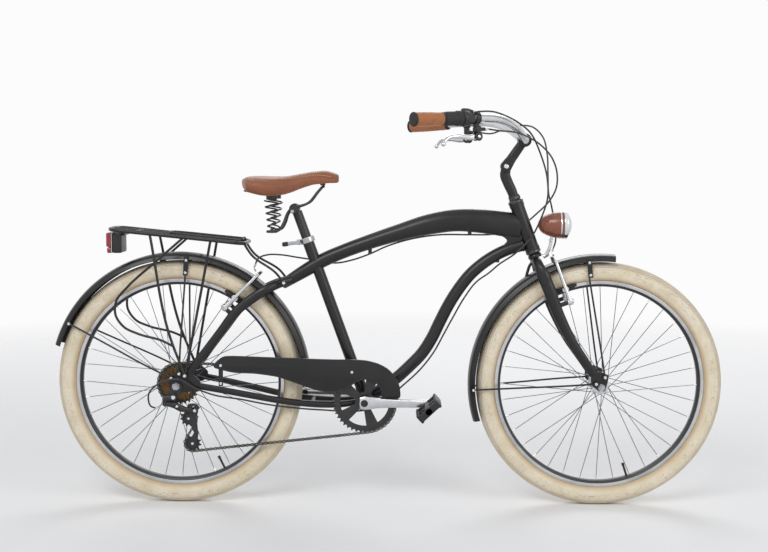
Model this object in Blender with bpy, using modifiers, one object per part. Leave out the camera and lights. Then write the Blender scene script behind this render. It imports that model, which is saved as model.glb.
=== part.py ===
"""City bike with an arched cruiser frame, seven-speed rear gear, fenders, rack and lights.

Sizes are in millimetres and become metres when a mesh is made. X runs forward from the rear
axle, Y runs to the rider's left, and Z runs up from the ground. The drive side is at -Y.
"""
import math

import bmesh
import bpy
from mathutils import Matrix, Vector

MM = 0.001
GAP = 0.3            # clearance between pieces that touch on the real bike

# Wheels
WHEELBASE = 1139.0
TYRE_R = 333.0       # 26 x 2.125 balloon tyre
TYRE_W = 54.0
TYRE_WALL = 3.5
RIM_OUTER_R = TYRE_R - TYRE_W + 6.0
RIM_INNER_R = RIM_OUTER_R - 18.0
RIM_W = 28.0
SPOKES = 36
SPOKE_R = 0.95
WHEEL_STEPS = 32
AXLE_R = 4.75
REAR_SPACING = 135.0
FRONT_SPACING = 100.0
DROPOUT_T = 6.0
HANGER_T = 4.0

# Frame
BB_X = 504.0
BB_Z = 290.0
BB_SHELL_W = 68.0
BB_SHELL_R = 20.0
BB_BORE_R = 17.3
SEAT_ANGLE = math.radians(70.0)
SEAT_TUBE_LEN = 466.0
SEAT_TUBE_R = 15.5
SEATPOST_R = 13.3
HEAD_ANGLE = math.radians(69.7)
HEAD_LOW_X = 955.0
HEAD_LOW_Z = 698.0
HEAD_LEN = 133.0
HEAD_R = 19.0
HEAD_BORE_R = 15.5
STEERER_R = 12.7
QUILL_R = 11.1
DOWN_TUBE_R = 16.5
BRAKE_BOSS_R = 4.0
BRIDGE_R = 7.0

# Fenders and stays
FENDER_R = TYRE_R + 22.0
FENDER_HALF_W = 31.0
FENDER_DEPTH = 17.0
FENDER_T = 1.2
STAY_R = 3.2

# Drive train
CHAIN_PITCH = 12.7
RING_TEETH = 42
COG_TEETH = (28, 24, 22, 20, 18, 16, 14)
COG_PITCH_Y = 4.5
COG_T = 2.0
LARGE_COG_Y = -34.0
RING_Y = -50.0
RING_T = 3.0
PULLEY_TEETH = 11
PULLEY_T = 2.0
PULLEY_AXLE_R = 4.0
FREEWHEEL_SEAT_R = 16.0
GUIDE_PULLEY = (26.0, 238.0)
LOWER_PULLEY = (36.0, 169.0)
PLATE_HALF_H = 3.4
ROLLER_HALF_L = 2.6
CHAIN_INNER = 1.6
CHAIN_OUTER = 3.4
CRANK_LEN = 170.0
CRANK_Y = 66.0
CRANK_T = 12.0
SPINDLE_R = 8.0
PEDAL_AXLE_R = 6.0
PEDAL_TILT = math.radians(43.0)

# Bars
BAR_R = 11.1
BAR_CLAMP = Vector((928.0, 0.0, 992.0))
BAR_END = Vector((625.0, -310.0, 1036.0))
BAR_ELBOW = Vector((800.0, -195.0, 1044.0))
GRIP_LEN = 92.0
LEFT_GRIP_LEN = 132.0
TWIST_LEN = 53.0
SHIFTER_LEN = 38.0
STEM_PIVOT = Vector((880.0, 0.0, 922.0))
STEM_BOLT_R = 4.0
CABLE_R = 2.3

# Saddle and post
SADDLE_CLAMP = Vector((313.0, 0.0, 806.5))
SPRING_WIRE_R = 2.2
SPRING_TURNS = 4.5
SPRING_X = 256.0
SPRING_Y = 50.0
SPRING_LOW = 753.0
SPRING_HIGH = 829.0
RAIL_R = 3.5
RAIL_Y = 22.0
RAIL_NOSE_Z = 865.0

FRONT_X = WHEELBASE
AXLE_Z = TYRE_R
REAR_REACH = FENDER_R * math.cos(math.radians(17.0))
CENTRE_X = (WHEELBASE + TYRE_R - REAR_REACH) / 2
SEAT_DIR = Vector((-math.cos(SEAT_ANGLE), 0.0, math.sin(SEAT_ANGLE)))
STEER_DIR = Vector((-math.cos(HEAD_ANGLE), 0.0, math.sin(HEAD_ANGLE)))
BB = Vector((BB_X, 0.0, BB_Z))
HEAD_LOW = Vector((HEAD_LOW_X, 0.0, HEAD_LOW_Z))
UP = Vector((0.0, 0.0, 1.0))
LEFT = Vector((0.0, 1.0, 0.0))
BAR_DIR = (BAR_ELBOW - BAR_END).normalized()
COG_LAST_Y = LARGE_COG_Y - COG_PITCH_Y * (len(COG_TEETH) - 1)

PARTS = {}


def clear_scene():
    """Start from an empty scene."""
    for obj in list(bpy.data.objects):
        bpy.data.objects.remove(obj, do_unlink=True)


def world(point):
    """A point in millimetres from the rear axle's foot, as metres about the bike's middle."""
    return Vector(((point[0] - CENTRE_X) * MM, point[1] * MM, point[2] * MM))


def add(name, data):
    """A new object in the work collection."""
    obj = bpy.data.objects.new(name, data)
    bpy.context.scene.collection.objects.link(obj)
    return obj


def solid(obj):
    """The evaluated shape of an object as one plain mesh object in world space."""
    bpy.context.view_layer.update()
    graph = bpy.context.evaluated_depsgraph_get()
    shape = obj.evaluated_get(graph)
    mesh = bpy.data.meshes.new_from_object(shape)
    mesh.transform(obj.matrix_world)
    work = bmesh.new()
    work.from_mesh(mesh)
    bmesh.ops.remove_doubles(work, verts=work.verts, dist=2e-6)
    bmesh.ops.recalc_face_normals(work, faces=work.faces)
    if work.calc_volume(signed=True) < 0:
        bmesh.ops.reverse_faces(work, faces=work.faces)
    work.to_mesh(mesh)
    work.free()
    made = add(obj.name, mesh)
    bpy.data.objects.remove(obj, do_unlink=True)
    return made


def boolean(base, others, operation):
    """Join or cut a mesh with others, which are used up."""
    for other in others:
        step = base.modifiers.new(operation.lower(), "BOOLEAN")
        step.operation = operation
        step.solver = "EXACT"
        step.object = other
    made = solid(base)
    for other in others:
        bpy.data.objects.remove(other, do_unlink=True)
    return made


def fuse(*pieces):
    """One welded solid from overlapping pieces."""
    return boolean(pieces[0], pieces[1:], "UNION")


def cut(base, *cutters):
    """A solid with holes."""
    return boolean(base, cutters, "DIFFERENCE")


def pipe(points, radius, level=1, radii=None, closed=False):
    """A tube along points; level 0 gives four sides, 1 six, 2 eight."""
    curve = bpy.data.curves.new("pipe", "CURVE")
    curve.dimensions = "3D"
    curve.fill_mode = "FULL"
    curve.bevel_depth = radius * MM
    curve.bevel_resolution = level
    curve.use_fill_caps = True
    spline = curve.splines.new("POLY")
    spline.use_cyclic_u = closed
    spline.points.add(len(points) - 1)
    for index, point in enumerate(points):
        spline.points[index].co = (*world(point), 1.0)
        if radii:
            spline.points[index].radius = radii[index] / radius
    return solid(add("pipe", curve))


def rod(start, end, radius, sides=8, end_radius=None):
    """A straight round bar or cone between two points."""
    start, end = world(start), world(end)
    along = end - start
    work = bmesh.new()
    place = Matrix.Translation((start + end) / 2) @ along.to_track_quat("Z", "Y").to_matrix().to_4x4()
    bmesh.ops.create_cone(work, cap_ends=True, segments=sides, radius1=radius * MM,
                          radius2=(radius if end_radius is None else end_radius) * MM,
                          depth=along.length, matrix=place)
    mesh = bpy.data.meshes.new("rod")
    work.to_mesh(mesh)
    work.free()
    return solid(add("rod", mesh))


def cross_rod(x, z, y0, y1, radius, sides=10):
    """A round bar across the bike."""
    return rod((x, y0, z), (x, y1, z), radius, sides)


def block(low, high, rounding=0.0):
    """A box between two corners, with rounded edges if asked."""
    low, high = world(low), world(high)
    work = bmesh.new()
    bmesh.ops.create_cube(work, size=1.0)
    for vert in work.verts:
        vert.co = Vector([low[i] + (vert.co[i] + 0.5) * (high[i] - low[i]) for i in range(3)])
    mesh = bpy.data.meshes.new("block")
    work.to_mesh(mesh)
    work.free()
    obj = add("block", mesh)
    if rounding:
        edge = obj.modifiers.new("edge", "BEVEL")
        edge.width = rounding * MM
        edge.segments = 2
    return solid(obj)


def turned(profile, centre, axis=LEFT, steps=12, ring=False):
    """A turned shape: profile points are (radius, distance along the axis)."""
    mesh = bpy.data.meshes.new("turned")
    edges = [(i, i + 1) for i in range(len(profile) - 1)]
    if ring:
        edges.append((len(profile) - 1, 0))
    mesh.from_pydata([(r * MM, 0.0, h * MM) for r, h in profile], edges, [])
    obj = add("turned", mesh)
    obj.location = world(centre)
    obj.rotation_mode = "QUATERNION"
    obj.rotation_quaternion = axis.to_track_quat("Z", "Y")
    spin = obj.modifiers.new("spin", "SCREW")
    spin.axis = "Z"
    spin.steps = spin.render_steps = steps
    spin.use_merge_vertices = True
    spin.merge_threshold = 0.00001
    return solid(obj)


def plate(outline, y0, y1, holes=()):
    """A flat plate in the bike's plane: outline and holes are lists of (x, z)."""
    curve = bpy.data.curves.new("plate", "CURVE")
    curve.dimensions = "2D"
    curve.fill_mode = "BOTH"
    curve.extrude = abs(y1 - y0) / 2 * MM
    for loop in (outline, *holes):
        spline = curve.splines.new("POLY")
        spline.use_cyclic_u = True
        spline.points.add(len(loop) - 1)
        for index, (x, z) in enumerate(loop):
            spline.points[index].co = ((x - CENTRE_X) * MM, z * MM, 0.0, 1.0)
    obj = add("plate", curve)
    obj.location = (0.0, (y0 + y1) / 2 * MM, 0.0)
    obj.rotation_euler = (math.pi / 2, 0.0, 0.0)
    return solid(obj)


def loft(stations, sides=8):
    """A tube through oval sections: stations are (x, y, z, half height, half width)."""
    centres = [Vector(s[:3]) for s in stations]
    work = bmesh.new()
    rings = []
    for index, (_, _, _, half_h, half_w) in enumerate(stations):
        before = centres[max(index - 1, 0)]
        after = centres[min(index + 1, len(centres) - 1)]
        ahead = (after - before).normalized()
        side = ahead.cross(UP).normalized() if abs(ahead.z) < 0.99 else LEFT.copy()
        rise = side.cross(ahead).normalized()
        ring = []
        for k in range(sides):
            angle = 2 * math.pi * k / sides
            offset = rise * (half_h * math.cos(angle)) + side * (half_w * math.sin(angle))
            ring.append(work.verts.new(world(centres[index] + offset)))
        rings.append(ring)
    for first, second in zip(rings, rings[1:]):
        for k in range(sides):
            work.faces.new((first[k], first[(k + 1) % sides], second[(k + 1) % sides], second[k]))
    work.faces.new(rings[0])
    work.faces.new(rings[-1])
    mesh = bpy.data.meshes.new("loft")
    work.to_mesh(mesh)
    work.free()
    return solid(add("loft", mesh))


def circle(x, z, radius, count, start=0.0):
    """Points round a circle in the bike's plane."""
    turn = 2 * math.pi / count
    return [(x + radius * math.cos(start + turn * k), z + radius * math.sin(start + turn * k))
            for k in range(count)]


def faceted_bore(radius, sides):
    """The corner radius of a hole with flat sides that clears a round bar."""
    return (radius + GAP) / math.cos(math.pi / sides)


def axle_slot(x, z, opening):
    """A slot with a round end about an axle, open in one direction."""
    reach = faceted_bore(AXLE_R, 12)
    points = [(x + reach * math.cos(opening + math.radians(90 + 30 * k)),
               z + reach * math.sin(opening + math.radians(90 + 30 * k))) for k in range(7)]
    out = (40 * math.cos(opening), 40 * math.sin(opening))
    for px, pz in (points[-1], points[0]):
        points.append((px + out[0], pz + out[1]))
    return points


def mirrored(points):
    """The same route on the other side of the bike."""
    return [(p[0], -p[1], *p[2:]) for p in points]


def finish(name, hex_colour, roughness, metallic=0.0):
    """A plain Principled material from an sRGB colour."""
    material = bpy.data.materials.new(name)
    material.use_nodes = True
    shader = material.node_tree.nodes["Principled BSDF"]
    channels = [int(hex_colour[i:i + 2], 16) / 255 for i in (0, 2, 4)]
    linear = [c / 12.92 if c <= 0.04045 else ((c + 0.055) / 1.055) ** 2.4 for c in channels]
    shader.inputs["Base Color"].default_value = (*linear, 1.0)
    shader.inputs["Roughness"].default_value = roughness
    shader.inputs["Metallic"].default_value = metallic
    return material


def node(name, obj, look):
    """Keep a finished piece under its own name."""
    obj.name = name
    obj.data.name = name
    obj.data.materials.clear()
    obj.data.materials.append(finish(name, *LOOKS[look]))
    obj.data.set_sharp_from_angle(angle=math.radians(35))
    PARTS[name] = obj
    return obj


LOOKS = {
    "paint": ("2B2B2D", 0.45, 0.0),
    "steel_black": ("242426", 0.5, 0.6),
    "silver": ("C9CACC", 0.3, 1.0),
    "cream": ("E6DCC8", 0.85, 0.0),
    "leather": ("B06842", 0.55, 0.0),
    "grip": ("BA7549", 0.7, 0.0),
    "plastic": ("1C1C1E", 0.5, 0.0),
    "bronze": ("5A4632", 0.5, 0.7),
    "red": ("A3202A", 0.2, 0.0),
    "glass": ("D8DEE2", 0.1, 0.0),
    "grey": ("9A9CA0", 0.35, 0.9),
}


# Frame, welded in one piece

TOP_TUBE = [
    (280, 0, 601, 13, 13), (313, 0, 622, 16, 15), (346, 0, 642, 18, 17), (385, 0, 665, 19, 18),
    (448, 0, 693, 19, 19), (516, 0, 718, 20, 20), (597, 0, 744, 23, 21), (677, 0, 766, 28, 22),
    (752, 0, 777, 30, 22), (812, 0, 775, 32, 22), (880, 0, 767, 34, 20), (922, 0, 760, 35, 17),
]
DOWN_TUBE = [
    (930, 0, 712), (885, 0, 698), (843, 0, 676), (809, 0, 651), (784, 0, 627), (762, 0, 599),
    (732, 0, 552), (707, 0, 503), (683, 0, 453), (658, 0, 414), (625, 0, 379), (580, 0, 338),
    (542, 0, 310), (512, 0, 294),
]
CHAINSTAY = [
    (494, -22, 285, 8, 7), (450, -28, 279, 9, 8), (400, -33, 278, 9.5, 8), (330, -41, 283, 9, 8),
    (270, -48, 292, 9, 8), (200, -57, 306, 9, 7), (120, -65, 322, 9, 5), (50, -70.5, 335, 9, 2.6),
]
SEATSTAY = [
    (302, -8, 614, 12, 9), (280, -20, 608, 12, 10), (258, -33, 600, 12.5, 10),
    (234, -44, 588, 13, 9.5), (200, -47, 566, 13, 9), (163, -49, 536, 12.5, 8.5),
    (113, -55, 472, 11.5, 8), (67, -63, 412, 11, 6), (28, -70, 362, 11, 3),
]
DROPOUT = [
    (-22, 338), (-20, 352), (-12, 364), (4, 376), (28, 380), (44, 366), (62, 350), (64, 334),
    (50, 322), (20, 316), (-4, 314), (-18, 322),
]
FORK_BLADE = [
    (961, -6, 670, 13, 12), (965, -22, 666, 13.5, 13), (971, -38, 651, 16, 12.5),
    (980, -46, 632, 17, 12), (992, -48, 604, 17, 12), (1024, -49, 523, 15, 11),
    (1063, -51, 448, 13, 9), (1098, -52, 397, 11.5, 6), (1128, -53, 352, 10, 2.6),
]
REAR_BRAKE = Vector((128.0, -47.0, 542.0))
REAR_BRAKE_AXIS = Vector((-1.0, 0.0, 1.0)).normalized()
REAR_BRAKE_ARM = Vector((1.0, 0.0, 1.0)).normalized()
FRONT_BRAKE = Vector((1052.0, -47.0, 563.0))
FRONT_BRAKE_AXIS = Vector((0.94, 0.0, 0.342)).normalized()
FRONT_BRAKE_ARM = Vector((-0.342, 0.0, 0.94)).normalized()
BRIDGE_X, BRIDGE_Z = 262.0, 602.0
RACK_BOSS = (287.0, 610.0)
RACK_BOSS_Y = 46.0
TOP_GUIDES = [(785, 741), (620, 728), (516, 688)]
DOWN_GUIDES = [(868, 664), (725, 500), (640, 370)]


def head_point(distance):
    """A point on the steering axis, measured up from the head tube's lower end."""
    return HEAD_LOW + STEER_DIR * distance


def seat_point(distance):
    """A point on the seat tube's axis, measured up from the bottom bracket."""
    return BB + SEAT_DIR * distance


def brake_boss(pivot, axis, reach, side):
    """A stud for a brake arm, from inside its tube to the arm's outer face."""
    centre = Vector((pivot.x, side * abs(pivot.y), pivot.z))
    return rod(centre - axis * reach, centre + axis * 8, BRAKE_BOSS_R, 10)


def make_frame():
    """Tubes, shell, dropouts and studs, bored for what they hold."""
    head_top = head_point(HEAD_LEN)
    pieces = [
        loft(TOP_TUBE, 8),
        pipe(DOWN_TUBE, DOWN_TUBE_R, 2),
        rod(BB, seat_point(SEAT_TUBE_LEN), SEAT_TUBE_R, 14),
        rod(HEAD_LOW, head_top, HEAD_R, 16),
        cross_rod(BB_X, BB_Z, -BB_SHELL_W / 2, BB_SHELL_W / 2, BB_SHELL_R, 16),
        cross_rod(BRIDGE_X, BRIDGE_Z, -34, 34, BRIDGE_R, 8),
        cross_rod(362, 281, -36, 36, BRIDGE_R, 8),
    ]
    inner = REAR_SPACING / 2
    for side in (-1, 1):
        lay = (lambda points: points) if side < 0 else mirrored
        pieces.append(loft(lay(CHAINSTAY), 8))
        pieces.append(loft(lay(SEATSTAY), 8))
        slot = axle_slot(0, AXLE_Z, math.pi)
        pad = plate(DROPOUT, side * inner, side * (inner + DROPOUT_T))
        cutter = plate(slot, side * (inner - 5), side * (inner + DROPOUT_T + 5))
        pieces.append(cut(pad, cutter))
        pieces.append(brake_boss(REAR_BRAKE, REAR_BRAKE_AXIS, 24, side))
        pieces.append(cross_rod(*RACK_BOSS, side * 17, side * RACK_BOSS_Y, 5, 8))
    for x, z in TOP_GUIDES:
        pieces.append(block((x - 5, 2, z + 3), (x + 5, 8, z + 22)))
    for x, z in DOWN_GUIDES:
        pieces.append(block((x - 16, -8, z + 2), (x - 4, -2, z + 14)))
    frame = fuse(*pieces)
    return cut(
        frame,
        rod(head_point(-5), head_point(HEAD_LEN + 5), HEAD_BORE_R, 14),
        rod(seat_point(200), seat_point(SEAT_TUBE_LEN + 5), faceted_bore(SEATPOST_R, 14), 14),
        cross_rod(BB_X, BB_Z, -BB_SHELL_W, BB_SHELL_W, BB_BORE_R, 16),
    )


def make_headset_cups():
    """The two pressed cups at the ends of the head tube."""
    skirt = HEAD_BORE_R * math.cos(math.pi / 14) - GAP
    bore = faceted_bore(STEERER_R, 14)
    cup = [(bore, -10), (skirt, -10), (skirt, GAP), (HEAD_R + 1.5, GAP), (HEAD_R + 2, 7),
           (HEAD_R - 2, 11), (bore, 11)]
    upper = turned(cup, head_point(HEAD_LEN), STEER_DIR, 14, ring=True)
    lower = turned(cup, HEAD_LOW, -STEER_DIR, 14, ring=True)
    return upper, lower


def make_bottom_bracket():
    """Sealed bearing cartridge with a flange outside each end of the shell."""
    half = BB_SHELL_W / 2
    outer = BB_BORE_R - GAP
    bore = SPINDLE_R + GAP
    profile = [(bore, -half - 3), (outer, -half - 3), (outer, half + GAP), (BB_SHELL_R - 1, half + GAP),
               (BB_SHELL_R - 1, half + 3), (bore, half + 3)]
    return turned(profile, BB, LEFT, 16, ring=True)


# Wheels

def make_tyre(x):
    """A hollow balloon casing whose beads sit on the rim's walls."""
    centre_r = TYRE_R - TYRE_W / 2
    half = TYRE_W / 2
    inner = half - TYRE_WALL
    outside = [(centre_r + half * math.cos(a), half * math.sin(a))
               for a in (math.radians(d) for d in (-128, -84, -40, 0, 40, 84, 128))]
    inside = [(centre_r + inner * math.cos(a), inner * math.sin(a))
              for a in (math.radians(d) for d in (126, 40, -40, -126))]
    seat = RIM_OUTER_R - 2 + GAP
    bead = [(seat, RIM_W / 2 - 1), (seat, RIM_W / 2 - 5)]
    profile = outside + bead + inside + [(r, -y) for r, y in reversed(bead)]
    return turned(profile, (x, 0, AXLE_Z), LEFT, WHEEL_STEPS, ring=True)


def make_rim(x):
    """An alloy rim: brake walls, a bed inside them and a drawn-in inner face."""
    half = RIM_W / 2
    bead = (TYRE_R - TYRE_W / 2 + TYRE_W / 2 * math.cos(math.radians(128))) - 1.5
    profile = [(RIM_INNER_R, -6), (RIM_INNER_R + 8, -half), (RIM_OUTER_R - 2, -half),
               (bead - 6, 0), (RIM_OUTER_R - 2, half), (RIM_INNER_R + 8, half), (RIM_INNER_R, 6)]
    return turned(profile, (x, 0, AXLE_Z), LEFT, WHEEL_STEPS, ring=True)


def make_spokes(x, flanges, flange_r, centre_y):
    """Crossed spokes from both flanges to just inside the rim."""
    spokes = []
    per_side = SPOKES // 2
    for side, flange_y in zip((-1, 1), flanges):
        for k in range(per_side):
            lean = 1 if k % 2 else -1
            rim_angle = 2 * math.pi * (k + (0.5 if side > 0 else 0.0)) / per_side
            hub_angle = rim_angle + lean * math.radians(58)
            start = (x + flange_r * math.cos(hub_angle), flange_y + lean * 1.8,
                     AXLE_Z + flange_r * math.sin(hub_angle))
            rim_r = RIM_INNER_R * math.cos(math.pi / WHEEL_STEPS) - GAP
            end = (x + rim_r * math.cos(rim_angle), centre_y + side * 3.0 + lean * 0.3,
                   AXLE_Z + rim_r * math.sin(rim_angle))
            spokes.append(rod(start, end, SPOKE_R, 3))
    return spokes


def join_apart(pieces):
    """Put pieces that don't touch into one mesh, to be used as one operand."""
    work = bmesh.new()
    for piece in pieces:
        work.from_mesh(piece.data)
        bpy.data.objects.remove(piece, do_unlink=True)
    mesh = bpy.data.meshes.new("group")
    work.to_mesh(mesh)
    work.free()
    return add("group", mesh)


def make_front_hub():
    """Barrel hub with two flanges and its spokes."""
    bore = AXLE_R + GAP
    profile = [(bore, -37), (13, -37), (13, -36.5), (23, -36), (23, -33), (11, -30), (11, 30),
               (23, 33), (23, 36), (13, 36.5), (13, 37), (bore, 37)]
    hub = turned(profile, (FRONT_X, 0, AXLE_Z), LEFT, 12, ring=True)
    return fuse(hub, join_apart(make_spokes(FRONT_X, (-34.5, 34.5), 20, 0)))


def make_rear_hub():
    """Barrel hub with the stub that the freewheel screws on, and its spokes."""
    bore = AXLE_R + GAP
    profile = [(bore, -48), (FREEWHEEL_SEAT_R, -48), (FREEWHEEL_SEAT_R, -26), (26, -25.5), (26, -22),
               (15, -18), (15, 30), (26, 34), (26, 37.5), (14, 38), (bore, 38)]
    hub = turned(profile, (0, 0, AXLE_Z), LEFT, 12, ring=True)
    return fuse(hub, join_apart(make_spokes(0, (-23.5, 35.5), 23, 0)))


def make_front_axle():
    """Axle with cones inside the fork ends and a washer and nut outside."""
    half = FRONT_SPACING / 2
    outer = half + DROPOUT_T + GAP
    profile = [(0, -half - 20), (AXLE_R, -half - 20), (AXLE_R, -half - 16), (9, -half - 15),
               (9, -outer), (AXLE_R, -outer), (AXLE_R, -half + GAP), (8, -half + GAP), (8, -37 - GAP),
               (AXLE_R, -37 - GAP)]
    profile += [(r, -h) for r, h in reversed(profile)]
    return turned(profile, (FRONT_X, 0, AXLE_Z), LEFT, 6)


def make_rear_axle():
    """Axle with cones inside the dropouts and nuts outside; the right nut also holds the hanger."""
    half = REAR_SPACING / 2
    right = half + DROPOUT_T + GAP + HANGER_T + GAP
    left = half + DROPOUT_T + GAP
    profile = [(0, -right - 15), (AXLE_R, -right - 15), (AXLE_R, -right - 10), (10, -right - 9),
               (10, -right), (AXLE_R, -right), (AXLE_R, -half + GAP), (9, -half + GAP), (9, -48 - GAP),
               (AXLE_R, -48 - GAP), (AXLE_R, 38 + GAP), (9, 38 + GAP), (9, half - GAP),
               (AXLE_R, half - GAP), (AXLE_R, left), (10, left), (10, left + 9),
               (AXLE_R, left + 10), (AXLE_R, left + 15), (0, left + 15)]
    return turned(profile, (0, 0, AXLE_Z), LEFT, 6)


# Chain, chainring, freewheel and pulleys

def belt_circles(pitch):
    """The four wheels that the chain runs on: centre, pitch radius, turning sense and Y."""
    def radius(teeth):
        return teeth * pitch / (2 * math.pi)
    return [
        (Vector((0.0, AXLE_Z)), radius(COG_TEETH[0]), 1, LARGE_COG_Y),
        (Vector(GUIDE_PULLEY), radius(PULLEY_TEETH), -1, LARGE_COG_Y),
        (Vector(LOWER_PULLEY), radius(PULLEY_TEETH), 1, LARGE_COG_Y),
        (Vector((BB_X, BB_Z)), radius(RING_TEETH), 1, RING_Y),
    ]


def chain_route(pitch):
    """Straight runs and wraps of the chain, in the order in which it travels."""
    wheels = belt_circles(pitch)
    headings = []
    for index, (c1, r1, s1, _) in enumerate(wheels):
        c2, r2, s2, _ = wheels[(index + 1) % len(wheels)]
        across = c2 - c1
        headings.append(math.atan2(across.y, across.x) - math.asin((s2 * r2 - s1 * r1) / across.length))
    legs = []
    for index, (c1, r1, s1, y1) in enumerate(wheels):
        c2, r2, s2, y2 = wheels[(index + 1) % len(wheels)]
        heading = headings[index]
        came = headings[index - 1]
        sweep = (heading - came) % (2 * math.pi) if s1 > 0 else -((came - heading) % (2 * math.pi))
        legs.append(("arc", c1, r1, s1, came, sweep, y1))
        normal = Vector((-math.sin(heading), math.cos(heading)))
        start, end = c1 - s1 * r1 * normal, c2 - s2 * r2 * normal
        legs.append(("line", start, end, y1, y2, heading))
    return legs


def leg_length(leg):
    """The length of one run or wrap."""
    if leg[0] == "arc":
        return abs(leg[5]) * leg[2]
    return math.hypot((leg[2] - leg[1]).length, leg[4] - leg[3])


def point_on(leg, distance):
    """Place (x, z), Y and heading at a distance along a run or wrap."""
    if leg[0] == "arc":
        _, centre, radius, sense, came, _, y = leg
        heading = came + sense * distance / radius
        normal = Vector((-math.sin(heading), math.cos(heading)))
        return centre - sense * radius * normal, y, heading
    _, start, end, y1, y2, heading = leg
    share = distance / leg_length(leg)
    crossing = min(max((share - 0.15) / 0.7, 0.0), 1.0)
    return start.lerp(end, share), y1 + (y2 - y1) * crossing, heading


def fitted_pitch():
    """The pitch that closes the chain on a whole, even number of links."""
    pitch = CHAIN_PITCH
    links = 2 * round(sum(leg_length(leg) for leg in chain_route(pitch)) / pitch / 2)
    for _ in range(12):
        pitch = sum(leg_length(leg) for leg in chain_route(pitch)) / links
    return pitch, links


PITCH, LINKS = fitted_pitch()
ROUTE = chain_route(PITCH)


def route_at(distance):
    """Place, Y and heading at a distance along the whole closed chain."""
    for leg in ROUTE:
        length = leg_length(leg)
        if distance <= length:
            return point_on(leg, distance)
        distance -= length
    return point_on(ROUTE[0], distance)


def make_chain():
    """Two plate bands with a roller bridging them at every other pin, as one closed ladder."""
    work = bmesh.new()
    total = PITCH * LINKS
    stations = []
    for link in range(LINKS // 2):
        for shift in (-ROLLER_HALF_L, ROLLER_HALF_L):
            place, y, heading = route_at((2 * link * PITCH + shift) % total)
            rise = Vector((-math.sin(heading), math.cos(heading)))
            corners = []
            for dy in (-CHAIN_OUTER, -CHAIN_INNER, CHAIN_INNER, CHAIN_OUTER):
                for dz in (-PLATE_HALF_H, PLATE_HALF_H):
                    spot = place + rise * dz
                    corners.append(work.verts.new(world((spot.x, y + dy, spot.y))))
            stations.append(corners)
    for index, here in enumerate(stations):
        there = stations[(index + 1) % len(stations)]
        roller = index % 2 == 0
        for outer, inner in ((0, 2), (6, 4)):
            work.faces.new((here[outer], here[outer + 1], there[outer + 1], there[outer]))
            work.faces.new((here[outer + 1], here[inner + 1], there[inner + 1], there[outer + 1]))
            work.faces.new((here[inner], here[outer], there[outer], there[inner]))
            if not roller:
                work.faces.new((here[inner + 1], here[inner], there[inner], there[inner + 1]))
        if roller:
            work.faces.new((here[3], here[5], there[5], there[3]))
            work.faces.new((here[4], here[2], there[2], there[4]))
            work.faces.new((here[2], here[4], here[5], here[3]))
            work.faces.new((there[4], there[2], there[3], there[5]))
    mesh = bpy.data.meshes.new("chain")
    work.to_mesh(mesh)
    work.free()
    return solid(add("chain", mesh))


def tooth_phase(wheel_index):
    """The angle of a pin on a wheel, so that its teeth stand between the rollers."""
    travelled = sum(leg_length(leg) for leg in ROUTE[:2 * wheel_index])
    to_next = -travelled % PITCH
    place, _, _ = point_on(ROUTE[2 * wheel_index], to_next)
    offset = place - ROUTE[2 * wheel_index][1]
    return math.atan2(offset.y, offset.x)


def toothed(x, z, teeth, phase):
    """The outline of a sprocket whose gaps are centred on the pins."""
    pitch_r = teeth * PITCH / (2 * math.pi)
    root = pitch_r - PLATE_HALF_H - 0.9
    tip = pitch_r + 1.6
    half_gap = (ROLLER_HALF_L + 1.3) / pitch_r
    points = []
    for k in range(teeth):
        angle = phase + 2 * math.pi * k / teeth
        for shift in (-half_gap, half_gap):
            points.append((x + root * math.cos(angle + shift), z + root * math.sin(angle + shift)))
        middle = angle + math.pi / teeth
        points.append((x + tip * math.cos(middle), z + tip * math.sin(middle)))
    return points


CRANK_BOSS_R = 13.0


def make_chainring():
    """Toothed ring with five arms round the crank's boss."""
    windows = []
    for arm in range(5):
        a0 = math.radians(72 * arm + 14)
        a1 = math.radians(72 * arm + 58)
        rim = 66.0
        hub = 26.0
        windows.append([
            (BB_X + r * math.cos(a), BB_Z + r * math.sin(a))
            for r, a in ((hub, a0 + 0.12), (rim, a0), (rim, (a0 + a1) / 2), (rim, a1), (hub, a1 - 0.12))
        ])
    centre = circle(BB_X, BB_Z, CRANK_BOSS_R + GAP, 8)
    outline = toothed(BB_X, BB_Z, RING_TEETH, tooth_phase(3))
    return plate(outline, RING_Y - RING_T / 2 + 0.4, RING_Y + RING_T / 2 - 0.4, (*windows, centre))


def make_freewheel():
    """Seven cogs in steps on one threaded body; the one that the chain is on has its teeth."""
    bore = faceted_bore(FREEWHEEL_SEAT_R, 12)
    profile = [(bore, LARGE_COG_Y + 5), (21, LARGE_COG_Y + 5), (21, LARGE_COG_Y)]
    edge = LARGE_COG_Y - COG_T / 2 - GAP
    for index, teeth in enumerate(COG_TEETH[1:], 1):
        far = LARGE_COG_Y - COG_PITCH_Y * index - COG_T / 2
        radius = teeth * PITCH / (2 * math.pi)
        profile += [(radius, edge), (radius, far)]
        edge = far
    profile += [(21, edge), (21, edge - 2), (bore, edge - 2)]
    body = turned(profile, (0, 0, AXLE_Z), LEFT, 12, ring=True)
    outline = toothed(0, AXLE_Z, COG_TEETH[0], tooth_phase(0))
    bore = [circle(0, AXLE_Z, 18.5, 8)]
    large = plate(outline, LARGE_COG_Y - COG_T / 2, LARGE_COG_Y + COG_T / 2, bore)
    return fuse(body, large)


def make_pulley(centre, wheel_index):
    """A small toothed jockey wheel with a bore."""
    x, z = centre
    outline = toothed(x, z, PULLEY_TEETH, tooth_phase(wheel_index))
    half = PULLEY_T / 2
    bore = circle(x, z, faceted_bore(PULLEY_AXLE_R, 8), 8)
    return plate(outline, LARGE_COG_Y - half, LARGE_COG_Y + half, [bore])


# Derailleur

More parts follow.
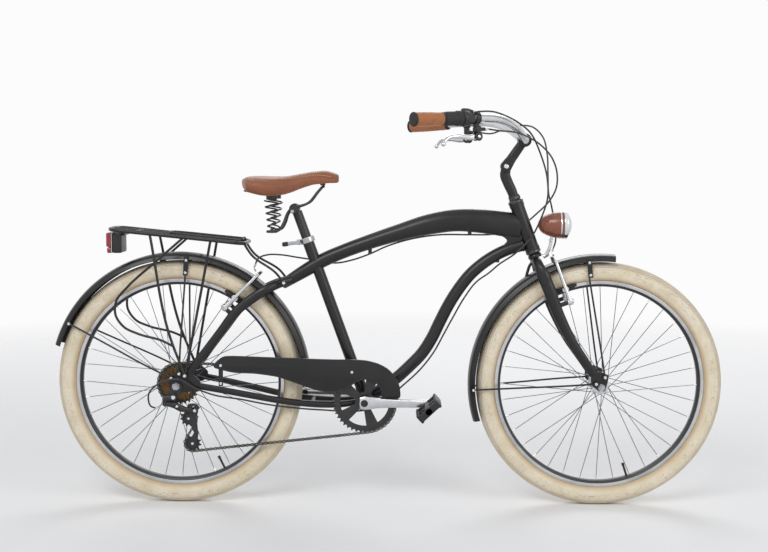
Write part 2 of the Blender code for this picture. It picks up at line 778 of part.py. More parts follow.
LINK_PIVOT = Vector((-30.0, -78.0, 287.0))
KNUCKLE_PIVOT = Vector((34.0, -56.0, 268.0))
CAGE_PIVOT = Vector((44.0, LARGE_COG_Y, 262.0))
CAGE_IN = 4.2
CAGE_PLATE_T = 1.6


def make_derailleur_bracket():
    """Hanger plate held by the axle nut, with the fixed knuckle below and behind it."""
    inner = -(REAR_SPACING / 2 + DROPOUT_T + GAP)
    outline = [(-12, 341), (0, 345), (12, 341), (16, 333), (14, 318), (8, 303), (-6, 296),
               (-20, 300), (-18, 318)]
    hanger = plate(outline, inner - HANGER_T, inner, [circle(0, AXLE_Z, faceted_bore(AXLE_R, 8), 8)])
    barrel = cross_rod(-6, 305, inner - 14, inner - 1, 9, 8)
    knuckle = loft([(-2, inner - 9, 305, 8, 5), (-16, inner - 9, 303, 7, 5),
                    (LINK_PIVOT.x, LINK_PIVOT.y - 4, 303, 7, 7)], 8)
    post = rod((LINK_PIVOT.x, LINK_PIVOT.y, 302), (LINK_PIVOT.x, LINK_PIVOT.y, 293 + GAP), 7, 8)
    pin = rod((LINK_PIVOT.x, LINK_PIVOT.y, 296), (LINK_PIVOT.x, LINK_PIVOT.y, 278), 2.5, 8)
    return fuse(hanger, barrel, knuckle, post, pin)


def make_derailleur_link():
    """The parallelogram body between the two knuckles."""
    a, b = LINK_PIVOT, KNUCKLE_PIVOT
    body = loft([(a.x + 3, a.y + 1, a.z - 1, 6, 5), (a.x + 24, a.y + 8, a.z - 6, 9, 6),
                 (b.x - 20, b.y - 8, b.z + 1, 8, 6), (b.x - 3, b.y - 1, b.z - 1, 5.5, 5)], 8)
    eye_a = rod((a.x, a.y, 281), (a.x, a.y, 293), 6.5, 8)
    eye_b = rod((b.x, b.y, 262), (b.x, b.y, 274), 6.5, 8)
    link = fuse(body, eye_a, eye_b)
    return cut(link, rod((a.x, a.y, 276), (a.x, a.y, 300), 2.5 + GAP, 8),
               rod((b.x, b.y, 255), (b.x, b.y, 280), 2.5 + GAP, 8))


def make_derailleur_knuckle():
    """The moving knuckle that carries the cage on a sprung pivot."""
    b = KNUCKLE_PIVOT
    cap = rod((b.x, b.y, 274 + GAP), (b.x, b.y, 280), 7, 8)
    pin = rod((b.x, b.y, 275), (b.x, b.y, 259), 2.5, 8)
    arm = loft([(b.x, b.y, 279, 3, 6), (b.x + 12, b.y + 4, 278, 4, 6),
                (CAGE_PIVOT.x + 9, b.y + 10, 266, 7, 4)], 8)
    barrel = cross_rod(CAGE_PIVOT.x, CAGE_PIVOT.z, -41, -48.5, 9, 8)
    stud = cross_rod(CAGE_PIVOT.x, CAGE_PIVOT.z, -47, LARGE_COG_Y - CAGE_IN, 3, 8)
    return fuse(arm, cap, pin, barrel, stud)


def make_derailleur_cage():
    """Two side plates that hold the pulleys, with their axles and the bridge between them."""
    gx, gz = GUIDE_PULLEY
    lx, lz = LOWER_PULLEY
    px, pz = CAGE_PIVOT.x, CAGE_PIVOT.z
    outline = [(gx - 8, gz + 8), (gx, gz + 11), (px - 4, pz + 9), (px + 6, pz + 7), (px + 9, pz - 4),
               (px + 4, pz - 20), (lx + 16, lz + 30), (lx + 12, lz + 8), (lx + 10, lz - 7), (lx, lz - 11),
               (lx - 9, lz - 6), (lx - 8, lz + 8), (lx + 4, lz + 30), (gx + 4, gz - 14), (gx - 10, gz - 6)]
    near = LARGE_COG_Y - CAGE_IN
    far = LARGE_COG_Y + CAGE_IN
    outer = plate(outline, near - CAGE_PLATE_T, near, [circle(px, pz, 3 + GAP, 8)])
    inner_outline = [(gx - 8, gz + 8), (gx, gz + 11), (gx + 10, gz + 5), (gx + 12, gz - 14),
                     (lx + 16, lz + 30), (lx + 12, lz + 8), (lx + 10, lz - 7), (lx, lz - 11),
                     (lx - 9, lz - 6), (lx - 8, lz + 8), (lx + 4, lz + 30), (gx + 4, gz - 14),
                     (gx - 10, gz - 6)]
    inner = plate(inner_outline, far, far + CAGE_PLATE_T)
    guide_axle = cross_rod(gx, gz, near - 2, far + 2, PULLEY_AXLE_R, 8)
    lower_axle = cross_rod(lx, lz, near - 2, far + 2, PULLEY_AXLE_R, 8)
    return fuse(outer, inner, guide_axle, lower_axle)


# Cranks and pedals

def make_crank(side):
    """A forged crank arm with its boss, pedal eye and pedal axle; the left one has the spindle."""
    forward = -side
    tip_x = BB_X + forward * CRANK_LEN
    y = side * (CRANK_Y + CRANK_T / 2)
    tip_y = y + side * 6
    half = CRANK_T / 2
    arm = loft([(BB_X - forward * 12, y, BB_Z, 17, half), (BB_X + forward * 8, y, BB_Z, 18, half),
                (BB_X + forward * 40, y, BB_Z, 13, half),
                (BB_X + forward * 120, y + side * 4, BB_Z, 11, 5.5),
                (tip_x, tip_y, BB_Z, 12.5, 6.5), (tip_x + forward * 11, tip_y, BB_Z, 9, 5.5)], 8)
    axle = cross_rod(tip_x, BB_Z, tip_y, tip_y + side * 92, PEDAL_AXLE_R, 8)
    collar = cross_rod(tip_x, BB_Z, tip_y, tip_y + side * 9, 9, 8)
    if side < 0:
        boss = cross_rod(BB_X, BB_Z, y, -45, CRANK_BOSS_R, 8)
        crank = fuse(arm, boss, axle, collar)
        return cut(crank, cross_rod(BB_X, BB_Z, -30, -64, SPINDLE_R + GAP, 8))
    boss = cross_rod(BB_X, BB_Z, y, 45, CRANK_BOSS_R, 8)
    spindle = cross_rod(BB_X, BB_Z, y, -63, SPINDLE_R, 8)
    return fuse(arm, boss, axle, collar, spindle)


def make_pedal(side):
    """A platform pedal with four openings, tilted as it hangs."""
    tip_x = BB_X - side * CRANK_LEN
    y0 = side * (CRANK_Y + CRANK_T / 2 + 6 + 9 + GAP + 1)
    y1 = y0 + side * 94
    middle = (y0 + y1) / 2
    body = block((tip_x - 34, min(y0, y1), BB_Z - 12), (tip_x + 34, max(y0, y1), BB_Z + 12), 5)
    cutters = []
    for dx in (-1, 1):
        for dy in (-1, 1):
            low_y, high_y = sorted((middle + dy * 7, middle + dy * 38))
            low_x, high_x = sorted((tip_x + dx * 11, tip_x + dx * 26))
            cutters.append(block((low_x, low_y, BB_Z - 20), (high_x, high_y, BB_Z + 20)))
    bore = faceted_bore(PEDAL_AXLE_R, 8)
    cutters.append(cross_rod(tip_x, BB_Z, y0 - side * 5, y1 - side * 12, bore, 8))
    pedal = cut(body, *cutters)
    pivot = world((tip_x, 0, BB_Z))
    turn = Matrix.Rotation(-PEDAL_TILT, 4, "Y")
    pedal.data.transform(Matrix.Translation(pivot) @ turn @ Matrix.Translation(-pivot))
    return pedal


# Fork, brakes and front parts

def make_fork():
    """Steerer, curved blades with plate ends, brake studs and the headset's top nut."""
    top = HEAD_LEN + 11 + GAP
    pieces = [
        rod(head_point(-16), head_point(top + 12), STEERER_R, 8),
        rod(head_point(top), head_point(top + 10), HEAD_R - 1, 6),
        rod(head_point(-22), head_point(-11 - GAP), HEAD_R - 1, 8),
    ]
    inner = FRONT_SPACING / 2
    for side in (-1, 1):
        pieces.append(loft(FORK_BLADE if side < 0 else mirrored(FORK_BLADE), 8))
        end = [(1118, 372), (1134, 376), (1158, 366), (1156, 350), (1150, 326), (1139, 319),
               (1128, 326), (1112, 338), (1110, 356)]
        slot = axle_slot(FRONT_X, AXLE_Z, -math.pi / 2)
        pad = plate(end, side * inner, side * (inner + DROPOUT_T))
        pieces.append(cut(pad, plate(slot, side * (inner - 5), side * (inner + DROPOUT_T + 5))))
        pieces.append(brake_boss(FRONT_BRAKE, FRONT_BRAKE_AXIS, 44, side))
    fork = fuse(*pieces)
    return cut(fork, rod(head_point(-3), head_point(top + 20), QUILL_R + GAP, 8))


def make_brake_arm(pivot, axis, along, length, side, wheel_x):
    """A linear-pull brake arm with its eye round the stud and its pad facing the rim."""
    base = Vector((pivot.x, side * abs(pivot.y), pivot.z))
    eye = rod(base - axis * 7, base + axis * 6.5, 9, 8)
    lean = Vector((0, -side, 0))
    arm = pipe([base + along * 4, base + along * 38 + lean * 3, base + along * (length - 30) + lean * 6,
                base + along * length + lean * 8], 6.5, 1, [7.5, 7, 6, 4.5])
    bridge = base + along * 38
    radial = Vector((bridge.x - wheel_x, 0, bridge.z - AXLE_Z)).normalized()
    tangent = Vector((-radial.z, 0, radial.x))
    rim_mid = (RIM_INNER_R + 8 + RIM_OUTER_R) / 2
    spot = Vector((wheel_x, 0, AXLE_Z)) + radial * rim_mid
    face = side * (RIM_W / 2 + 1.6)
    post = rod(Vector((spot.x, side * 24, spot.z)), Vector((spot.x, side * 48, spot.z)), 4, 8)
    pad = loft([(spot.x - tangent.x * 33, face + side * 5.5, spot.z - tangent.z * 33, 3.5, 5),
                (spot.x - tangent.x * 28, face + side * 5.5, spot.z - tangent.z * 28, 4.5, 5.4),
                (spot.x + tangent.x * 28, face + side * 5.5, spot.z + tangent.z * 28, 4.5, 5.4),
                (spot.x + tangent.x * 33, face + side * 5.5, spot.z + tangent.z * 33, 3.5, 5)], 6)
    made = fuse(eye, arm, post, pad)
    return cut(made, rod(base - axis * 20, base + axis * 20, faceted_bore(BRAKE_BOSS_R, 8), 8))


def fender_shell(x, start_deg, end_deg, steps):
    """The rounded guard: a profile carried round the wheel and thickened outwards."""
    section = [(FENDER_R - FENDER_DEPTH, -FENDER_HALF_W), (FENDER_R - 6, -25), (FENDER_R, -10),
               (FENDER_R, 8), (FENDER_R - 6, 25), (FENDER_R - FENDER_DEPTH, FENDER_HALF_W)]
    mesh = bpy.data.meshes.new("fender")
    mesh.from_pydata([(r * MM, 0.0, h * MM) for r, h in section],
                     [(i, i + 1) for i in range(len(section) - 1)], [])
    obj = add("fender", mesh)
    obj.location = world((x, 0, AXLE_Z))
    start = math.radians(start_deg)
    across = Matrix.Rotation(-start, 4, "Y") @ Matrix.Rotation(-math.pi / 2, 4, "X")
    obj.rotation_euler = across.to_euler()
    spin = obj.modifiers.new("spin", "SCREW")
    spin.axis = "Z"
    spin.angle = -math.radians(end_deg - start_deg)
    spin.steps = spin.render_steps = steps
    spin.merge_threshold = 0.00001
    wall = obj.modifiers.new("wall", "SOLIDIFY")
    wall.thickness = FENDER_T * MM
    wall.offset = 0.0
    return solid(obj)


def stay(start, end, eye_y, side):
    """A fender stay with a flat eye at its lower end."""
    a = (start[0], side * start[1], start[2])
    b = (end[0], side * eye_y, end[2])
    bend = (end[0] * 0.8 + start[0] * 0.2, side * eye_y, end[2] * 0.8 + start[2] * 0.2)
    wire = pipe([a, bend, b], STAY_R, 0)
    eye = cross_rod(end[0], end[2], side * (eye_y - 3), side * (eye_y + 3), 7, 8)
    return [wire, eye]


def band(x, angle_deg, half_width=7):
    """A strap round the inside of the guard that the stays hang from."""
    angle = math.radians(angle_deg)
    radial = Vector((math.cos(angle), 0, math.sin(angle)))
    pieces = []
    for side in (-1, 1):
        top = Vector((x, side * (FENDER_HALF_W + 0.9), AXLE_Z)) + radial * (FENDER_R - 6)
        low = Vector((x, side * (FENDER_HALF_W + 2.5), AXLE_Z)) + radial * (FENDER_R - 60)
        pieces.append(loft([(*top, half_width, 2.2), (*low, half_width, 2.2)], 6))
    return pieces


def make_front_fender():
    """Front guard with two pairs of stays to the fork ends and a tab behind the crown."""
    shell = fender_shell(FRONT_X, 84, 197, 13)
    pieces = [shell, *band(FRONT_X, 96)]
    eye_y = FRONT_SPACING / 2 + DROPOUT_T + GAP + 3
    for side in (-1, 1):
        pieces += stay((1103, FENDER_HALF_W + 2, 632), (1147, 0, 361), eye_y, side)
        pieces += stay((795, FENDER_HALF_W - 0.6, 319), (1124, 0, 343), eye_y, side)
    pieces.append(rod((938, 0, 622), (946, 0, 652), 4, 8))
    return fuse(*pieces)


def make_rear_fender():
    """Rear guard with two pairs of stays to the dropouts and a spacer to the bridge."""
    shell = fender_shell(0, 10, 163, 8)
    pieces = [shell, *band(0, 86)]
    eye_y = REAR_SPACING / 2 + DROPOUT_T + GAP + 3
    for side in (-1, 1):
        pieces += stay((21, FENDER_HALF_W + 2, 635), (9, 0, 367), eye_y, side)
        pieces += stay((-299, FENDER_HALF_W - 0.6, 496), (-12, 0, 355), eye_y, side)
    to_bridge = Vector((BRIDGE_X, 0, BRIDGE_Z - AXLE_Z))
    reach = to_bridge.length - BRIDGE_R - GAP
    unit = to_bridge.normalized()
    base = Vector((0, 0, AXLE_Z))
    pieces.append(rod(base + unit * (FENDER_R - 3), base + unit * reach, 6, 8))
    return fuse(*pieces)


def make_headlight():
    """Bullet housing on a bracket that bolts to the front of the crown."""
    axis = Vector((1.0, 0.0, 0.0))
    shell = turned([(0, 0), (10, 2), (20, 8), (29, 26), (35, 48), (37, 62), (38, 78), (36, 78),
                    (34, 64), (0, 64)], (968, 0, 766), axis, 8)
    stem = pipe([(1006, 0, 740), (1003, 0, 716), (996, 0, 694), (989, 0, 684)], 4.5, 1)
    foot = rod((983, 0, 680), (995, 0, 687), 6.5, 8)
    return fuse(shell, stem, foot)


def make_headlight_lens():
    """Lens and bezel that fill the mouth of the headlight."""
    axis = Vector((1.0, 0.0, 0.0))
    return turned([(0, 0), (33.2, 0), (34.4, 10), (34, 16), (28, 24), (0, 28)],
                  (968 + 64 + GAP, 0, 766), axis, 8)


# Stem, bars and levers

def make_stem_quill():
    """Quill inside the steerer, rising to the middle of the adjusting joint."""
    low = head_point(20)
    top = head_point(HEAD_LEN + 36)
    post = rod(low, top, QUILL_R, 8)
    neck = loft([(*head_point(HEAD_LEN + 28), 13, 13), (885, 0, 880, 14, 11), (878, 0, 900, 14, 7),
                 (880, 0, 915, 13, 7)], 8)
    knuckle = cross_rod(STEM_PIVOT.x, STEM_PIVOT.z, -8, 8, 15, 8)
    made = fuse(post, neck, knuckle)
    return cut(made, cross_rod(STEM_PIVOT.x, STEM_PIVOT.z, -12, 12, faceted_bore(STEM_BOLT_R, 8), 8))


def make_stem_arm():
    """Forked arm from the joint to the clamp that grips the bar."""
    along = (BAR_CLAMP - STEM_PIVOT).normalized()
    pieces = [
        cross_rod(BAR_CLAMP.x, BAR_CLAMP.z, -20, 20, 18, 8),
        loft([(*(STEM_PIVOT + along * 22), 13, 13), (*(STEM_PIVOT + along * 45), 13, 13),
              (*(STEM_PIVOT + along * 75), 12, 15)], 8),
        cross_rod(STEM_PIVOT.x, STEM_PIVOT.z, -16, 16, STEM_BOLT_R, 8),
    ]
    for side in (-1, 1):
        ear = STEM_PIVOT + along * 14
        stations = ((STEM_PIVOT - along * 14, 8), (STEM_PIVOT, 15), (ear, 14), (ear + along * 14, 11))
        pieces.append(loft([(p.x, side * (11 + GAP), p.z, h, 3) for p, h in stations], 6))
    arm = fuse(*pieces)
    return cut(arm, cross_rod(BAR_CLAMP.x, BAR_CLAMP.z, -30, 30, faceted_bore(BAR_R, 8), 8))


def bar_half(side):
    """The right half of the bar's route, or its mirror image."""
    inner = [(928, -24, 992), (922, -44, 998), (904, -82, 1017), (876, -122, 1034), (840, -163, 1043)]
    points = [*inner, tuple(BAR_ELBOW), tuple(BAR_END + BAR_DIR * 3)]
    return points if side < 0 else [(p[0], -p[1], p[2]) for p in points]


def make_handlebar():
    """Swept-back bar, clamped level at its middle."""
    return pipe([*reversed(bar_half(-1)), *bar_half(1)], BAR_R, 3)


def on_bar(distance, side):
    """A point along the straight end of the bar, from its tip."""
    point = BAR_END + BAR_DIR * distance
    return Vector((point.x, side * abs(point.y), point.z))


def bar_axis(side):
    """The direction from the bar's tip inwards."""
    return Vector((BAR_DIR.x, BAR_DIR.y if side < 0 else -BAR_DIR.y, BAR_DIR.z))


def make_grip(side, length):
    """A waisted grip with a closed, flanged end cap."""
    bore = faceted_bore(BAR_R, 8)
    profile = [(0, 0), (18, 0), (18, 5), (15.5, 8), (16.8, length * 0.35), (16.2, length * 0.6),
               (15.4, length), (bore, length), (bore, 3 - GAP), (0, 3 - GAP)]
    return turned(profile, on_bar(0, side), bar_axis(side), 8)


def make_shifter_grip():
    """The turning sleeve of the twist shifter, fluted."""
    start = GRIP_LEN + GAP
    bore = faceted_bore(BAR_R, 12)
    profile = [(bore, 0), (16, 0), (17, 6), (17, 34), (19, 40), (19, TWIST_LEN - 1), (bore, TWIST_LEN - 1)]
    return turned(profile, on_bar(start, -1), bar_axis(-1), 12, ring=True)


def make_shifter_body():
    """The fixed housing of the twist shifter with its indicator hump and cable outlet."""
    start = GRIP_LEN + TWIST_LEN + GAP
    axis = bar_axis(-1)
    bore = faceted_bore(BAR_R, 12)
    base = on_bar(start, -1)
    drum = turned([(bore, 0), (20, 0), (21, 8), (21, 8), (15, 36), (bore, 36)], base, axis, 12, ring=True)
    side = axis.cross(UP).normalized()
    rise = side.cross(axis)
    hump = pipe([base + rise * 19 + axis * 5, base + rise * 18.5 + axis * 20,
                 base + side * 8 + rise * 15 + axis * 33], 6, 1, [7, 6.2, 4])
    return fuse(drum, hump)


LEVER_AT = GRIP_LEN + TWIST_LEN + SHIFTER_LEN + 9
LEVER_DROP = 46.0


def lever_pivot(side):
    """The point that a brake lever turns about, below the bar."""
    return on_bar(LEVER_AT, side) + Vector((0, 0, -LEVER_DROP)) + bar_axis(side) * 4


def make_brake_bracket(side):
    """Clamp round the bar, a neck, two ears with the lever's pin, and the cable's barrel."""
    axis = bar_axis(side)
    centre = on_bar(LEVER_AT, side)
    across = axis.cross(UP).normalized()
    pivot = lever_pivot(side)
    neck = pivot + UP * 18
    pieces = [
        rod(centre - axis * 7, centre + axis * 7, 16, 8),
        rod(centre - UP * 12, neck, 8, 8),
        rod(neck - across * 9, neck + across * 9, 9, 8),
        rod(neck + axis * 4, neck + axis * 34, 5.5, 8, 4),
        rod(pivot - across * 8, pivot + across * 8, 3, 8),
    ]
    for sign in (-1, 1):
        pieces.append(rod(pivot + across * sign * (5 + GAP), pivot + across * sign * 9.5, 11, 8))
    return cut(fuse(*pieces), rod(centre - axis * 20, centre + axis * 20, faceted_bore(BAR_R, 8), 8))


def make_brake_lever(side):
    """A forged two-finger lever with a ball tip."""
    axis = bar_axis(side)
    across = axis.cross(UP).normalized()
    pivot = lever_pivot(side)
    tip = [pivot, pivot - axis * 24 + UP * -2, pivot - axis * 60 + UP * 2, pivot - axis * 92 + UP * -3,
           pivot - axis * 104 + UP * -16]
    blade = pipe(tip, 5, 2, [4.2, 5.5, 5, 4.2, 3.6])
    eye = rod(pivot - across * (5 - GAP), pivot + across * (5 - GAP), 8, 8)
    work = bmesh.new()
    bmesh.ops.create_uvsphere(work, u_segments=6, v_segments=4, radius=6 * MM,
                              matrix=Matrix.Translation(world(tip[-1])))
    mesh = bpy.data.meshes.new("ball")
    work.to_mesh(mesh)
    work.free()
    ball = solid(add("ball", mesh))
    made = fuse(eye, blade, ball)
    return cut(made, rod(pivot - across * 20, pivot + across * 20, 3 + GAP, 8))


# Saddle and post

def make_seatpost():
    """Straight post with its serrated clamp head between the saddle rails."""
    c = SADDLE_CLAMP
    grip = RAIL_Y - RAIL_R - GAP
    top = (c.z - 8 - BB_Z) / SEAT_DIR.z
    post = rod(seat_point(290), seat_point(top), SEATPOST_R, 8)
    drum = cross_rod(c.x, c.z, -grip, grip, 14, 8)
    bolt = cross_rod(c.x - 4, c.z - 6, -RAIL_Y - 8, RAIL_Y + 8, 2.5, 8)
    caps = [cross_rod(c.x, c.z, side * (RAIL_Y + RAIL_R + GAP), side * (RAIL_Y + 11), 13, 8)
            for side in (-1, 1)]
    return fuse(post, drum, bolt, *caps)


def make_seat_clamp():
    """Split collar at the top of the seat tube, with two lugs behind it."""
    top = SEAT_TUBE_LEN + 1 + GAP
    ring = rod(seat_point(top - 15), seat_point(top), SEAT_TUBE_R + 4.5, 8)
    back = seat_point(top - 8) + Vector((-22, 0, -6))
    lugs = [block((back.x - 7, low_y, back.z - 6), (back.x + 8, high_y, back.z + 8))
            for low_y, high_y in ((-7, -2), (2, 7))]
    bolt = cross_rod(back.x, back.z, -14, 12, 3, 8)
    made = fuse(ring, *lugs, bolt)
    return cut(made, rod(seat_point(top - 30), seat_point(top - 1), faceted_bore(SEAT_TUBE_R, 14), 14),
               rod(seat_point(top - 30), seat_point(top + 20), SEATPOST_R + GAP, 8))


LEVER_CAM = seat_point(SEAT_TUBE_LEN - 7) + Vector((-22, -18, -6))


def make_seat_lever():
    """Quick-release lever lying back along the collar."""
    c = LEVER_CAM
    cam = rod(c + UP * -6, c + UP * 6, 3.5, 8)
    blade = loft([(c.x + 1, c.y, c.z, 5, 2), (c.x - 20, c.y - 3, c.z - 1, 5, 2),
                  (c.x - 44, c.y - 4, c.z - 5, 6, 2.4)], 8)
    return fuse(cam, blade)


SADDLE_STATIONS = [
    (176, 886, 44, 16, 8), (190, 892, 92, 34, 34), (215, 894, 103, 46, 40), (250, 894, 96, 52, 40),
    (290, 895, 66, 50, 36), (330, 901, 40, 42, 28), (370, 907, 29, 36, 22), (405, 908, 23, 33, 8),
    (428, 900, 15, 24, 8),
]


def make_saddle_cover():
    """A crowned cushion whose sides draw in under the edge, with its spring cups and nose pocket."""
    work = bmesh.new()
    rings = []
    for x, top, half_w, depth, under in SADDLE_STATIONS:
        section = [(0, 0), (half_w * 0.45, -1.5), (half_w * 0.82, -depth * 0.16),
                   (half_w, -depth * 0.46), (half_w * 0.97, -depth * 0.85), (half_w * 0.9, -depth),
                   (half_w * 0.62, -under), (0, -under)]
        right = [(x, -w, top + d) for w, d in section]
        left = [(x, w, top + d) for w, d in reversed(section[1:-1])]
        rings.append([work.verts.new(world(p)) for p in right + left])
    for first, second in zip(rings, rings[1:]):
        for k in range(len(first)):
            follow = (k + 1) % len(first)
            work.faces.new((first[k], first[follow], second[follow], second[k]))
    for ring in (rings[0], rings[-1]):
        work.faces.new(ring)
    mesh = bpy.data.meshes.new("saddle")
    work.to_mesh(mesh)
    work.free()
    obj = add("saddle", mesh)
    soft = obj.modifiers.new("soft", "SUBSURF")
    soft.levels = soft.render_levels = 1
    cup_z = SPRING_HIGH + SPRING_WIRE_R + GAP
    cups = [rod((SPRING_X, y, cup_z), (SPRING_X, y, 864), 15, 8) for y in (-SPRING_Y, SPRING_Y)]
    pocket = block((382, -13, RAIL_NOSE_Z + RAIL_R + GAP), (395, 13, 896))
    return fuse(solid(obj), *cups, pocket)


def make_saddle_rails():
    """One bent wire from spring seat to nose and back, with a cross wire under the springs."""
    half = [(SPRING_X, -SPRING_Y, SPRING_LOW - 6), (273, -43, 750), (285, -33, 768), (294, -24, 792),
            (301, -RAIL_Y, 803), (313, -RAIL_Y, 811), (330, -RAIL_Y, 814), (350, -RAIL_Y, 822),
            (376, -16, 852), (388, -8, RAIL_NOSE_Z)]
    other = [(x, -y, z) for x, y, z in reversed(half)]
    wire = pipe(half + other, RAIL_R, 1)
    seat_z = SPRING_LOW - GAP - SPRING_WIRE_R
    seats = [rod((SPRING_X, y, SPRING_LOW - 9), (SPRING_X, y, seat_z), 15, 8) for y in (-SPRING_Y, SPRING_Y)]
    cross = rod((SPRING_X, -SPRING_Y, SPRING_LOW - 6), (SPRING_X, SPRING_Y, SPRING_LOW - 6), 3, 8)
    return fuse(wire, *seats, cross)


def spring_points():
    """A helix that widens upwards, about the spring's own axis."""
    count = int(SPRING_TURNS * 8)
    points = []
    for k in range(count + 1):
        share = k / count
        angle = share * SPRING_TURNS * 2 * math.pi
        radius = 10 + 9 * share
        points.append(Vector((radius * math.cos(angle), radius * math.sin(angle),
                              SPRING_LOW + (SPRING_HIGH - SPRING_LOW) * share)))
    return points


def make_saddle_spring(side):
    """One unbroken conical coil under the back of the saddle."""
    return pipe([(SPRING_X + p.x, side * SPRING_Y + p.y, p.z) for p in spring_points()], SPRING_WIRE_R, 1)


def spring_self_gap():
    """The least gap between turns, measured on the helix's points."""
    points = spring_points()
    least = min((a - b).length for i, a in enumerate(points) for b in points[i + 6:])
    return least - 2 * SPRING_WIRE_R


# Rack, lights and guard

RACK_HALF_W = 62.0
RACK_R = 5.0
SLAT_R = 3.5
CLIP_R = 3.0
CLIP_HINGE_X = 172.0
CLIP_LIFT = SLAT_R + CLIP_R + GAP


def rack_height(x):
    """The height of the rack's platform, which falls towards the saddle."""
    return 751.0 - (x + 180.0) * 0.098


def make_rear_rack():
    """Tube platform with slats, two pairs of legs, side loops and struts to the frame."""
    w = RACK_HALF_W
    outer = [(184, 0), (184, -w + 14), (172, -w), (-150, -w), (-172, -w + 14), (-180, -w + 34), (-180, 0)]
    loop = [(x, y, rack_height(x)) for x, y in outer]
    loop += [(x, -y, z) for x, y, z in reversed(loop[1:-1])]
    pieces = [pipe(loop, RACK_R, 1, closed=True)]
    for y in (-22, 22):
        pieces.append(rod((183, y, rack_height(183)), (-179, y, rack_height(-179)), SLAT_R, 5))
    for x in (-110, 60):
        pieces.append(rod((x, -w + 1, rack_height(x) - 0.4), (x, w - 1, rack_height(x) - 0.4), 3.3, 5))
    foot_y = REAR_SPACING / 2 + DROPOUT_T + 6 + 2 * GAP + 8
    for side in (-1, 1):
        for route in ([(-68, w), (-11, 82), (26, foot_y)], [(94, w), (52, 74), (26, foot_y)]):
            (x0, y0), (x1, y1), (x2, y2) = route
            z1 = 460 if x0 < 0 else 500
            leg = [(x0, side * y0, rack_height(x0)), (x1, side * y1, z1), (x2, side * y2, 365)]
            pieces.append(pipe(leg, 4, 0))
        inner_y = REAR_SPACING / 2 + DROPOUT_T + GAP
        pieces.append(cross_rod(26, 364, side * inner_y, side * (foot_y + 5), 7, 8))
        sweep = [(22, 60, rack_height(22)), (-56, 66, 663), (-128, 70, 598), (-158, 71, 560), (-160, 72, 525),
                 (-138, 72, 492), (-100, 74, 474), (-34, 79, 456), (-6, 83, 443)]
        pieces.append(pipe([(x, side * y, z) for x, y, z in sweep], 3.5, 0))
        eye_y = RACK_BOSS_Y + GAP + 4.5
        pieces.append(pipe([(176, side * 24, rack_height(176)), (196, side * 28, 686), (270, side * 49, 632),
                            (RACK_BOSS[0], side * eye_y, RACK_BOSS[1])], 3.5, 0))
        pieces.append(cross_rod(*RACK_BOSS, side * (RACK_BOSS_Y + GAP), side * (eye_y + 3.5), 7, 8))
    tail = block((-150, -26, 733), (-142, 26, 749))
    pieces.append(tail)
    return fuse(*pieces)


def make_rack_clip():
    """Sprung wire clip lying on the platform, hinged at its front."""
    half = [(176, 40), (150, 38), (20, 34), (-20, 22), (-24, 0)]
    route = [(x, -y, rack_height(x) + CLIP_LIFT) for x, y in half]
    route += [(x, -y, z) for x, y, z in reversed(route[:-1])]
    wire = pipe(route, CLIP_R, 1)
    hinge_z = rack_height(CLIP_HINGE_X) + CLIP_LIFT
    bar = rod((CLIP_HINGE_X, -40, hinge_z), (CLIP_HINGE_X, 40, hinge_z), CLIP_R, 8)
    return fuse(wire, bar)


def make_tail_light():
    """Housing and red lens under the back of the rack."""
    housing = block((-176, -34, 686), (-150 - GAP, 34, 741), 4)
    lens = block((-192, -34, 686), (-176 - GAP, 34, 741), 5)
    return housing, lens


GUARD_Y = -64.0
GUARD_RIM = 3.0
GUARD_OUTLINE = [
    (100, 383), (102, 392), (124, 411), (150, 412), (274, 408), (411, 404), (504, 403), (540, 394),
    (566, 380), (584, 360), (596, 336), (600, 300), (552, 300), (549, 326), (536, 344), (517, 353),
    (500, 354), (480, 346), (452, 326), (430, 319), (411, 319), (376, 323), (335, 338), (270, 360),
    (212, 368), (150, 370),
]


def make_chainguard():
    """Pressed guard outside the chain: a dished panel with a turned-in rim, and its bracket."""
    panel = plate(GUARD_OUTLINE, GUARD_Y, GUARD_Y + 9)
    hollow = []
    count = len(GUARD_OUTLINE)
    for index, (x, z) in enumerate(GUARD_OUTLINE):
        ax, az = GUARD_OUTLINE[index - 1]
        bx, bz = GUARD_OUTLINE[(index + 1) % count]
        tangent = Vector((bx - ax, bz - az)).normalized()
        hollow.append((x + GUARD_RIM * tangent.y, z - GUARD_RIM * tangent.x))
    panel = cut(panel, plate(hollow, GUARD_Y + 2, GUARD_Y + 20))
    strut = block((112, GUARD_Y + 1, 332), (124, GUARD_Y + 4, 388))
    bolt = cross_rod(118, 388, GUARD_Y - 3, GUARD_Y + 3, 5, 8)
    return fuse(panel, strut, bolt)


# Cables, whole along their routes

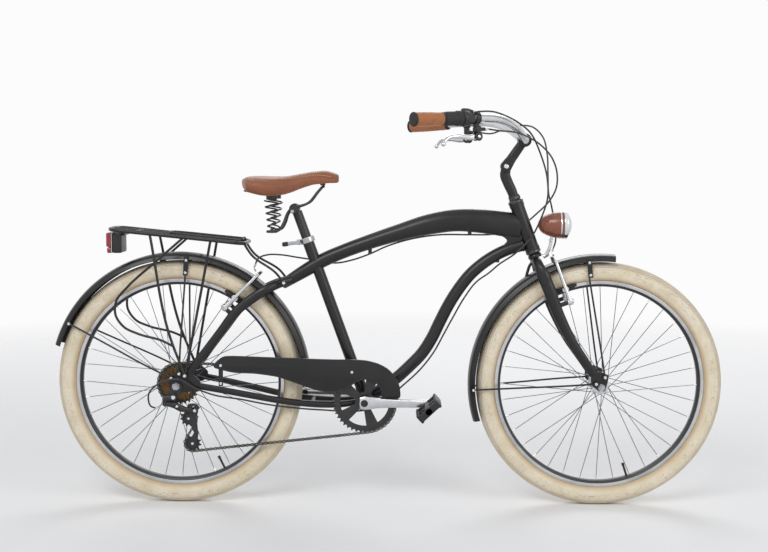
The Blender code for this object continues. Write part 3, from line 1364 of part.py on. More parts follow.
REAR_BRAKE_ROUTE = [
    (817.6, -183.4, 1016.7), (850, -160, 1013), (878, -130, 1012), (905, -95, 1008), (935, -60, 998),
    (970, -30, 978), (1002, -8, 945),
    (1018, 8, 905), (1018, 18, 865), (1000, 25, 828), (970, 28, 797), (935, 28, 767), (895, 26, 745),
    (840, 16, 738), (785, 5, 738), (700, 5, 737), (620, 5, 724), (560, 5, 705), (516, 5, 685),
    (470, 12, 668), (420, 22, 658), (370, 27, 665), (320, 28, 672), (270, 20, 680), (240, 6, 681),
    (215, -14, 672), (206, -28, 650),
]
SHIFT_ROUTE = [
    (780.2, -218.9, 1057.4), (794, -219, 1059), (826, -197, 1060), (862, -165, 1051), (900, -128, 1034),
    (935, -95, 1008), (963, -68, 958), (985, -50, 890),
    (988, -40, 840), (972, -36, 785), (948, -32, 735), (905, -28, 690), (862, -12, 658), (838, -5, 636),
    (805, -5, 612), (770, -5, 565), (742, -5, 515), (718, -5, 470), (690, -5, 418), (655, -5, 372),
    (605, -8, 325), (560, -14, 288), (515, -20, 263), (460, -28, 258), (400, -33, 262),
    (330, -41, 268), (250, -50, 279),
    (170, -60, 296), (100, -69, 309), (50, -84, 331), (10, -98, 356), (-40, -96, 345), (-72, -88, 310),
    (-66, -84, 280), (-46, -82, 274),
]
FRONT_BRAKE_ROUTE = [
    (817.6, 183.4, 1016.7), (852, 160, 1013), (884, 140, 1024), (925, 105, 1034), (960, 72, 1028),
    (984, 48, 1000), (994, 34, 955),
    (996, 26, 900), (998, 22, 850), (1010, 50, 815), (1020, 52, 760), (1022, 46, 718),
    (1014, 30, 700), (1010, 12, 697), (1008, -12, 694), (1006, -30, 690),
]


def nodes():
    """Make every piece and keep it under its name."""
    node("frame", make_frame(), "paint")
    upper, lower = make_headset_cups()
    node("headset_upper_cup", upper, "steel_black")
    node("headset_lower_cup", lower, "steel_black")
    node("bottom_bracket", make_bottom_bracket(), "steel_black")
    node("seat_clamp", make_seat_clamp(), "grey")
    node("seat_clamp_lever", make_seat_lever(), "grey")
    node("rear_axle", make_rear_axle(), "grey")
    node("rear_fender", make_rear_fender(), "paint")
    node("rear_rack", make_rear_rack(), "paint")
    node("rack_clip", make_rack_clip(), "paint")
    housing, lens = make_tail_light()
    node("tail_light_housing", housing, "plastic")
    node("tail_light_lens", lens, "red")
    node("chainguard", make_chainguard(), "paint")
    node("chain", make_chain(), "steel_black")
    node("rear_brake_cable", pipe(REAR_BRAKE_ROUTE, CABLE_R, 1), "plastic")
    node("derailleur_cable", pipe(SHIFT_ROUTE, CABLE_R, 1), "plastic")
    node("front_brake_cable", pipe(FRONT_BRAKE_ROUTE, CABLE_R, 1), "plastic")
    node("derailleur_bracket", make_derailleur_bracket(), "steel_black")
    node("derailleur_link", make_derailleur_link(), "steel_black")
    node("derailleur_knuckle", make_derailleur_knuckle(), "steel_black")
    node("derailleur_cage", make_derailleur_cage(), "steel_black")
    node("upper_pulley", make_pulley(GUIDE_PULLEY, 1), "plastic")
    node("lower_pulley", make_pulley(LOWER_PULLEY, 2), "plastic")
    node("chainring", make_chainring(), "steel_black")
    node("freewheel", make_freewheel(), "bronze")
    for side, word in ((-1, "right"), (1, "left")):
        node(word + "_crank", make_crank(side), "silver")
        node(word + "_pedal", make_pedal(side), "plastic")
        node("rear_brake_arm_" + word,
             make_brake_arm(REAR_BRAKE, REAR_BRAKE_AXIS, REAR_BRAKE_ARM, 128, side, 0), "silver")
        node("front_brake_arm_" + word,
             make_brake_arm(FRONT_BRAKE, FRONT_BRAKE_AXIS, FRONT_BRAKE_ARM, 122, side, FRONT_X), "silver")
        node("brake_bracket_" + word, make_brake_bracket(side), "plastic")
        node("brake_lever_" + word, make_brake_lever(side), "silver")
        node("saddle_spring_" + word, make_saddle_spring(side), "steel_black")
    node("rear_tyre", make_tyre(0), "cream")
    node("front_tyre", make_tyre(FRONT_X), "cream")
    node("rear_rim", make_rim(0), "silver")
    node("front_rim", make_rim(FRONT_X), "silver")
    node("rear_hub", make_rear_hub(), "grey")
    node("front_hub", make_front_hub(), "grey")
    node("front_axle", make_front_axle(), "grey")
    node("fork", make_fork(), "paint")
    node("front_fender", make_front_fender(), "paint")
    node("headlight_body", make_headlight(), "leather")
    node("headlight_lens", make_headlight_lens(), "glass")
    node("stem_quill", make_stem_quill(), "steel_black")
    node("stem_arm", make_stem_arm(), "steel_black")
    node("handlebar", make_handlebar(), "silver")
    node("right_grip", make_grip(-1, GRIP_LEN), "grip")
    node("left_grip", make_grip(1, LEFT_GRIP_LEN), "grip")
    node("shifter_grip", make_shifter_grip(), "plastic")
    node("shifter_body", make_shifter_body(), "plastic")
    node("seatpost", make_seatpost(), "steel_black")
    node("saddle_cover", make_saddle_cover(), "leather")
    node("saddle_rails", make_saddle_rails(), "steel_black")


PIVOTS = {
    "steering": (tuple(HEAD_LOW), ("fork", "front_fender", "front_axle", "headlight_body", "headlight_lens",
                                   "front_brake_cable", "stem_quill")),
    "stem_tilt": (tuple(STEM_PIVOT), ("stem_arm", "handlebar", "right_grip", "left_grip", "shifter_body",
                                      "brake_bracket_right", "brake_bracket_left")),
    "front_wheel_spin": ((FRONT_X, 0, AXLE_Z), ("front_tyre", "front_rim", "front_hub")),
    "rear_wheel_spin": ((0, 0, AXLE_Z), ("rear_tyre", "rear_rim", "rear_hub")),
    "freewheel_spin": ((0, 0, AXLE_Z), ("freewheel",)),
    "crank_spin": ((BB_X, 0, BB_Z), ("chainring", "right_crank", "left_crank")),
    "right_pedal_spin": ((BB_X + CRANK_LEN, 0, BB_Z), ("right_pedal",)),
    "left_pedal_spin": ((BB_X - CRANK_LEN, 0, BB_Z), ("left_pedal",)),
    "twist_shifter": (tuple(on_bar(GRIP_LEN, -1)), ("shifter_grip",)),
    "right_lever_pull": (tuple(lever_pivot(-1)), ("brake_lever_right",)),
    "left_lever_pull": (tuple(lever_pivot(1)), ("brake_lever_left",)),
    "front_right_arm": (tuple(FRONT_BRAKE), ("front_brake_arm_right",)),
    "front_left_arm": ((FRONT_BRAKE.x, -FRONT_BRAKE.y, FRONT_BRAKE.z), ("front_brake_arm_left",)),
    "rear_right_arm": (tuple(REAR_BRAKE), ("rear_brake_arm_right",)),
    "rear_left_arm": ((REAR_BRAKE.x, -REAR_BRAKE.y, REAR_BRAKE.z), ("rear_brake_arm_left",)),
    "derailleur_swing": (tuple(LINK_PIVOT), ("derailleur_link",)),
    "knuckle_swing": (tuple(KNUCKLE_PIVOT), ("derailleur_knuckle",)),
    "cage_tension": (tuple(CAGE_PIVOT), ("derailleur_cage",)),
    "upper_pulley_spin": ((GUIDE_PULLEY[0], LARGE_COG_Y, GUIDE_PULLEY[1]), ("upper_pulley",)),
    "lower_pulley_spin": ((LOWER_PULLEY[0], LARGE_COG_Y, LOWER_PULLEY[1]), ("lower_pulley",)),
    "seatpost_height": (tuple(seat_point(SEAT_TUBE_LEN)), ("seatpost", "saddle_cover", "saddle_rails",
                                                           "saddle_spring_right", "saddle_spring_left")),
    "seat_lever_release": (tuple(LEVER_CAM), ("seat_clamp_lever",)),
    "rack_clip_lift": ((CLIP_HINGE_X, 0, rack_height(CLIP_HINGE_X) + CLIP_LIFT), ("rack_clip",)),
}


def place_pivots():
    """Give every moving piece a parent empty on its joint's axis."""
    for name, (point, children) in PIVOTS.items():
        pivot = add(name + "_axis", None)
        pivot.location = world(point)
        pivot.empty_display_size = 0.02
        bpy.context.view_layer.update()
        for child in children:
            PARTS[child].parent = pivot
            PARTS[child].matrix_parent_inverse = pivot.matrix_world.inverted()


def sort_collections():
    """Move the pieces into a collection named for the bike."""
    home = bpy.data.collections.new("city_bike")
    bpy.context.scene.collection.children.link(home)
    for obj in list(bpy.context.scene.collection.objects):
        bpy.context.scene.collection.objects.unlink(obj)
        home.objects.link(obj)


def main():
    """Build the whole bike."""
    clear_scene()
    nodes()
    place_pivots()
    sort_collections()
    print("least gap between spring turns in mm: %.2f" % spring_self_gap())
    print("chain links: %d at a pitch of %.3f mm" % (LINKS, PITCH))
    total = sum(len(p.vertices) - 2 for obj in PARTS.values() for p in obj.data.polygons)
    print("nodes: %d, triangles: %d" % (len(PARTS), total))


main()
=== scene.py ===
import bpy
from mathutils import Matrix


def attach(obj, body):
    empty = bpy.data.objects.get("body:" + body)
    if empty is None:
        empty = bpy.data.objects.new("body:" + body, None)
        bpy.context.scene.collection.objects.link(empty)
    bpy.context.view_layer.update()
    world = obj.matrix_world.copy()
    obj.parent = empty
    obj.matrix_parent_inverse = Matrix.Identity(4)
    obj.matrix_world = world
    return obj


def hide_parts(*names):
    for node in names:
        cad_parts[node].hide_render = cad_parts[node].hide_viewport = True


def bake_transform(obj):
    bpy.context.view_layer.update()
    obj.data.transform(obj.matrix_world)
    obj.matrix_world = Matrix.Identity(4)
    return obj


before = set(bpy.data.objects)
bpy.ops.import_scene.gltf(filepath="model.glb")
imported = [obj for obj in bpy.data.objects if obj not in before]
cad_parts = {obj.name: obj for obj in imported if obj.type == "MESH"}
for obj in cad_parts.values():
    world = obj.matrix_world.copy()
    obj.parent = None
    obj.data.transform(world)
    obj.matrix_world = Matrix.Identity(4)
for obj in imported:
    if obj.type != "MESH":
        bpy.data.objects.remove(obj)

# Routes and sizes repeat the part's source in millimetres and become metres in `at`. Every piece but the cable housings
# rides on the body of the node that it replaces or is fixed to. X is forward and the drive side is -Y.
"""City bike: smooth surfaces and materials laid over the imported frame.

Routes and sizes repeat the part's source in millimetres and become metres in `at`. Every piece
rides on the body of the node that it replaces or is fixed to. X is forward and the drive side is -Y.
"""
import logging
import math
from dataclasses import dataclass, field
from enum import Enum
from typing import Iterable, Sequence

import bmesh
import bpy
import numpy as np
from mathutils import Matrix, Vector

LOG = logging.getLogger("city_bike")
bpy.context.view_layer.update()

# Sizes shared with the frame, in millimetres
WHEELBASE = 1139.0
TYRE_R = 333.0
TYRE_W = 54.0
AXLE_Z = TYRE_R
FENDER_R = 355.0
FENDER_HALF_W = 31.0
FENDER_DEPTH = 17.0
CENTRE_X = (WHEELBASE + TYRE_R - FENDER_R * math.cos(math.radians(17.0))) / 2
RIM_OUTER_R = 285.0
RIM_INNER_R = 267.0
RIM_W = 28.0
SPOKES = 36
REAR_SPACING = 135.0
FRONT_SPACING = 100.0
DROPOUT_T = 6.0
BB = np.array([504.0, 0.0, 290.0])
SEAT_ANGLE = math.radians(70.0)
HEAD_ANGLE = math.radians(69.7)
SEAT_DIR = np.array([-math.cos(SEAT_ANGLE), 0.0, math.sin(SEAT_ANGLE)])
STEER_DIR = np.array([-math.cos(HEAD_ANGLE), 0.0, math.sin(HEAD_ANGLE)])
SEAT_TUBE_LEN = 466.0
HEAD_LOW = np.array([955.0, 0.0, 698.0])
HEAD_LEN = 133.0
HEAD_R = 19.0
RING_Y = -50.0
LARGE_COG_Y = -34.0
COG_STEP_Y = 4.5
COG_TEETH = (28, 24, 22, 20, 18, 16, 14)
RING_TEETH = 42
PULLEY_TEETH = 11
CHAIN_LINKS = 126
CHAIN_PITCH = 12.677
GUIDE_PULLEY = (26.0, 238.0)
LOWER_PULLEY = (36.0, 169.0)
CRANK_LEN = 170.0
CRANK_Y = 72.0
PEDAL_TILT = math.radians(43.0)
BAR_R = 11.1
BAR_CLAMP = np.array([928.0, 0.0, 992.0])
BAR_END = np.array([625.0, -310.0, 1036.0])
BAR_ELBOW = np.array([800.0, -195.0, 1044.0])
BAR_DIR = (BAR_ELBOW - BAR_END) / np.linalg.norm(BAR_ELBOW - BAR_END)
GRIP_LEN = 92.0
LEFT_GRIP_LEN = 132.0
TWIST_LEN = 53.0
SHIFTER_LEN = 38.0
LEVER_AT = GRIP_LEN + TWIST_LEN + SHIFTER_LEN + 9
STEM_PIVOT = np.array([880.0, 0.0, 922.0])
SADDLE_CLAMP = np.array([313.0, 0.0, 806.5])
SPRING_X, SPRING_Y, SPRING_LOW, SPRING_HIGH, SPRING_TURNS = 256.0, 50.0, 753.0, 829.0, 4.5
UP = np.array([0.0, 0.0, 1.0])
LEFT = np.array([0.0, 1.0, 0.0])
FORWARD = np.array([1.0, 0.0, 0.0])


def at(points: Sequence) -> np.ndarray:
    """Points in the part's millimetres as metres in the frame."""
    return (np.asarray(points, float) - np.array([CENTRE_X, 0.0, 0.0])) * 0.001


def unit(vector: np.ndarray) -> np.ndarray:
    """A vector of length one."""
    return vector / np.linalg.norm(vector)


def linear(hex_colour: str) -> tuple[float, float, float, float]:
    """An sRGB hex colour as linear RGBA."""
    channels = [int(hex_colour[i:i + 2], 16) / 255 for i in (0, 2, 4)]
    return (*[c / 12.92 if c <= 0.04045 else ((c + 0.055) / 1.055) ** 2.4 for c in channels], 1.0)


# Shapes

@dataclass
class Shape:
    """A mesh as arrays: corners in metres, faces, and one UV pair for each face corner."""

    verts: np.ndarray
    faces: list = field(default_factory=list)
    uvs: list = field(default_factory=list)

    def __add__(self, other: "Shape") -> "Shape":
        shift = len(self.verts)
        return Shape(np.vstack([self.verts, other.verts]),
                     self.faces + [tuple(i + shift for i in f) for f in other.faces],
                     self.uvs + other.uvs)

    def moved(self, matrix: Matrix) -> "Shape":
        """The shape carried by a matrix in metres."""
        turn = np.array(matrix)
        return Shape(self.verts @ turn[:3, :3].T + turn[:3, 3], self.faces, self.uvs)

    def mirrored(self) -> "Shape":
        """The shape on the other side of the bike."""
        return Shape(self.verts * np.array([1.0, -1.0, 1.0]),
                     [tuple(reversed(f)) for f in self.faces], list(self.uvs))


def together(shapes: Iterable[Shape]) -> Shape:
    """Several shapes as one."""
    verts, faces, uvs, shift = [], [], [], 0
    for shape in shapes:
        verts.append(shape.verts)
        faces += [tuple(i + shift for i in f) for f in shape.faces] if shift else shape.faces
        uvs += shape.uvs
        shift += len(shape.verts)
    return Shape(np.vstack(verts), faces, uvs)


def grid(rings: np.ndarray, wrap_u: bool = True, wrap_v: bool = False, caps: bool = True) -> Shape:
    """A skin over rings of points in metres, with UVs in metres along and round it."""
    n, m = rings.shape[:2]
    rows = np.arange(n if wrap_v else n - 1)
    cols = np.arange(m if wrap_u else m - 1)
    a = rows[:, None] * m + cols
    b = rows[:, None] * m + (cols + 1) % m
    c = ((rows + 1) % n)[:, None] * m + (cols + 1) % m
    d = ((rows + 1) % n)[:, None] * m + cols
    faces = [tuple(int(i) for i in f) for f in np.stack([a, b, c, d], -1).reshape(-1, 4)]
    middle = rings.mean(axis=1)
    along = np.concatenate([[0], np.cumsum(np.linalg.norm(np.diff(middle, axis=0), axis=1))])
    if along[-1] < 1e-9:
        along = np.concatenate([[0], np.cumsum(np.linalg.norm(np.diff(rings[:, 0], axis=0), axis=1))])
    if wrap_v:
        along = np.append(along, along[-1] + np.linalg.norm(middle[0] - middle[-1]))
    span = np.linalg.norm(np.roll(rings, -1, axis=1) - rings, axis=2).mean(axis=0)
    across = np.concatenate([[0], np.cumsum(span)])
    uvs = []
    for i in rows:
        for j in cols:
            uvs += [(across[j], along[i]), (across[j + 1], along[i]),
                    (across[j + 1], along[i + 1]), (across[j], along[i + 1])]
    if caps and wrap_u and not wrap_v:
        for row in (0, n - 1):
            face = [row * m + j for j in range(m)]
            faces.append(tuple(reversed(face)) if row == 0 else tuple(face))
            uvs += [(0.0, 0.0)] * m
    return Shape(rings.reshape(-1, 3), faces, uvs)


def smooth_path(points: Sequence, step: float = 4.0) -> np.ndarray:
    """A cubic line through points in millimetres, at an even step; extra columns are carried along."""
    p = np.asarray(points, float)
    chords = np.linalg.norm(np.diff(p[:, :3], axis=0), axis=1)
    t = np.concatenate([[0], np.cumsum(chords)])
    slope = np.gradient(p, t, axis=0) if len(p) > 2 else np.repeat((p[1:] - p[:1]) / t[-1], 2, axis=0)
    s = np.linspace(0, t[-1], max(2, int(t[-1] / step)) + 1)
    i = np.clip(np.searchsorted(t, s, side="right") - 1, 0, len(chords) - 1)
    h = (t[i + 1] - t[i])[:, None]
    u = ((s - t[i]))[:, None] / h
    return ((1 + 2 * u) * (1 - u) ** 2 * p[i] + u * (1 - u) ** 2 * h * slope[i]
            + u ** 2 * (3 - 2 * u) * p[i + 1] + u ** 2 * (u - 1) * h * slope[i + 1])


def carried_frames(path: np.ndarray, closed: bool = False) -> tuple[np.ndarray, np.ndarray]:
    """Two directions across a line at each of its points, carried along without twist."""
    ahead = np.gradient(path, axis=0)
    if closed:
        ahead = np.roll(path, -1, axis=0) - np.roll(path, 1, axis=0)
    ahead /= np.linalg.norm(ahead, axis=1)[:, None]
    start = np.cross(ahead[0], UP if abs(ahead[0][2]) < 0.9 else FORWARD)
    side = [unit(start)]
    for direction in ahead[1:]:
        carried = side[-1] - direction * np.dot(side[-1], direction)
        side.append(unit(carried))
    side = np.array(side)
    return side, np.cross(ahead, side)


def tube(path: np.ndarray, radius, sides: int = 20, closed: bool = False, chamfer: float = 0.0) -> Shape:
    """A round tube along a line in millimetres; radius is one number or one for each point."""
    path = np.asarray(path, float)[:, :3]
    radii = np.broadcast_to(np.asarray(radius, float), (len(path),)).copy()
    side, rise = carried_frames(path, closed)
    if chamfer and not closed:
        first, last = unit(path[0] - path[1]), unit(path[-1] - path[-2])
        path = np.vstack([path[0], path[0] - first * chamfer, path[1:-1], path[-1] - last * chamfer,
                          path[-1]])
        radii = np.concatenate([[radii[0] - chamfer], radii[:1], radii[1:-1], radii[-1:],
                                [radii[-1] - chamfer]])
        side = np.vstack([side[:1], side, side[-1:]])
        rise = np.vstack([rise[:1], rise, rise[-1:]])
    turn = 2 * math.pi * np.arange(sides) / sides
    rings = (path[:, None] + radii[:, None, None]
             * (side[:, None] * np.cos(turn)[None, :, None] + rise[:, None] * np.sin(turn)[None, :, None]))
    return grid(at(rings), wrap_v=closed)


def rod(start: Sequence, end: Sequence, radius: float, end_radius: float | None = None,
        sides: int = 32, chamfer: float = 0.6) -> Shape:
    """A straight round bar or cone with eased ends."""
    ends = np.array([start, end], float)
    far = radius if end_radius is None else end_radius
    return tube(ends, [radius, far], sides, chamfer=min(chamfer, radius * 0.4, far * 0.4))


def cross_rod(x: float, z: float, y0: float, y1: float, radius: float, sides: int = 32,
              chamfer: float = 0.6) -> Shape:
    """A round bar across the bike."""
    return rod((x, y0, z), (x, y1, z), radius, sides=sides, chamfer=chamfer)


def loft(stations: Sequence, step: float = 6.0, sides: int = 28, power: float = 2.0,
         smooth: bool = True) -> Shape:
    """A tube through oval sections (x, y, z, half height, half width); power above 2 is squarer."""
    p = smooth_path(stations, step) if smooth else np.asarray(stations, float)
    centre = p[:, :3]
    ahead = np.gradient(centre, axis=0)
    ahead /= np.linalg.norm(ahead, axis=1)[:, None]
    side = np.cross(ahead, UP)
    length = np.linalg.norm(side, axis=1)[:, None]
    side = np.where(length > 0.1, side / np.maximum(length, 1e-6), LEFT)
    for i in range(1, len(side)):
        if np.dot(side[i], side[i - 1]) < 0:
            side[i] *= -1
    rise = np.cross(side, ahead)
    turn = 2 * math.pi * np.arange(sides) / sides
    ca, sa = np.cos(turn), np.sin(turn)
    ca = np.sign(ca) * np.abs(ca) ** (2 / power)
    sa = np.sign(sa) * np.abs(sa) ** (2 / power)
    rings = (centre[:, None] + rise[:, None] * (p[:, 3][:, None] * ca)[:, :, None]
             + side[:, None] * (p[:, 4][:, None] * sa)[:, :, None])
    first, last = rings[0].mean(axis=0), rings[-1].mean(axis=0)
    head = first + (rings[0] - first) * 0.7 - ahead[0] * p[0, 4] * 0.25
    tail = last + (rings[-1] - last) * 0.7 + ahead[-1] * p[-1, 4] * 0.25
    return grid(at(np.concatenate([head[None], rings, tail[None]])))


def eased(profile: Sequence, radius: float, closed: bool = False) -> list:
    """A profile whose corners are cut round by up to a radius."""
    pts = [np.array(p, float) for p in profile]
    out = []
    for i, p in enumerate(pts):
        if not closed and i in (0, len(pts) - 1):
            out.append(tuple(p))
            continue
        a, b = pts[i - 1], pts[(i + 1) % len(pts)]
        la, lb = np.linalg.norm(a - p), np.linalg.norm(b - p)
        r = min(radius, la * 0.4, lb * 0.4)
        if r < 1e-3:
            out.append(tuple(p))
            continue
        s, e = p + (a - p) / la * r, p + (b - p) / lb * r
        for share in (0.0, 0.33, 0.67, 1.0):
            out.append(tuple((1 - share) ** 2 * s + 2 * share * (1 - share) * p + share ** 2 * e))
    return out


def turned(profile: Sequence, centre: Sequence, axis: np.ndarray = LEFT, steps: int = 64,
           ease: float = 0.0, ring: bool = False) -> Shape:
    """A turned shape; profile points are (radius, distance along the axis)."""
    profile = eased(profile, ease, ring) if ease else list(profile)
    if ring:
        profile = profile + [profile[0]]
    axis = unit(np.asarray(axis, float))
    side = unit(np.cross(axis, UP if abs(axis[2]) < 0.9 else FORWARD))
    rise = np.cross(axis, side)
    turn = 2 * math.pi * np.arange(steps) / steps
    spoke = side[None] * np.cos(turn)[:, None] + rise[None] * np.sin(turn)[:, None]
    p = np.array(profile, float)
    rings = (np.asarray(centre, float) + axis * p[:, 1][:, None, None]
             + spoke[None] * np.maximum(p[:, 0], 0.002)[:, None, None])
    return grid(at(rings), caps=not ring)


def flat_plate(outline: Sequence, y0: float, y1: float, holes: Sequence = (), ease: float = 0.8,
               rounding: float = 3.0) -> Shape:
    """A plate in the bike's plane with eased edges; outline and holes are lists of (x, z)."""
    curve = bpy.data.curves.new("plate", "CURVE")
    curve.dimensions = "2D"
    curve.fill_mode = "BOTH"
    half = abs(y1 - y0) / 2
    ease = min(ease, half * 0.9)
    curve.extrude = (half - ease) * 0.001
    curve.bevel_depth = ease * 0.001
    curve.bevel_resolution = 2
    curve.offset = -ease * 0.001
    for loop in (outline, *holes):
        loop = eased(loop, rounding, closed=True) if rounding else loop
        spline = curve.splines.new("POLY")
        spline.use_cyclic_u = True
        spline.points.add(len(loop) - 1)
        for index, (x, z) in enumerate(loop):
            spline.points[index].co = ((x - CENTRE_X) * 0.001, z * 0.001, 0.0, 1.0)
    obj = bpy.data.objects.new("plate", curve)
    bpy.context.scene.collection.objects.link(obj)
    bpy.context.view_layer.update()
    mesh = bpy.data.meshes.new_from_object(obj.evaluated_get(bpy.context.evaluated_depsgraph_get()))
    verts = np.array([v.co for v in mesh.vertices])
    faces = [tuple(p.vertices) for p in mesh.polygons]
    bpy.data.objects.remove(obj, do_unlink=True)
    bpy.data.curves.remove(curve)
    bpy.data.meshes.remove(mesh)
    turned_up = np.column_stack([verts[:, 0], -verts[:, 2] + (y0 + y1) / 2 * 0.001, verts[:, 1]])
    uvs = [(float(verts[i][0]), float(verts[i][1])) for f in faces for i in f]
    return Shape(turned_up, faces, uvs)


def box(low: Sequence, high: Sequence, rounding: float = 2.0, segments: int = 3) -> Shape:
    """A block with rounded edges between two corners."""
    low, high = at(low), at(high)
    work = bmesh.new()
    bmesh.ops.create_cube(work, size=1.0)
    for vert in work.verts:
        vert.co = Vector([low[i] + (vert.co[i] + 0.5) * (high[i] - low[i]) for i in range(3)])
    bmesh.ops.bevel(work, geom=work.edges, offset=rounding * 0.001, segments=segments, profile=0.5,
                    affect="EDGES")
    shape = Shape(np.array([v.co for v in work.verts]), [tuple(v.index for v in f.verts) for f in work.faces])
    shape.uvs = [(float(shape.verts[i][0]), float(shape.verts[i][2])) for f in shape.faces for i in f]
    work.free()
    return shape


def ball(centre: Sequence, radius: float) -> Shape:
    """A ball, turned from a half circle."""
    bend = [(radius * math.sin(a), -radius * math.cos(a)) for a in np.linspace(0, math.pi, 17)]
    return turned(bend, centre, UP, 32)


def bolt_head(centre: Sequence, axis: Sequence, radius: float = 4.0, height: float = 3.0) -> Shape:
    """A domed screw head with a socket."""
    profile = [(0, height * 0.35), (radius * 0.46, height * 0.35), (radius * 0.5, height),
               (radius * 0.75, height * 0.92), (radius, height * 0.45), (radius, 0), (0, 0)]
    return turned(profile, centre, np.asarray(axis, float), 24, ease=0.25)


def hex_nut(centre: Sequence, axis: Sequence, radius: float = 6.0, height: float = 5.0) -> Shape:
    """A six-sided nut with eased corners."""
    axis = unit(np.asarray(axis, float))
    centre = np.asarray(centre, float)
    return tube([centre, centre + axis * height], radius, 6, chamfer=0.7)


def ring_band(centre: Sequence, axis: Sequence, radius: float, thick: float, width: float) -> Shape:
    """A short collar with rounded edges."""
    profile = [(radius - 1.0, -width / 2), (radius + thick, -width / 2), (radius + thick, width / 2),
               (radius - 1.0, width / 2)]
    return turned(profile, centre, np.asarray(axis, float), 40, ease=thick * 0.5, ring=True)


def stitches(path: np.ndarray, length: float = 4.0, gap: float = 2.2, radius: float = 0.45,
             dip: float = 0.5) -> Shape:
    """A row of thread stitches along a line in millimetres, each sunk at its ends."""
    steps = np.concatenate([[0], np.cumsum(np.linalg.norm(np.diff(path[:, :3], axis=0), axis=1))])
    made, s = [], 0.0
    while s + length < steps[-1]:
        share = np.linspace(s, s + length, 5)
        points = np.column_stack([np.interp(share, steps, path[:, k]) for k in range(3)])
        made.append(tube(points, radius * np.array([0.4, 1.0, 1.1, 1.0, 0.4]), 8))
        s += length + gap
    return together(made)


# Materials

class Look(Enum):
    """Each kind of surface: its finish slot in the CAD, and its number in that slot."""

    PAINT = ("paint", 1)
    GLOSS_BLACK = ("steel_black", 1)
    BLACK_STEEL = ("steel_black", 2)
    SILVER = ("silver", 1)
    RIM_SIDE = ("silver", 2)
    CHROME = ("silver", 3)
    ZINC = ("grey", 1)
    SPOKE = ("grey", 2)
    CREAM = ("cream", 1)
    LEATHER = ("leather", 1)
    GRIP = ("grip", 1)
    THREAD = ("grip", 2)
    SHELL_BROWN = ("leather", 2)
    RUBBER = ("plastic", 1)
    PLASTIC = ("plastic", 2)
    HOUSING = ("plastic", 3)
    CHAIN = ("steel_black", 3)
    BRONZE = ("bronze", 1)
    RED = ("red", 1)
    GREY_LENS = ("grey", 3)
    GLASS = ("glass", 1)

    @property
    def slot(self) -> str:
        return self.value[0]


class NodeBook:
    """A material's node tree with short calls for its common nodes."""

    def __init__(self, name: str) -> None:
        self.material = bpy.data.materials.new(name)
        self.material.use_nodes = True
        self.tree = self.material.node_tree
        self.shader = self.tree.nodes["Principled BSDF"]

    def node(self, kind: str, **settings):
        made = self.tree.nodes.new(kind)
        for key, value in settings.items():
            if key.startswith("in_"):
                made.inputs[key[3:].replace("_", " ")].default_value = value
            else:
                setattr(made, key, value)
        return made

    def link(self, source, target) -> None:
        self.tree.links.new(source, target)

    def coords(self, kind: str = "Object", stretch: tuple = (1.0, 1.0, 1.0)):
        """Object or UV coordinates, stretched."""
        place = self.node("ShaderNodeTexCoord")
        scale = self.node("ShaderNodeMapping")
        scale.inputs["Scale"].default_value = stretch
        self.link(place.outputs[kind], scale.inputs["Vector"])
        return scale.outputs["Vector"]

    def noise(self, vector, scale: float, detail: float = 3.0, rough: float = 0.55):
        made = self.node("ShaderNodeTexNoise", in_Scale=scale, in_Detail=detail, in_Roughness=rough)
        self.link(vector, made.inputs["Vector"])
        return made.outputs["Fac"]

    def cells(self, vector, scale: float, feature: str = "DISTANCE_TO_EDGE"):
        made = self.node("ShaderNodeTexVoronoi", feature=feature, in_Scale=scale)
        self.link(vector, made.inputs["Vector"])
        return made.outputs["Distance"]

    def wave(self, vector, scale: float, direction: str = "X", distortion: float = 0.0):
        made = self.node("ShaderNodeTexWave", bands_direction=direction, in_Scale=scale,
                         in_Distortion=distortion)
        self.link(vector, made.inputs["Vector"])
        return made.outputs["Fac"]

    def span(self, value, low: float, high: float, to_low: float, to_high: float):
        """A value mapped from one range to another, and held inside it."""
        made = self.node("ShaderNodeMapRange", clamp=True)
        for index, number in enumerate((low, high, to_low, to_high), 1):
            made.inputs[index].default_value = number
        self.link(value, made.inputs[0])
        return made.outputs[0]

    def blend(self, value, first: str, second: str):
        """Two colours mixed by a value."""
        made = self.node("ShaderNodeMix", data_type="RGBA")
        made.inputs[6].default_value = linear(first)
        made.inputs[7].default_value = linear(second)
        self.link(value, made.inputs[0])
        return made.outputs[2]

    def over(self, value, below, second: str):
        """A colour laid over another node's colour by a value."""
        made = self.node("ShaderNodeMix", data_type="RGBA")
        made.inputs[7].default_value = linear(second)
        self.link(below, made.inputs[6])
        self.link(value, made.inputs[0])
        return made.outputs[2]

    def sum(self, first, second, operation: str = "ADD"):
        made = self.node("ShaderNodeMath", operation=operation)
        self.link(first, made.inputs[0])
        self.link(second, made.inputs[1])
        return made.outputs[0]

    def bump(self, height, depth_mm: float, strength: float = 1.0, under=None):
        made = self.node("ShaderNodeBump", in_Strength=strength, in_Distance=depth_mm * 0.001)
        self.link(height, made.inputs["Height"])
        if under is not None:
            self.link(under, made.inputs["Normal"])
        return made.outputs["Normal"]

    def set(self, **values) -> None:
        """Constant values on the shader's own sockets."""
        for key, value in values.items():
            self.shader.inputs[key.replace("_", " ")].default_value = value

    def colour(self, output) -> None:
        self.link(output, self.shader.inputs["Base Color"])

    def roughness(self, output) -> None:
        self.link(output, self.shader.inputs["Roughness"])

    def normal(self, output) -> None:
        self.link(output, self.shader.inputs["Normal"])


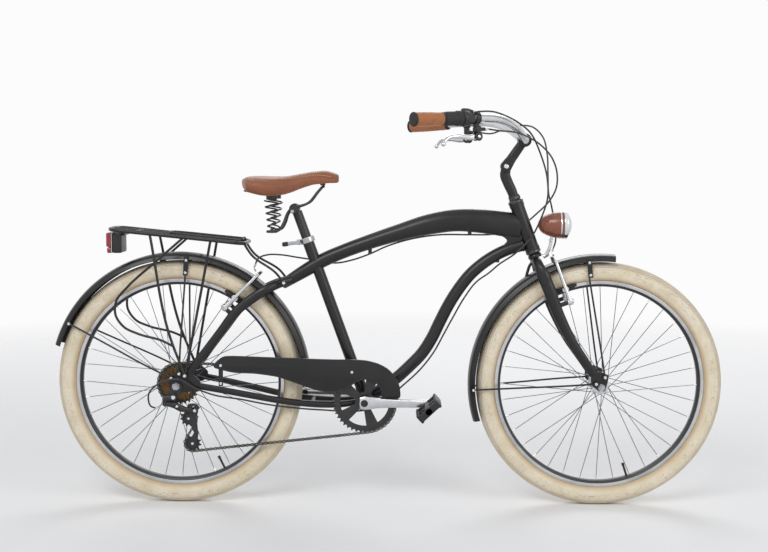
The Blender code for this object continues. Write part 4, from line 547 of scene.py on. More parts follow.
class Materials:
    """Every material of the bike, made once."""

    def __init__(self) -> None:
        self.made: dict[Look, bpy.types.Material] = {}
        for look in Look:
            self.made[look] = getattr(self, "_" + look.name.lower())()

    def __getitem__(self, look: Look) -> bpy.types.Material:
        return self.made[look]

    @staticmethod
    def _coated(name: str, colour: str, dusty: str, rough: float, spread: float, grain: float,
                grain_mm: float, **values) -> bpy.types.Material:
        """Paint or moulded plastic: a faint dusting in patches over a fine texture."""
        book = NodeBook(name)
        place = book.coords()
        patches = book.noise(place, 14.0, 4.0)
        fine = book.noise(place, grain, 2.0)
        book.colour(book.blend(book.span(patches, 0.35, 0.75, 0.0, 1.0), colour, dusty))
        book.roughness(book.span(patches, 0.3, 0.7, rough - spread, rough + spread))
        book.normal(book.bump(fine, grain_mm))
        book.set(**values)
        return book.material

    @staticmethod
    def _metal(name: str, colour: str, dull: str, rough: float, spread: float, stretch: tuple,
               scale: float, depth: float, kind: str = "Object") -> bpy.types.Material:
        """Metal with fine tool lines along one direction and a cloudy polish."""
        book = NodeBook(name)
        lines = book.noise(book.coords(kind, stretch), scale, 2.0)
        cloud = book.noise(book.coords(), 22.0, 4.0)
        book.colour(book.blend(book.span(cloud, 0.4, 0.8, 0.0, 1.0), colour, dull))
        book.roughness(book.span(book.sum(lines, cloud), 0.7, 1.3, rough - spread, rough + spread))
        book.normal(book.bump(lines, depth))
        book.set(Metallic=1.0)
        return book.material

    def _paint(self):
        return self._coated("satin_black_paint", "161617", "1F1F21", 0.34, 0.06, 420.0, 0.012,
                            Coat_Weight=0.16, Coat_Roughness=0.2, Specular_IOR_Level=0.34)

    def _gloss_black(self):
        return self._coated("gloss_black_steel", "121213", "1D1D1E", 0.16, 0.05, 500.0, 0.006,
                            Coat_Weight=0.6, Coat_Roughness=0.08)

    def _black_steel(self):
        return self._coated("black_coated_steel", "1B1B1D", "29292B", 0.38, 0.08, 900.0, 0.02,
                            Specular_IOR_Level=0.55)

    def _silver(self):
        return self._metal("polished_aluminium", "D2D3D5", "B4B6B9", 0.2, 0.07, (1.0, 14.0, 14.0), 90.0,
                           0.004)

    def _rim_side(self):
        book = NodeBook("machined_rim_side")
        place = book.coords("UV", (2600.0, 6.0, 1.0))
        lines = book.noise(place, 1.0, 2.0)
        cloud = book.noise(book.coords(), 12.0, 4.0)
        book.colour(book.blend(book.span(cloud, 0.4, 0.75, 0.0, 1.0), "C9CACC", "A5A7AA"))
        book.roughness(book.span(lines, 0.3, 0.7, 0.24, 0.38))
        book.normal(book.bump(lines, 0.02))
        book.set(Metallic=1.0)
        return book.material

    def _chrome(self):
        return self._metal("chromed_steel", "DEDFE1", "C2C4C8", 0.1, 0.05, (1.0, 1.0, 1.0), 160.0, 0.002)

    def _zinc(self):
        return self._metal("zinc_plated_steel", "B5B7BA", "8C8E92", 0.32, 0.09, (1.0, 5.0, 1.0), 200.0, 0.01)

    def _spoke(self):
        return self._metal("drawn_spoke_steel", "6E7075", "4E5055", 0.24, 0.06, (1.0, 1.0, 1.0), 240.0, 0.004)

    def _cream(self):
        """Rubber with moulded tread in the middle, smooth walls and a tan edge by the rim; the tread grooves and the
        shoulder's cut lines are painted darker as painted shade.
        """
        book = NodeBook("cream_tyre_rubber")
        place = book.coords("UV")
        split = book.node("ShaderNodeSeparateXYZ")
        book.link(place, split.inputs["Vector"])
        around, across = split.outputs["X"], split.outputs["Y"]
        middle = book.node("ShaderNodeMath", operation="SUBTRACT")
        book.link(across, middle.inputs[0])
        middle.inputs[1].default_value = 0.0603
        off = book.node("ShaderNodeMath", operation="ABSOLUTE")
        book.link(middle.outputs[0], off.inputs[0])
        offset = off.outputs[0]
        tread_zone = book.span(offset, 0.0165, 0.0185, 1.0, 0.0)
        lugs = book.node("ShaderNodeTexBrick", offset=0.5, in_Scale=1.0)
        lugs.inputs["Brick Width"].default_value = 0.0078
        lugs.inputs["Row Height"].default_value = 0.0046
        lugs.inputs["Mortar Size"].default_value = 0.0007
        lugs.inputs["Mortar Smooth"].default_value = 0.4
        book.link(place, lugs.inputs["Vector"])
        tread = book.sum(lugs.outputs["Fac"], tread_zone, "MULTIPLY")
        waves = book.noise(book.coords("UV", (0.55, 1.0, 1.0)), 78.0, 1.0)
        shoulder = book.sum(book.span(offset, 0.0175, 0.0205, 0.0, 1.0),
                            book.span(offset, 0.030, 0.043, 1.0, 0.0), "MULTIPLY")
        contour = book.sum(book.span(waves, 0.485, 0.5, 0.0, 1.0), book.span(waves, 0.5, 0.515, 1.0, 0.0),
                           "MULTIPLY")
        cuts = book.sum(contour, shoulder, "MULTIPLY")
        grain = book.noise(book.coords(), 700.0, 3.0)
        dirt = book.noise(book.coords(), 26.0, 5.0)
        body = book.blend(book.span(dirt, 0.35, 0.75, 0.0, 1.0), "EADFC9", "DCCDB0")
        edged = book.over(book.span(offset, 0.040, 0.056, 0.0, 0.75), body, "C9A878")
        # Painted shade: the shoulder's cut lines are coloured darker, as if shaded in their grooves.
        cut_lines_painted_shade = book.over(book.span(cuts, 0.0, 1.0, 0.0, 0.6), edged, "A98F66")
        # Painted shade: the tread grooves between the lugs are coloured darker, as if shaded.
        book.colour(book.over(book.span(tread, 0.0, 1.0, 0.0, 0.55), cut_lines_painted_shade, "A99A7E"))
        book.roughness(book.span(grain, 0.3, 0.7, 0.62, 0.8))
        lifted = book.bump(cuts, -0.5, under=book.bump(tread, -1.1))
        book.normal(book.bump(grain, 0.05, under=lifted))
        return book.material

    @staticmethod
    def _hide(name: str, colour: str, worn: str, painted_shade_tone: str, cell: float, depth: float, rough: float):
        """Leather: pebbled grain, fine creases and a worn tone that varies; the creases and the crevices between the
        pebbles are painted darker as painted shade.
        """
        book = NodeBook(name)
        place = book.coords()
        pebble = book.cells(place, cell)
        pores = book.noise(place, cell * 2.4, 4.0)
        crease = book.noise(book.coords("Object", (1.0, 2.2, 1.0)), 38.0, 6.0, 0.65)
        cloud = book.noise(place, 9.0, 3.0)
        base = book.blend(book.span(cloud, 0.3, 0.75, 0.0, 1.0), colour, worn)
        # Painted shade: the creases are coloured darker.
        crease_painted_shade = book.over(book.span(crease, 0.52, 0.7, 0.0, 0.5), base, painted_shade_tone)
        # Painted shade: the crevices between the pebbles are coloured darker.
        book.colour(book.over(book.span(pebble, 0.0, 0.12, 0.45, 0.0), crease_painted_shade, painted_shade_tone))
        book.roughness(book.span(book.sum(cloud, pores), 0.7, 1.3, rough - 0.1, rough + 0.1))
        height = book.sum(book.span(pebble, 0.0, 0.25, 0.0, 1.0), book.span(pores, 0.0, 1.0, 0.0, 0.5))
        grained = book.bump(height, depth)
        book.normal(book.bump(crease, depth * 1.6, 0.6, under=grained))
        book.set(Coat_Weight=0.12, Coat_Roughness=0.35, Sheen_Weight=0.08)
        return book.material

    def _leather(self):
        # The last colour is the painted shade in the creases and grain crevices.
        return self._hide("saddle_leather", "8E5030", "9C5F3C", "64361D", 620.0, 0.16, 0.46)

    def _grip(self):
        # The last colour is the painted shade in the creases and grain crevices.
        return self._hide("grip_leather", "A96636", "B87544", "784626", 800.0, 0.12, 0.55)

    def _shell_brown(self):
        return self._coated("brown_shell_paint", "874B33", "7D442D", 0.28, 0.05, 300.0, 0.02,
                            Coat_Weight=0.4, Coat_Roughness=0.15)

    def _thread(self):
        book = NodeBook("waxed_thread")
        twist = book.wave(book.coords("Object", (1.0, 1.0, 1.0)), 900.0, "DIAGONAL", 1.0)
        book.colour(book.blend(twist, "E3C9A4", "C7A77E"))
        book.normal(book.bump(twist, 0.08))
        book.set(Roughness=0.7, Sheen_Weight=0.2)
        return book.material

    def _rubber(self):
        return self._coated("black_rubber", "171718", "222223", 0.66, 0.08, 1100.0, 0.06)

    def _plastic(self):
        return self._coated("black_plastic", "161617", "202021", 0.4, 0.07, 1500.0, 0.03)

    def _housing(self):
        return self._coated("cable_housing", "18181A", "262628", 0.34, 0.08, 260.0, 0.03,
                            Coat_Weight=0.25, Coat_Roughness=0.2)

    def _chain(self):
        return self._metal("oiled_chain_steel", "5B5854", "37342F", 0.34, 0.1, (1.0, 1.0, 1.0), 300.0, 0.02)

    def _bronze(self):
        return self._metal("browned_steel", "6B5237", "4A3826", 0.36, 0.1, (1.0, 1.0, 1.0), 260.0, 0.02)

    @staticmethod
    def _cast(name: str, colour: str, deep: str, rough: float, ribs: float, kind: str, **values):
        """A moulded lens with fine ribs on it."""
        book = NodeBook(name)
        lines = book.wave(book.coords(kind), ribs, "Z")
        cross = book.wave(book.coords(kind), ribs, "Y")
        cloud = book.noise(book.coords(), 30.0)
        book.colour(book.blend(cloud, colour, deep))
        book.roughness(book.span(cloud, 0.3, 0.7, rough, rough + 0.06))
        book.normal(book.bump(book.sum(lines, cross, "MULTIPLY"), 0.35))
        book.set(**values)
        return book.material

    def _red(self):
        return self._cast("red_lens", "A8141E", "7C0B14", 0.1, 90.0, "Object", Coat_Weight=0.6,
                          Coat_Roughness=0.05)

    def _grey_lens(self):
        return self._cast("faceted_grey_lens", "8E9196", "6A6D72", 0.14, 120.0, "Object", Metallic=0.6,
                          Coat_Weight=0.5)

    def _glass(self):
        return self._cast("clear_lens", "DCE2E6", "C9D1D6", 0.06, 110.0, "Object", Metallic=0.35,
                          Coat_Weight=0.9, Coat_Roughness=0.03)


# Placing pieces

class Assembly:
    """A group of pieces that share the material book."""

    def __init__(self, materials: Materials) -> None:
        self.materials = materials

    def put(self, name: str, shape: Shape, look: Look, body: str, *nodes: str, sharp: float = 38.0,
            ride: bool = True) -> bpy.types.Object:
        """Make an object from a shape, give it a look and fix it to a body."""
        mesh = bpy.data.meshes.new(name)
        mesh.from_pydata(shape.verts.tolist(), [], shape.faces)
        layer = mesh.uv_layers.new(name="UVMap")
        layer.data.foreach_set("uv", np.array(shape.uvs, np.float32).reshape(-1))
        work = bmesh.new()
        work.from_mesh(mesh)
        bmesh.ops.remove_doubles(work, verts=work.verts, dist=2e-6)
        bmesh.ops.recalc_face_normals(work, faces=work.faces)
        work.to_mesh(mesh)
        work.free()
        mesh.polygons.foreach_set("use_smooth", [True] * len(mesh.polygons))
        mesh.set_sharp_from_angle(angle=math.radians(sharp))
        mesh.materials.append(self.materials[look])
        obj = bpy.data.objects.new(name, mesh)
        bpy.context.scene.collection.objects.link(obj)
        if ride:
            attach(obj, body)
        if nodes:
            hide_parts(*nodes)
        return obj

    def keep(self, look: Look, *nodes: str) -> None:
        """Give CAD nodes whose shape stays a better material."""
        for name in nodes:
            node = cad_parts[name]
            for index in range(len(node.material_slots)):
                node.material_slots[index].material = self.materials[look]

    def build(self) -> None:
        raise NotImplementedError


def head_point(distance: float) -> np.ndarray:
    """A point on the steering axis, up from the head tube's lower end."""
    return HEAD_LOW + STEER_DIR * distance


def seat_point(distance: float) -> np.ndarray:
    """A point on the seat tube's axis, up from the bottom bracket."""
    return BB + SEAT_DIR * distance


class Studio:
    """Camera, floor and light."""

    POSITION = (0.0242, -3.235, 0.938)
    YAW, PITCH, ROLL = -0.01125, 0.09642, 0.00418

    def camera(self) -> None:
        """The camera at the photograph's place and angle."""
        forward = Vector((math.sin(self.YAW) * math.cos(self.PITCH),
                          math.cos(self.YAW) * math.cos(self.PITCH), -math.sin(self.PITCH)))
        right = forward.cross(Vector((0, 0, 1))).normalized()
        up = right.cross(forward)
        turned_right = right * math.cos(self.ROLL) + up * math.sin(self.ROLL)
        turned_up = -right * math.sin(self.ROLL) + up * math.cos(self.ROLL)
        data = bpy.data.cameras.new("photo_camera")
        data.lens = 56.25
        data.sensor_width = 36.0
        data.dof.use_dof = False
        data.clip_end = 60.0
        camera = bpy.data.objects.new("photo_camera", data)
        turn = Matrix((turned_right, turned_up, -forward)).transposed().to_4x4()
        camera.matrix_world = Matrix.Translation(Vector(self.POSITION)) @ turn
        bpy.context.scene.collection.objects.link(camera)
        bpy.context.scene.camera = camera

    @staticmethod
    def _lamp(name: str, place: tuple, aim: tuple, size: float, power: float) -> None:
        data = bpy.data.lights.new(name, "AREA")
        data.shape = "RECTANGLE"
        data.size, data.size_y = size, size * 0.6
        data.energy = power
        lamp = bpy.data.objects.new(name, data)
        lamp.location = place
        lamp.rotation_euler = (Vector(aim) - Vector(place)).to_track_quat("-Z", "Y").to_euler()
        bpy.context.scene.collection.objects.link(lamp)

    def light(self) -> None:
        """Three large soft lamps in a pale room, which is white where it is seen or mirrored."""
        world = bpy.data.worlds.new("pale_room")
        world.use_nodes = True
        tree = world.node_tree
        room = tree.nodes["Background"]
        room.inputs["Color"].default_value = linear("F4F5F7")
        room.inputs["Strength"].default_value = 0.5
        white = tree.nodes.new("ShaderNodeBackground")
        white.inputs["Color"].default_value = linear("FCFCFD")
        white.inputs["Strength"].default_value = 1.0
        ray = tree.nodes.new("ShaderNodeLightPath")
        seen = tree.nodes.new("ShaderNodeMath")
        seen.operation = "MAXIMUM"
        tree.links.new(ray.outputs["Is Camera Ray"], seen.inputs[0])
        tree.links.new(ray.outputs["Is Glossy Ray"], seen.inputs[1])
        also = tree.nodes.new("ShaderNodeMath")
        also.operation = "MAXIMUM"
        tree.links.new(seen.outputs[0], also.inputs[0])
        tree.links.new(ray.outputs["Is Transmission Ray"], also.inputs[1])
        mix = tree.nodes.new("ShaderNodeMixShader")
        tree.links.new(also.outputs[0], mix.inputs[0])
        tree.links.new(room.outputs[0], mix.inputs[1])
        tree.links.new(white.outputs[0], mix.inputs[2])
        tree.links.new(mix.outputs[0], tree.nodes["World Output"].inputs["Surface"])
        bpy.context.scene.world = world
        self._lamp("key", (-1.6, -3.0, 3.4), (0, 0, 0.5), 2.6, 66)
        self._lamp("fill", (2.4, -2.2, 1.8), (0, 0, 0.6), 2.2, 24)
        self._lamp("back", (0.6, 3.0, 2.8), (0, 0, 0.5), 2.6, 44)

    def floor(self) -> None:
        """A plain pale floor that fades into the room some way off."""
        mesh = bpy.data.meshes.new("studio_floor")
        mesh.from_pydata([(-9, -9, 0), (9, -9, 0), (9, 9, 0), (-9, 9, 0)], [], [(0, 1, 2, 3)])
        book = NodeBook("pale_floor")
        place = book.coords()
        tone = book.noise(place, 1.4)
        book.colour(book.blend(tone, "F6F6F7", "F0F1F2"))
        book.set(Roughness=0.8, Specular_IOR_Level=0.2)
        reach = book.node("ShaderNodeVectorMath", operation="LENGTH")
        book.link(place, reach.inputs[0])
        clear = book.node("ShaderNodeBsdfTransparent")
        mix = book.node("ShaderNodeMixShader")
        book.link(book.span(reach.outputs["Value"], 1.3, 4.2, 0.0, 1.0), mix.inputs[0])
        book.link(book.shader.outputs[0], mix.inputs[1])
        book.link(clear.outputs[0], mix.inputs[2])
        book.link(mix.outputs[0], book.tree.nodes["Material Output"].inputs["Surface"])
        mesh.materials.append(book.material)
        floor = bpy.data.objects.new("studio_floor", mesh)
        bpy.context.scene.collection.objects.link(floor)

    def colour_management(self) -> None:
        bpy.context.scene.view_settings.view_transform = "Standard"
        bpy.context.scene.view_settings.look = "None"
        bpy.context.scene.view_settings.exposure = 0.0


TOP_TUBE = [
    (280, 0, 601, 13, 13), (313, 0, 622, 16, 15), (346, 0, 642, 18, 17), (385, 0, 665, 19, 18),
    (448, 0, 693, 19, 19), (516, 0, 718, 20, 20), (597, 0, 744, 23, 21), (677, 0, 766, 28, 22),
    (752, 0, 777, 30, 22), (812, 0, 775, 32, 22), (880, 0, 767, 34, 20), (922, 0, 760, 35, 17),
]
DOWN_TUBE = [
    (930, 0, 712), (885, 0, 698), (843, 0, 676), (809, 0, 651), (784, 0, 627), (762, 0, 599),
    (732, 0, 552), (707, 0, 503), (683, 0, 453), (658, 0, 414), (625, 0, 379), (580, 0, 338),
    (542, 0, 310), (512, 0, 294),
]
HEAD_WEB = [
    (862, 742), (873, 734), (882, 728), (886, 723), (883, 717), (875, 710), (868, 703),
    (900, 708), (928, 714), (926, 742),
]
CHAINSTAY = [
    (494, -22, 285, 8, 7), (450, -28, 279, 9, 8), (400, -33, 278, 9.5, 8), (330, -41, 283, 9, 8),
    (270, -48, 292, 9, 8), (200, -57, 306, 9, 7), (120, -65, 322, 9, 5), (50, -70.5, 335, 9, 2.6),
]
SEATSTAY = [
    (302, -8, 614, 12, 9), (280, -20, 608, 12, 10), (258, -33, 600, 12.5, 10),
    (234, -44, 588, 13, 9.5), (200, -47, 566, 13, 9), (163, -49, 536, 12.5, 8.5),
    (113, -55, 472, 11.5, 8), (67, -63, 412, 11, 6), (28, -70, 362, 11, 3),
]
DROPOUT = [
    (-22, 338), (-20, 352), (-12, 364), (4, 376), (28, 380), (44, 366), (62, 350), (64, 334),
    (50, 322), (20, 316), (-4, 314), (-18, 322), (-21, 327.8), (0, 327.8), (5, 333), (0, 338.2), (-21, 338.2),
]
FORK_BLADE = [
    (961, -6, 670, 13, 12), (965, -22, 666, 13.5, 13), (971, -38, 651, 16, 12.5),
    (980, -46, 632, 17, 12), (992, -48, 604, 17, 12), (1024, -49, 523, 15, 11),
    (1063, -51, 448, 13, 9), (1098, -52, 397, 11.5, 6), (1128, -53, 352, 10, 2.6),
]
FORK_END = [
    (1118, 372), (1134, 376), (1158, 366), (1156, 350), (1150, 326), (1144.2, 320), (1144.2, 333),
    (1139, 338.2), (1133.8, 333), (1133.8, 320), (1128, 326), (1112, 338), (1110, 356),
]
REAR_BRAKE = np.array([128.0, -47.0, 542.0])
REAR_BRAKE_AXIS = unit(np.array([-1.0, 0.0, 1.0]))
REAR_BRAKE_ARM = unit(np.array([1.0, 0.0, 1.0]))
FRONT_BRAKE = np.array([1052.0, -47.0, 563.0])
FRONT_BRAKE_AXIS = unit(np.array([0.94, 0.0, 0.342]))
FRONT_BRAKE_ARM = unit(np.array([-0.342, 0.0, 0.94]))


class FrameSet(Assembly):
    """The welded frame with its headset, bottom bracket and seat clamp."""

    def build(self) -> None:
        tubes = [
            loft(TOP_TUBE, 5, 40),
            tube(smooth_path(DOWN_TUBE, 5), 16.5, 36),
            rod(BB, seat_point(SEAT_TUBE_LEN), 15.5, sides=40),
            rod(HEAD_LOW, head_point(HEAD_LEN), HEAD_R, sides=48),
            rod(HEAD_LOW, head_point(9), HEAD_R + 1.2, sides=48),
            rod(head_point(HEAD_LEN - 9), head_point(HEAD_LEN), HEAD_R + 1.2, sides=48),
            cross_rod(BB[0], BB[2], -34, 34, 20, 48, 1.0),
            cross_rod(262, 602, -34, 34, 7),
            cross_rod(362, 281, -36, 36, 7),
            flat_plate(HEAD_WEB, -9.5, 9.5, ease=3.0, rounding=3.0),
        ]
        for flip in (False, True):
            half = [loft(CHAINSTAY, 5, 28), loft(SEATSTAY, 5, 28),
                    flat_plate(DROPOUT, -REAR_SPACING / 2 - DROPOUT_T, -REAR_SPACING / 2, ease=1.0,
                               rounding=2.5),
                    rod(REAR_BRAKE - REAR_BRAKE_AXIS * 24, REAR_BRAKE - REAR_BRAKE_AXIS * 7.4, 6.0),
                    cross_rod(287, 610, -17, -46, 5)]
            tubes += [s.mirrored() if flip else s for s in half]
        self.put("frame_tubes", together(tubes), Look.PAINT, "root", "frame")
        self._welds()
        clips = []
        for x, z in ((785, 741), (620, 728), (516, 688)):
            clips.append(box((x - 5, 1.0, z - 4), (x + 5, 9.5, z + 20), 1.5))
        for x, z in ((868, 664), (725, 500), (640, 370)):
            clips.append(box((x - 17, -9, z + 0), (x - 3, -1.5, z + 14), 1.5))
        self.put("cable_clips", together(clips), Look.PLASTIC, "root")
        self._bearings()
        self._seat_clamp()

    def _welds(self) -> None:
        """Rounded beads where tubes meet."""
        beads = [
            ring_band(seat_point(0) + SEAT_DIR * 21.5, SEAT_DIR, 14.5, 2.6, 5),
            ring_band((926, 0, 710.6), (1.0, 0.0, 0.31), 15.5, 2.2, 5),
            ring_band((519, 0, 297), (0.85, 0, 0.53), 15.5, 2.4, 5),
        ]
        for side in (-1, 1):
            beads.append(ring_band((484, side * 23.5, 284), (1, side * -0.14, 0.1), 7.2, 1.8, 5))
            beads.append(ring_band((262, side * 27, 602), (0, 1, 0), 6.2, 1.6, 4))
            beads.append(ring_band((362, side * 30, 281), (0, 1, 0), 6.2, 1.6, 4))
        self.put("weld_beads", together(beads), Look.PAINT, "root")

    def _bearings(self) -> None:
        cup = [(15.0, -2), (HEAD_R + 1.5, 0.3), (HEAD_R + 2, 4), (HEAD_R + 2, 7), (HEAD_R - 2, 11),
               (13.2, 11)]
        self.put("upper_cup_shell", turned(cup, head_point(HEAD_LEN), STEER_DIR, 56, 0.8), Look.GLOSS_BLACK,
                 "root", "headset_upper_cup")
        self.put("lower_cup_shell", turned(cup, HEAD_LOW, -STEER_DIR, 56, 0.8), Look.GLOSS_BLACK,
                 "root", "headset_lower_cup")
        shell = [(8.3, -37), (17, -37), (17, -34.2), (17, 34.2), (19, 34.3), (19, 37), (8.3, 37)]
        self.put("bearing_cartridge", turned(shell, BB, LEFT, 56, 0.5), Look.BLACK_STEEL, "root",
                 "bottom_bracket")

    def _seat_clamp(self) -> None:
        top = SEAT_TUBE_LEN + 1.3
        collar = [(13.7, 0), (20, 0), (20, 15), (13.7, 15)]
        back = seat_point(top - 8) + np.array([-22, 0, -6])
        pieces = [turned(collar, seat_point(top - 15), SEAT_DIR, 48, 1.2, ring=True)]
        for side in (-1, 1):
            y = sorted((side * 2, side * 7))
            pieces.append(box((back[0] - 7, y[0], back[2] - 6), (back[0] + 9, y[1], back[2] + 8), 1.6))
        pieces += [cross_rod(back[0], back[2], -14, 9, 3), hex_nut((back[0], 7, back[2]), LEFT, 5.2, 5)]
        self.put("seat_collar", together(pieces), Look.ZINC, "root", "seat_clamp")
        cam = seat_point(SEAT_TUBE_LEN - 7) + np.array([-22, -18, -6])
        blade = [(cam[0] + 2, cam[1], cam[2], 5, 2), (cam[0] - 20, cam[1] - 3, cam[2] - 1, 5, 2),
                 (cam[0] - 30, cam[1] - 3.6, cam[2] - 2.6, 5.4, 2.2)]
        lever = rod(cam - UP * 6, cam + UP * 6, 3.5) + loft(blade, 3, 24, 3.0)
        self.put("seat_lever_blade", lever, Look.ZINC, "seat_lever", "seat_clamp_lever")
        tip = [(cam[0] - 29, cam[1] - 3.5, cam[2] - 2.5, 5.8, 2.5), (cam[0] - 38, cam[1] - 3.8, cam[2] - 4,
                                                                     6.2, 2.7),
               (cam[0] - 44, cam[1] - 4, cam[2] - 5, 5.2, 2.3)]
        self.put("seat_lever_tip", loft(tip, 2, 24, 3.0), Look.PLASTIC, "seat_lever")


class Wheel(Assembly):
    """One wheel: tyre, rim, hub, spokes and nipples."""

    def __init__(self, materials: Materials, word: str, x: float, flanges: tuple, flange_r: float) -> None:
        super().__init__(materials)
        self.word, self.x = word, x
        self.flanges, self.flange_r = flanges, flange_r
        self.body = word + "_wheel"
        self.centre = (x, 0.0, AXLE_Z)

    def build(self) -> None:
        self._tyre()
        self._rim()
        self._spokes()
        self._hub()

    def _tyre(self) -> None:
        mid, half = TYRE_R - TYRE_W / 2, TYRE_W / 2
        profile = [(mid + half * math.cos(a), half * math.sin(a))
                   for a in np.radians(np.linspace(-128, 128, 65))]
        seat = RIM_OUTER_R - 1.6
        profile = [(seat, -RIM_W / 2 + 3)] + profile + [(seat, RIM_W / 2 - 3)]
        skin = self._spun(profile, 144)
        self.put(self.word + "_tyre_casing", skin, Look.CREAM, self.body, self.word + "_tyre")
        ridge = [(292.5, -20.6), (293.8, -22.2), (292.0, -21.9), (290.8, -20.2)]
        lines = self._spun(ridge + ridge[:1], 144) + self._spun([(r, -y) for r, y in ridge + ridge[:1]], 144)
        self.put(self.word + "_tyre_bead_line", lines, Look.CREAM, self.body)
        valve_angle = math.radians(-72 if self.word == "front" else -64)
        inward = np.array([math.cos(valve_angle), 0, math.sin(valve_angle)])
        foot = np.array(self.centre) + inward * (RIM_INNER_R + 1)
        stem = rod(foot, foot - inward * 30, 3.0) + rod(foot - inward * 30, foot - inward * 37, 3.9)
        self.put(self.word + "_valve", stem, Look.RUBBER, self.body)

    def _spun(self, profile: list, steps: int) -> Shape:
        """A profile carried round the axle, with UVs along and across the tread in metres."""
        turn = 2 * math.pi * np.arange(steps) / steps
        p = np.array(profile, float)
        rings = np.stack([np.stack([self.x + p[:, 0] * math.cos(a), p[:, 1],
                                    AXLE_Z + p[:, 0] * math.sin(a)], -1)
                          for a in turn])
        shape = grid(at(rings), wrap_u=False, wrap_v=True, caps=False)
        shape.uvs = [(v, u) for u, v in shape.uvs]
        return shape

    def _rim(self) -> None:
        half = RIM_W / 2
        walls = []
        for side in (-1, 1):
            wall = eased([(RIM_INNER_R + 7.4, side * (half - 1.2)), (RIM_INNER_R + 8, side * half),
                          (RIM_OUTER_R - 2, side * half), (RIM_OUTER_R - 0.6, side * (half - 1.0)),
                          (RIM_OUTER_R - 2.2, side * (half - 2.4))], 0.6)
            walls.append(self._spun(wall, 120))
        self.put(self.word + "_rim_walls", together(walls), Look.RIM_SIDE, self.body, self.word + "_rim")
        well = eased([(RIM_OUTER_R - 3, -half + 2), (RIM_INNER_R + 7.4, -half + 1.0), (RIM_INNER_R + 1.4, -9),
                      (RIM_INNER_R, -5), (RIM_INNER_R, 5), (RIM_INNER_R + 1.4, 9), (RIM_INNER_R + 7.4,
                                                                                    half - 1.0),
                      (RIM_OUTER_R - 3, half - 2)], 2.5)
        self.put(self.word + "_rim_well", self._spun(well, 120), Look.BLACK_STEEL, self.body)

    def _spokes(self) -> None:
        spokes, nipples, heads = [], [], []
        per_side = SPOKES // 2
        for side, flange_y in zip((-1, 1), self.flanges):
            for k in range(per_side):
                lean = 1 if k % 2 else -1
                rim_angle = 2 * math.pi * (k + (0.5 if side > 0 else 0.0)) / per_side
                hub_angle = rim_angle + lean * math.radians(58)
                start = np.array([self.x + self.flange_r * math.cos(hub_angle), flange_y + lean * 1.8,
                                  AXLE_Z + self.flange_r * math.sin(hub_angle)])
                end = np.array([self.x + (RIM_INNER_R + 1) * math.cos(rim_angle), side * 3.0 + lean * 0.3,
                                AXLE_Z + (RIM_INNER_R + 1) * math.sin(rim_angle)])
                way = unit(end - start)
                spokes.append(tube([start, end], 0.98, 8))
                nipples.append(rod(end - way * 11, end, 1.5, 1.9, 10, 0.2))
                heads.append(rod(start - LEFT * lean * 0.2, start + LEFT * lean * 1.1, 1.9, sides=10,
                                 chamfer=0.3))
        self.put(self.word + "_spoke_wires", together(spokes), Look.SPOKE, self.body, self.word + "_hub")
        self.put(self.word + "_spoke_nipples", together(nipples + heads), Look.CHROME, self.body)

    def _hub(self) -> None:
        if self.word == "front":
            profile = [(5.1, -37), (13, -37), (13.4, -36.4), (22.6, -36), (23, -35.4), (23, -33.6), (22, -33),
                       (12, -29), (10.4, -24), (10.0, 0), (10.4, 24), (12, 29), (22, 33), (23, 33.6), (23, 35.4),
                       (22.6, 36), (13.4, 36.4), (13, 37), (5.1, 37)]
        else:
            profile = [(5.1, -48), (16, -48), (16, -26), (25.4, -25.5), (26, -25), (26, -22.6), (25, -22),
                       (16, -18),
                       (14, -12), (14, 24), (16, 30), (25, 34), (26, 34.6), (26, 37), (25.4, 37.5), (14, 38), (5.1, 38)]
        self.put(self.word + "_hub_shell", turned(profile, self.centre, LEFT, 64, 0.5), Look.SILVER,
                 self.body)


class Axles(Assembly):
    """Threaded axles with cones, washers and nuts."""

    @staticmethod
    def _threads(x: float, y0: float, y1: float) -> Shape:
        rows = np.arange(y0, y1, 0.5)
        profile = [(0.01, y0)] + [(4.7 if i % 2 else 4.25, y) for i, y in enumerate(rows)] + [(0.01, y1)]
        return turned(profile, (x, 0, AXLE_Z), LEFT, 20)

    def build(self) -> None:
        half = FRONT_SPACING / 2
        out = half + DROPOUT_T
        pieces = [cross_rod(WHEELBASE, AXLE_Z, -half - 16, half + 16, 4.6),
                  self._threads(WHEELBASE, half + 10, half + 20), self._threads(WHEELBASE, -half - 20,
                                                                                -half - 10)]
        for side in (-1, 1):
            pieces += [cross_rod(WHEELBASE, AXLE_Z, side * 37.5, side * (half - 0.3), 8),
                       cross_rod(WHEELBASE, AXLE_Z, side * (out + 0.3), side * (out + 1.8), 9.6),
                       hex_nut((WHEELBASE, side * (out + 1.8), AXLE_Z), (0, side, 0), 9.0, 7.5)]
        self.put("front_axle_set", together(pieces), Look.ZINC, "front_end", "front_axle")
        half = REAR_SPACING / 2
        right, left = half + DROPOUT_T + 4.6, half + DROPOUT_T + 0.3
        pieces = [cross_rod(0, AXLE_Z, -right - 10, left + 10, 4.6), self._threads(0, left + 8, left + 15),
                  self._threads(0, -right - 15, -right - 8),
                  cross_rod(0, AXLE_Z, 38.4, half - 0.4, 9), cross_rod(0, AXLE_Z, -half + 0.4, -48.4, 9)]
        for side, near in ((-1, right), (1, left)):
            pieces += [cross_rod(0, AXLE_Z, side * near, side * (near + 1.6), 10),
                       hex_nut((0, side * (near + 1.6), AXLE_Z), (0, side, 0), 9.6, 7.6)]
        self.put("rear_axle_set", together(pieces), Look.ZINC, "root", "rear_axle")


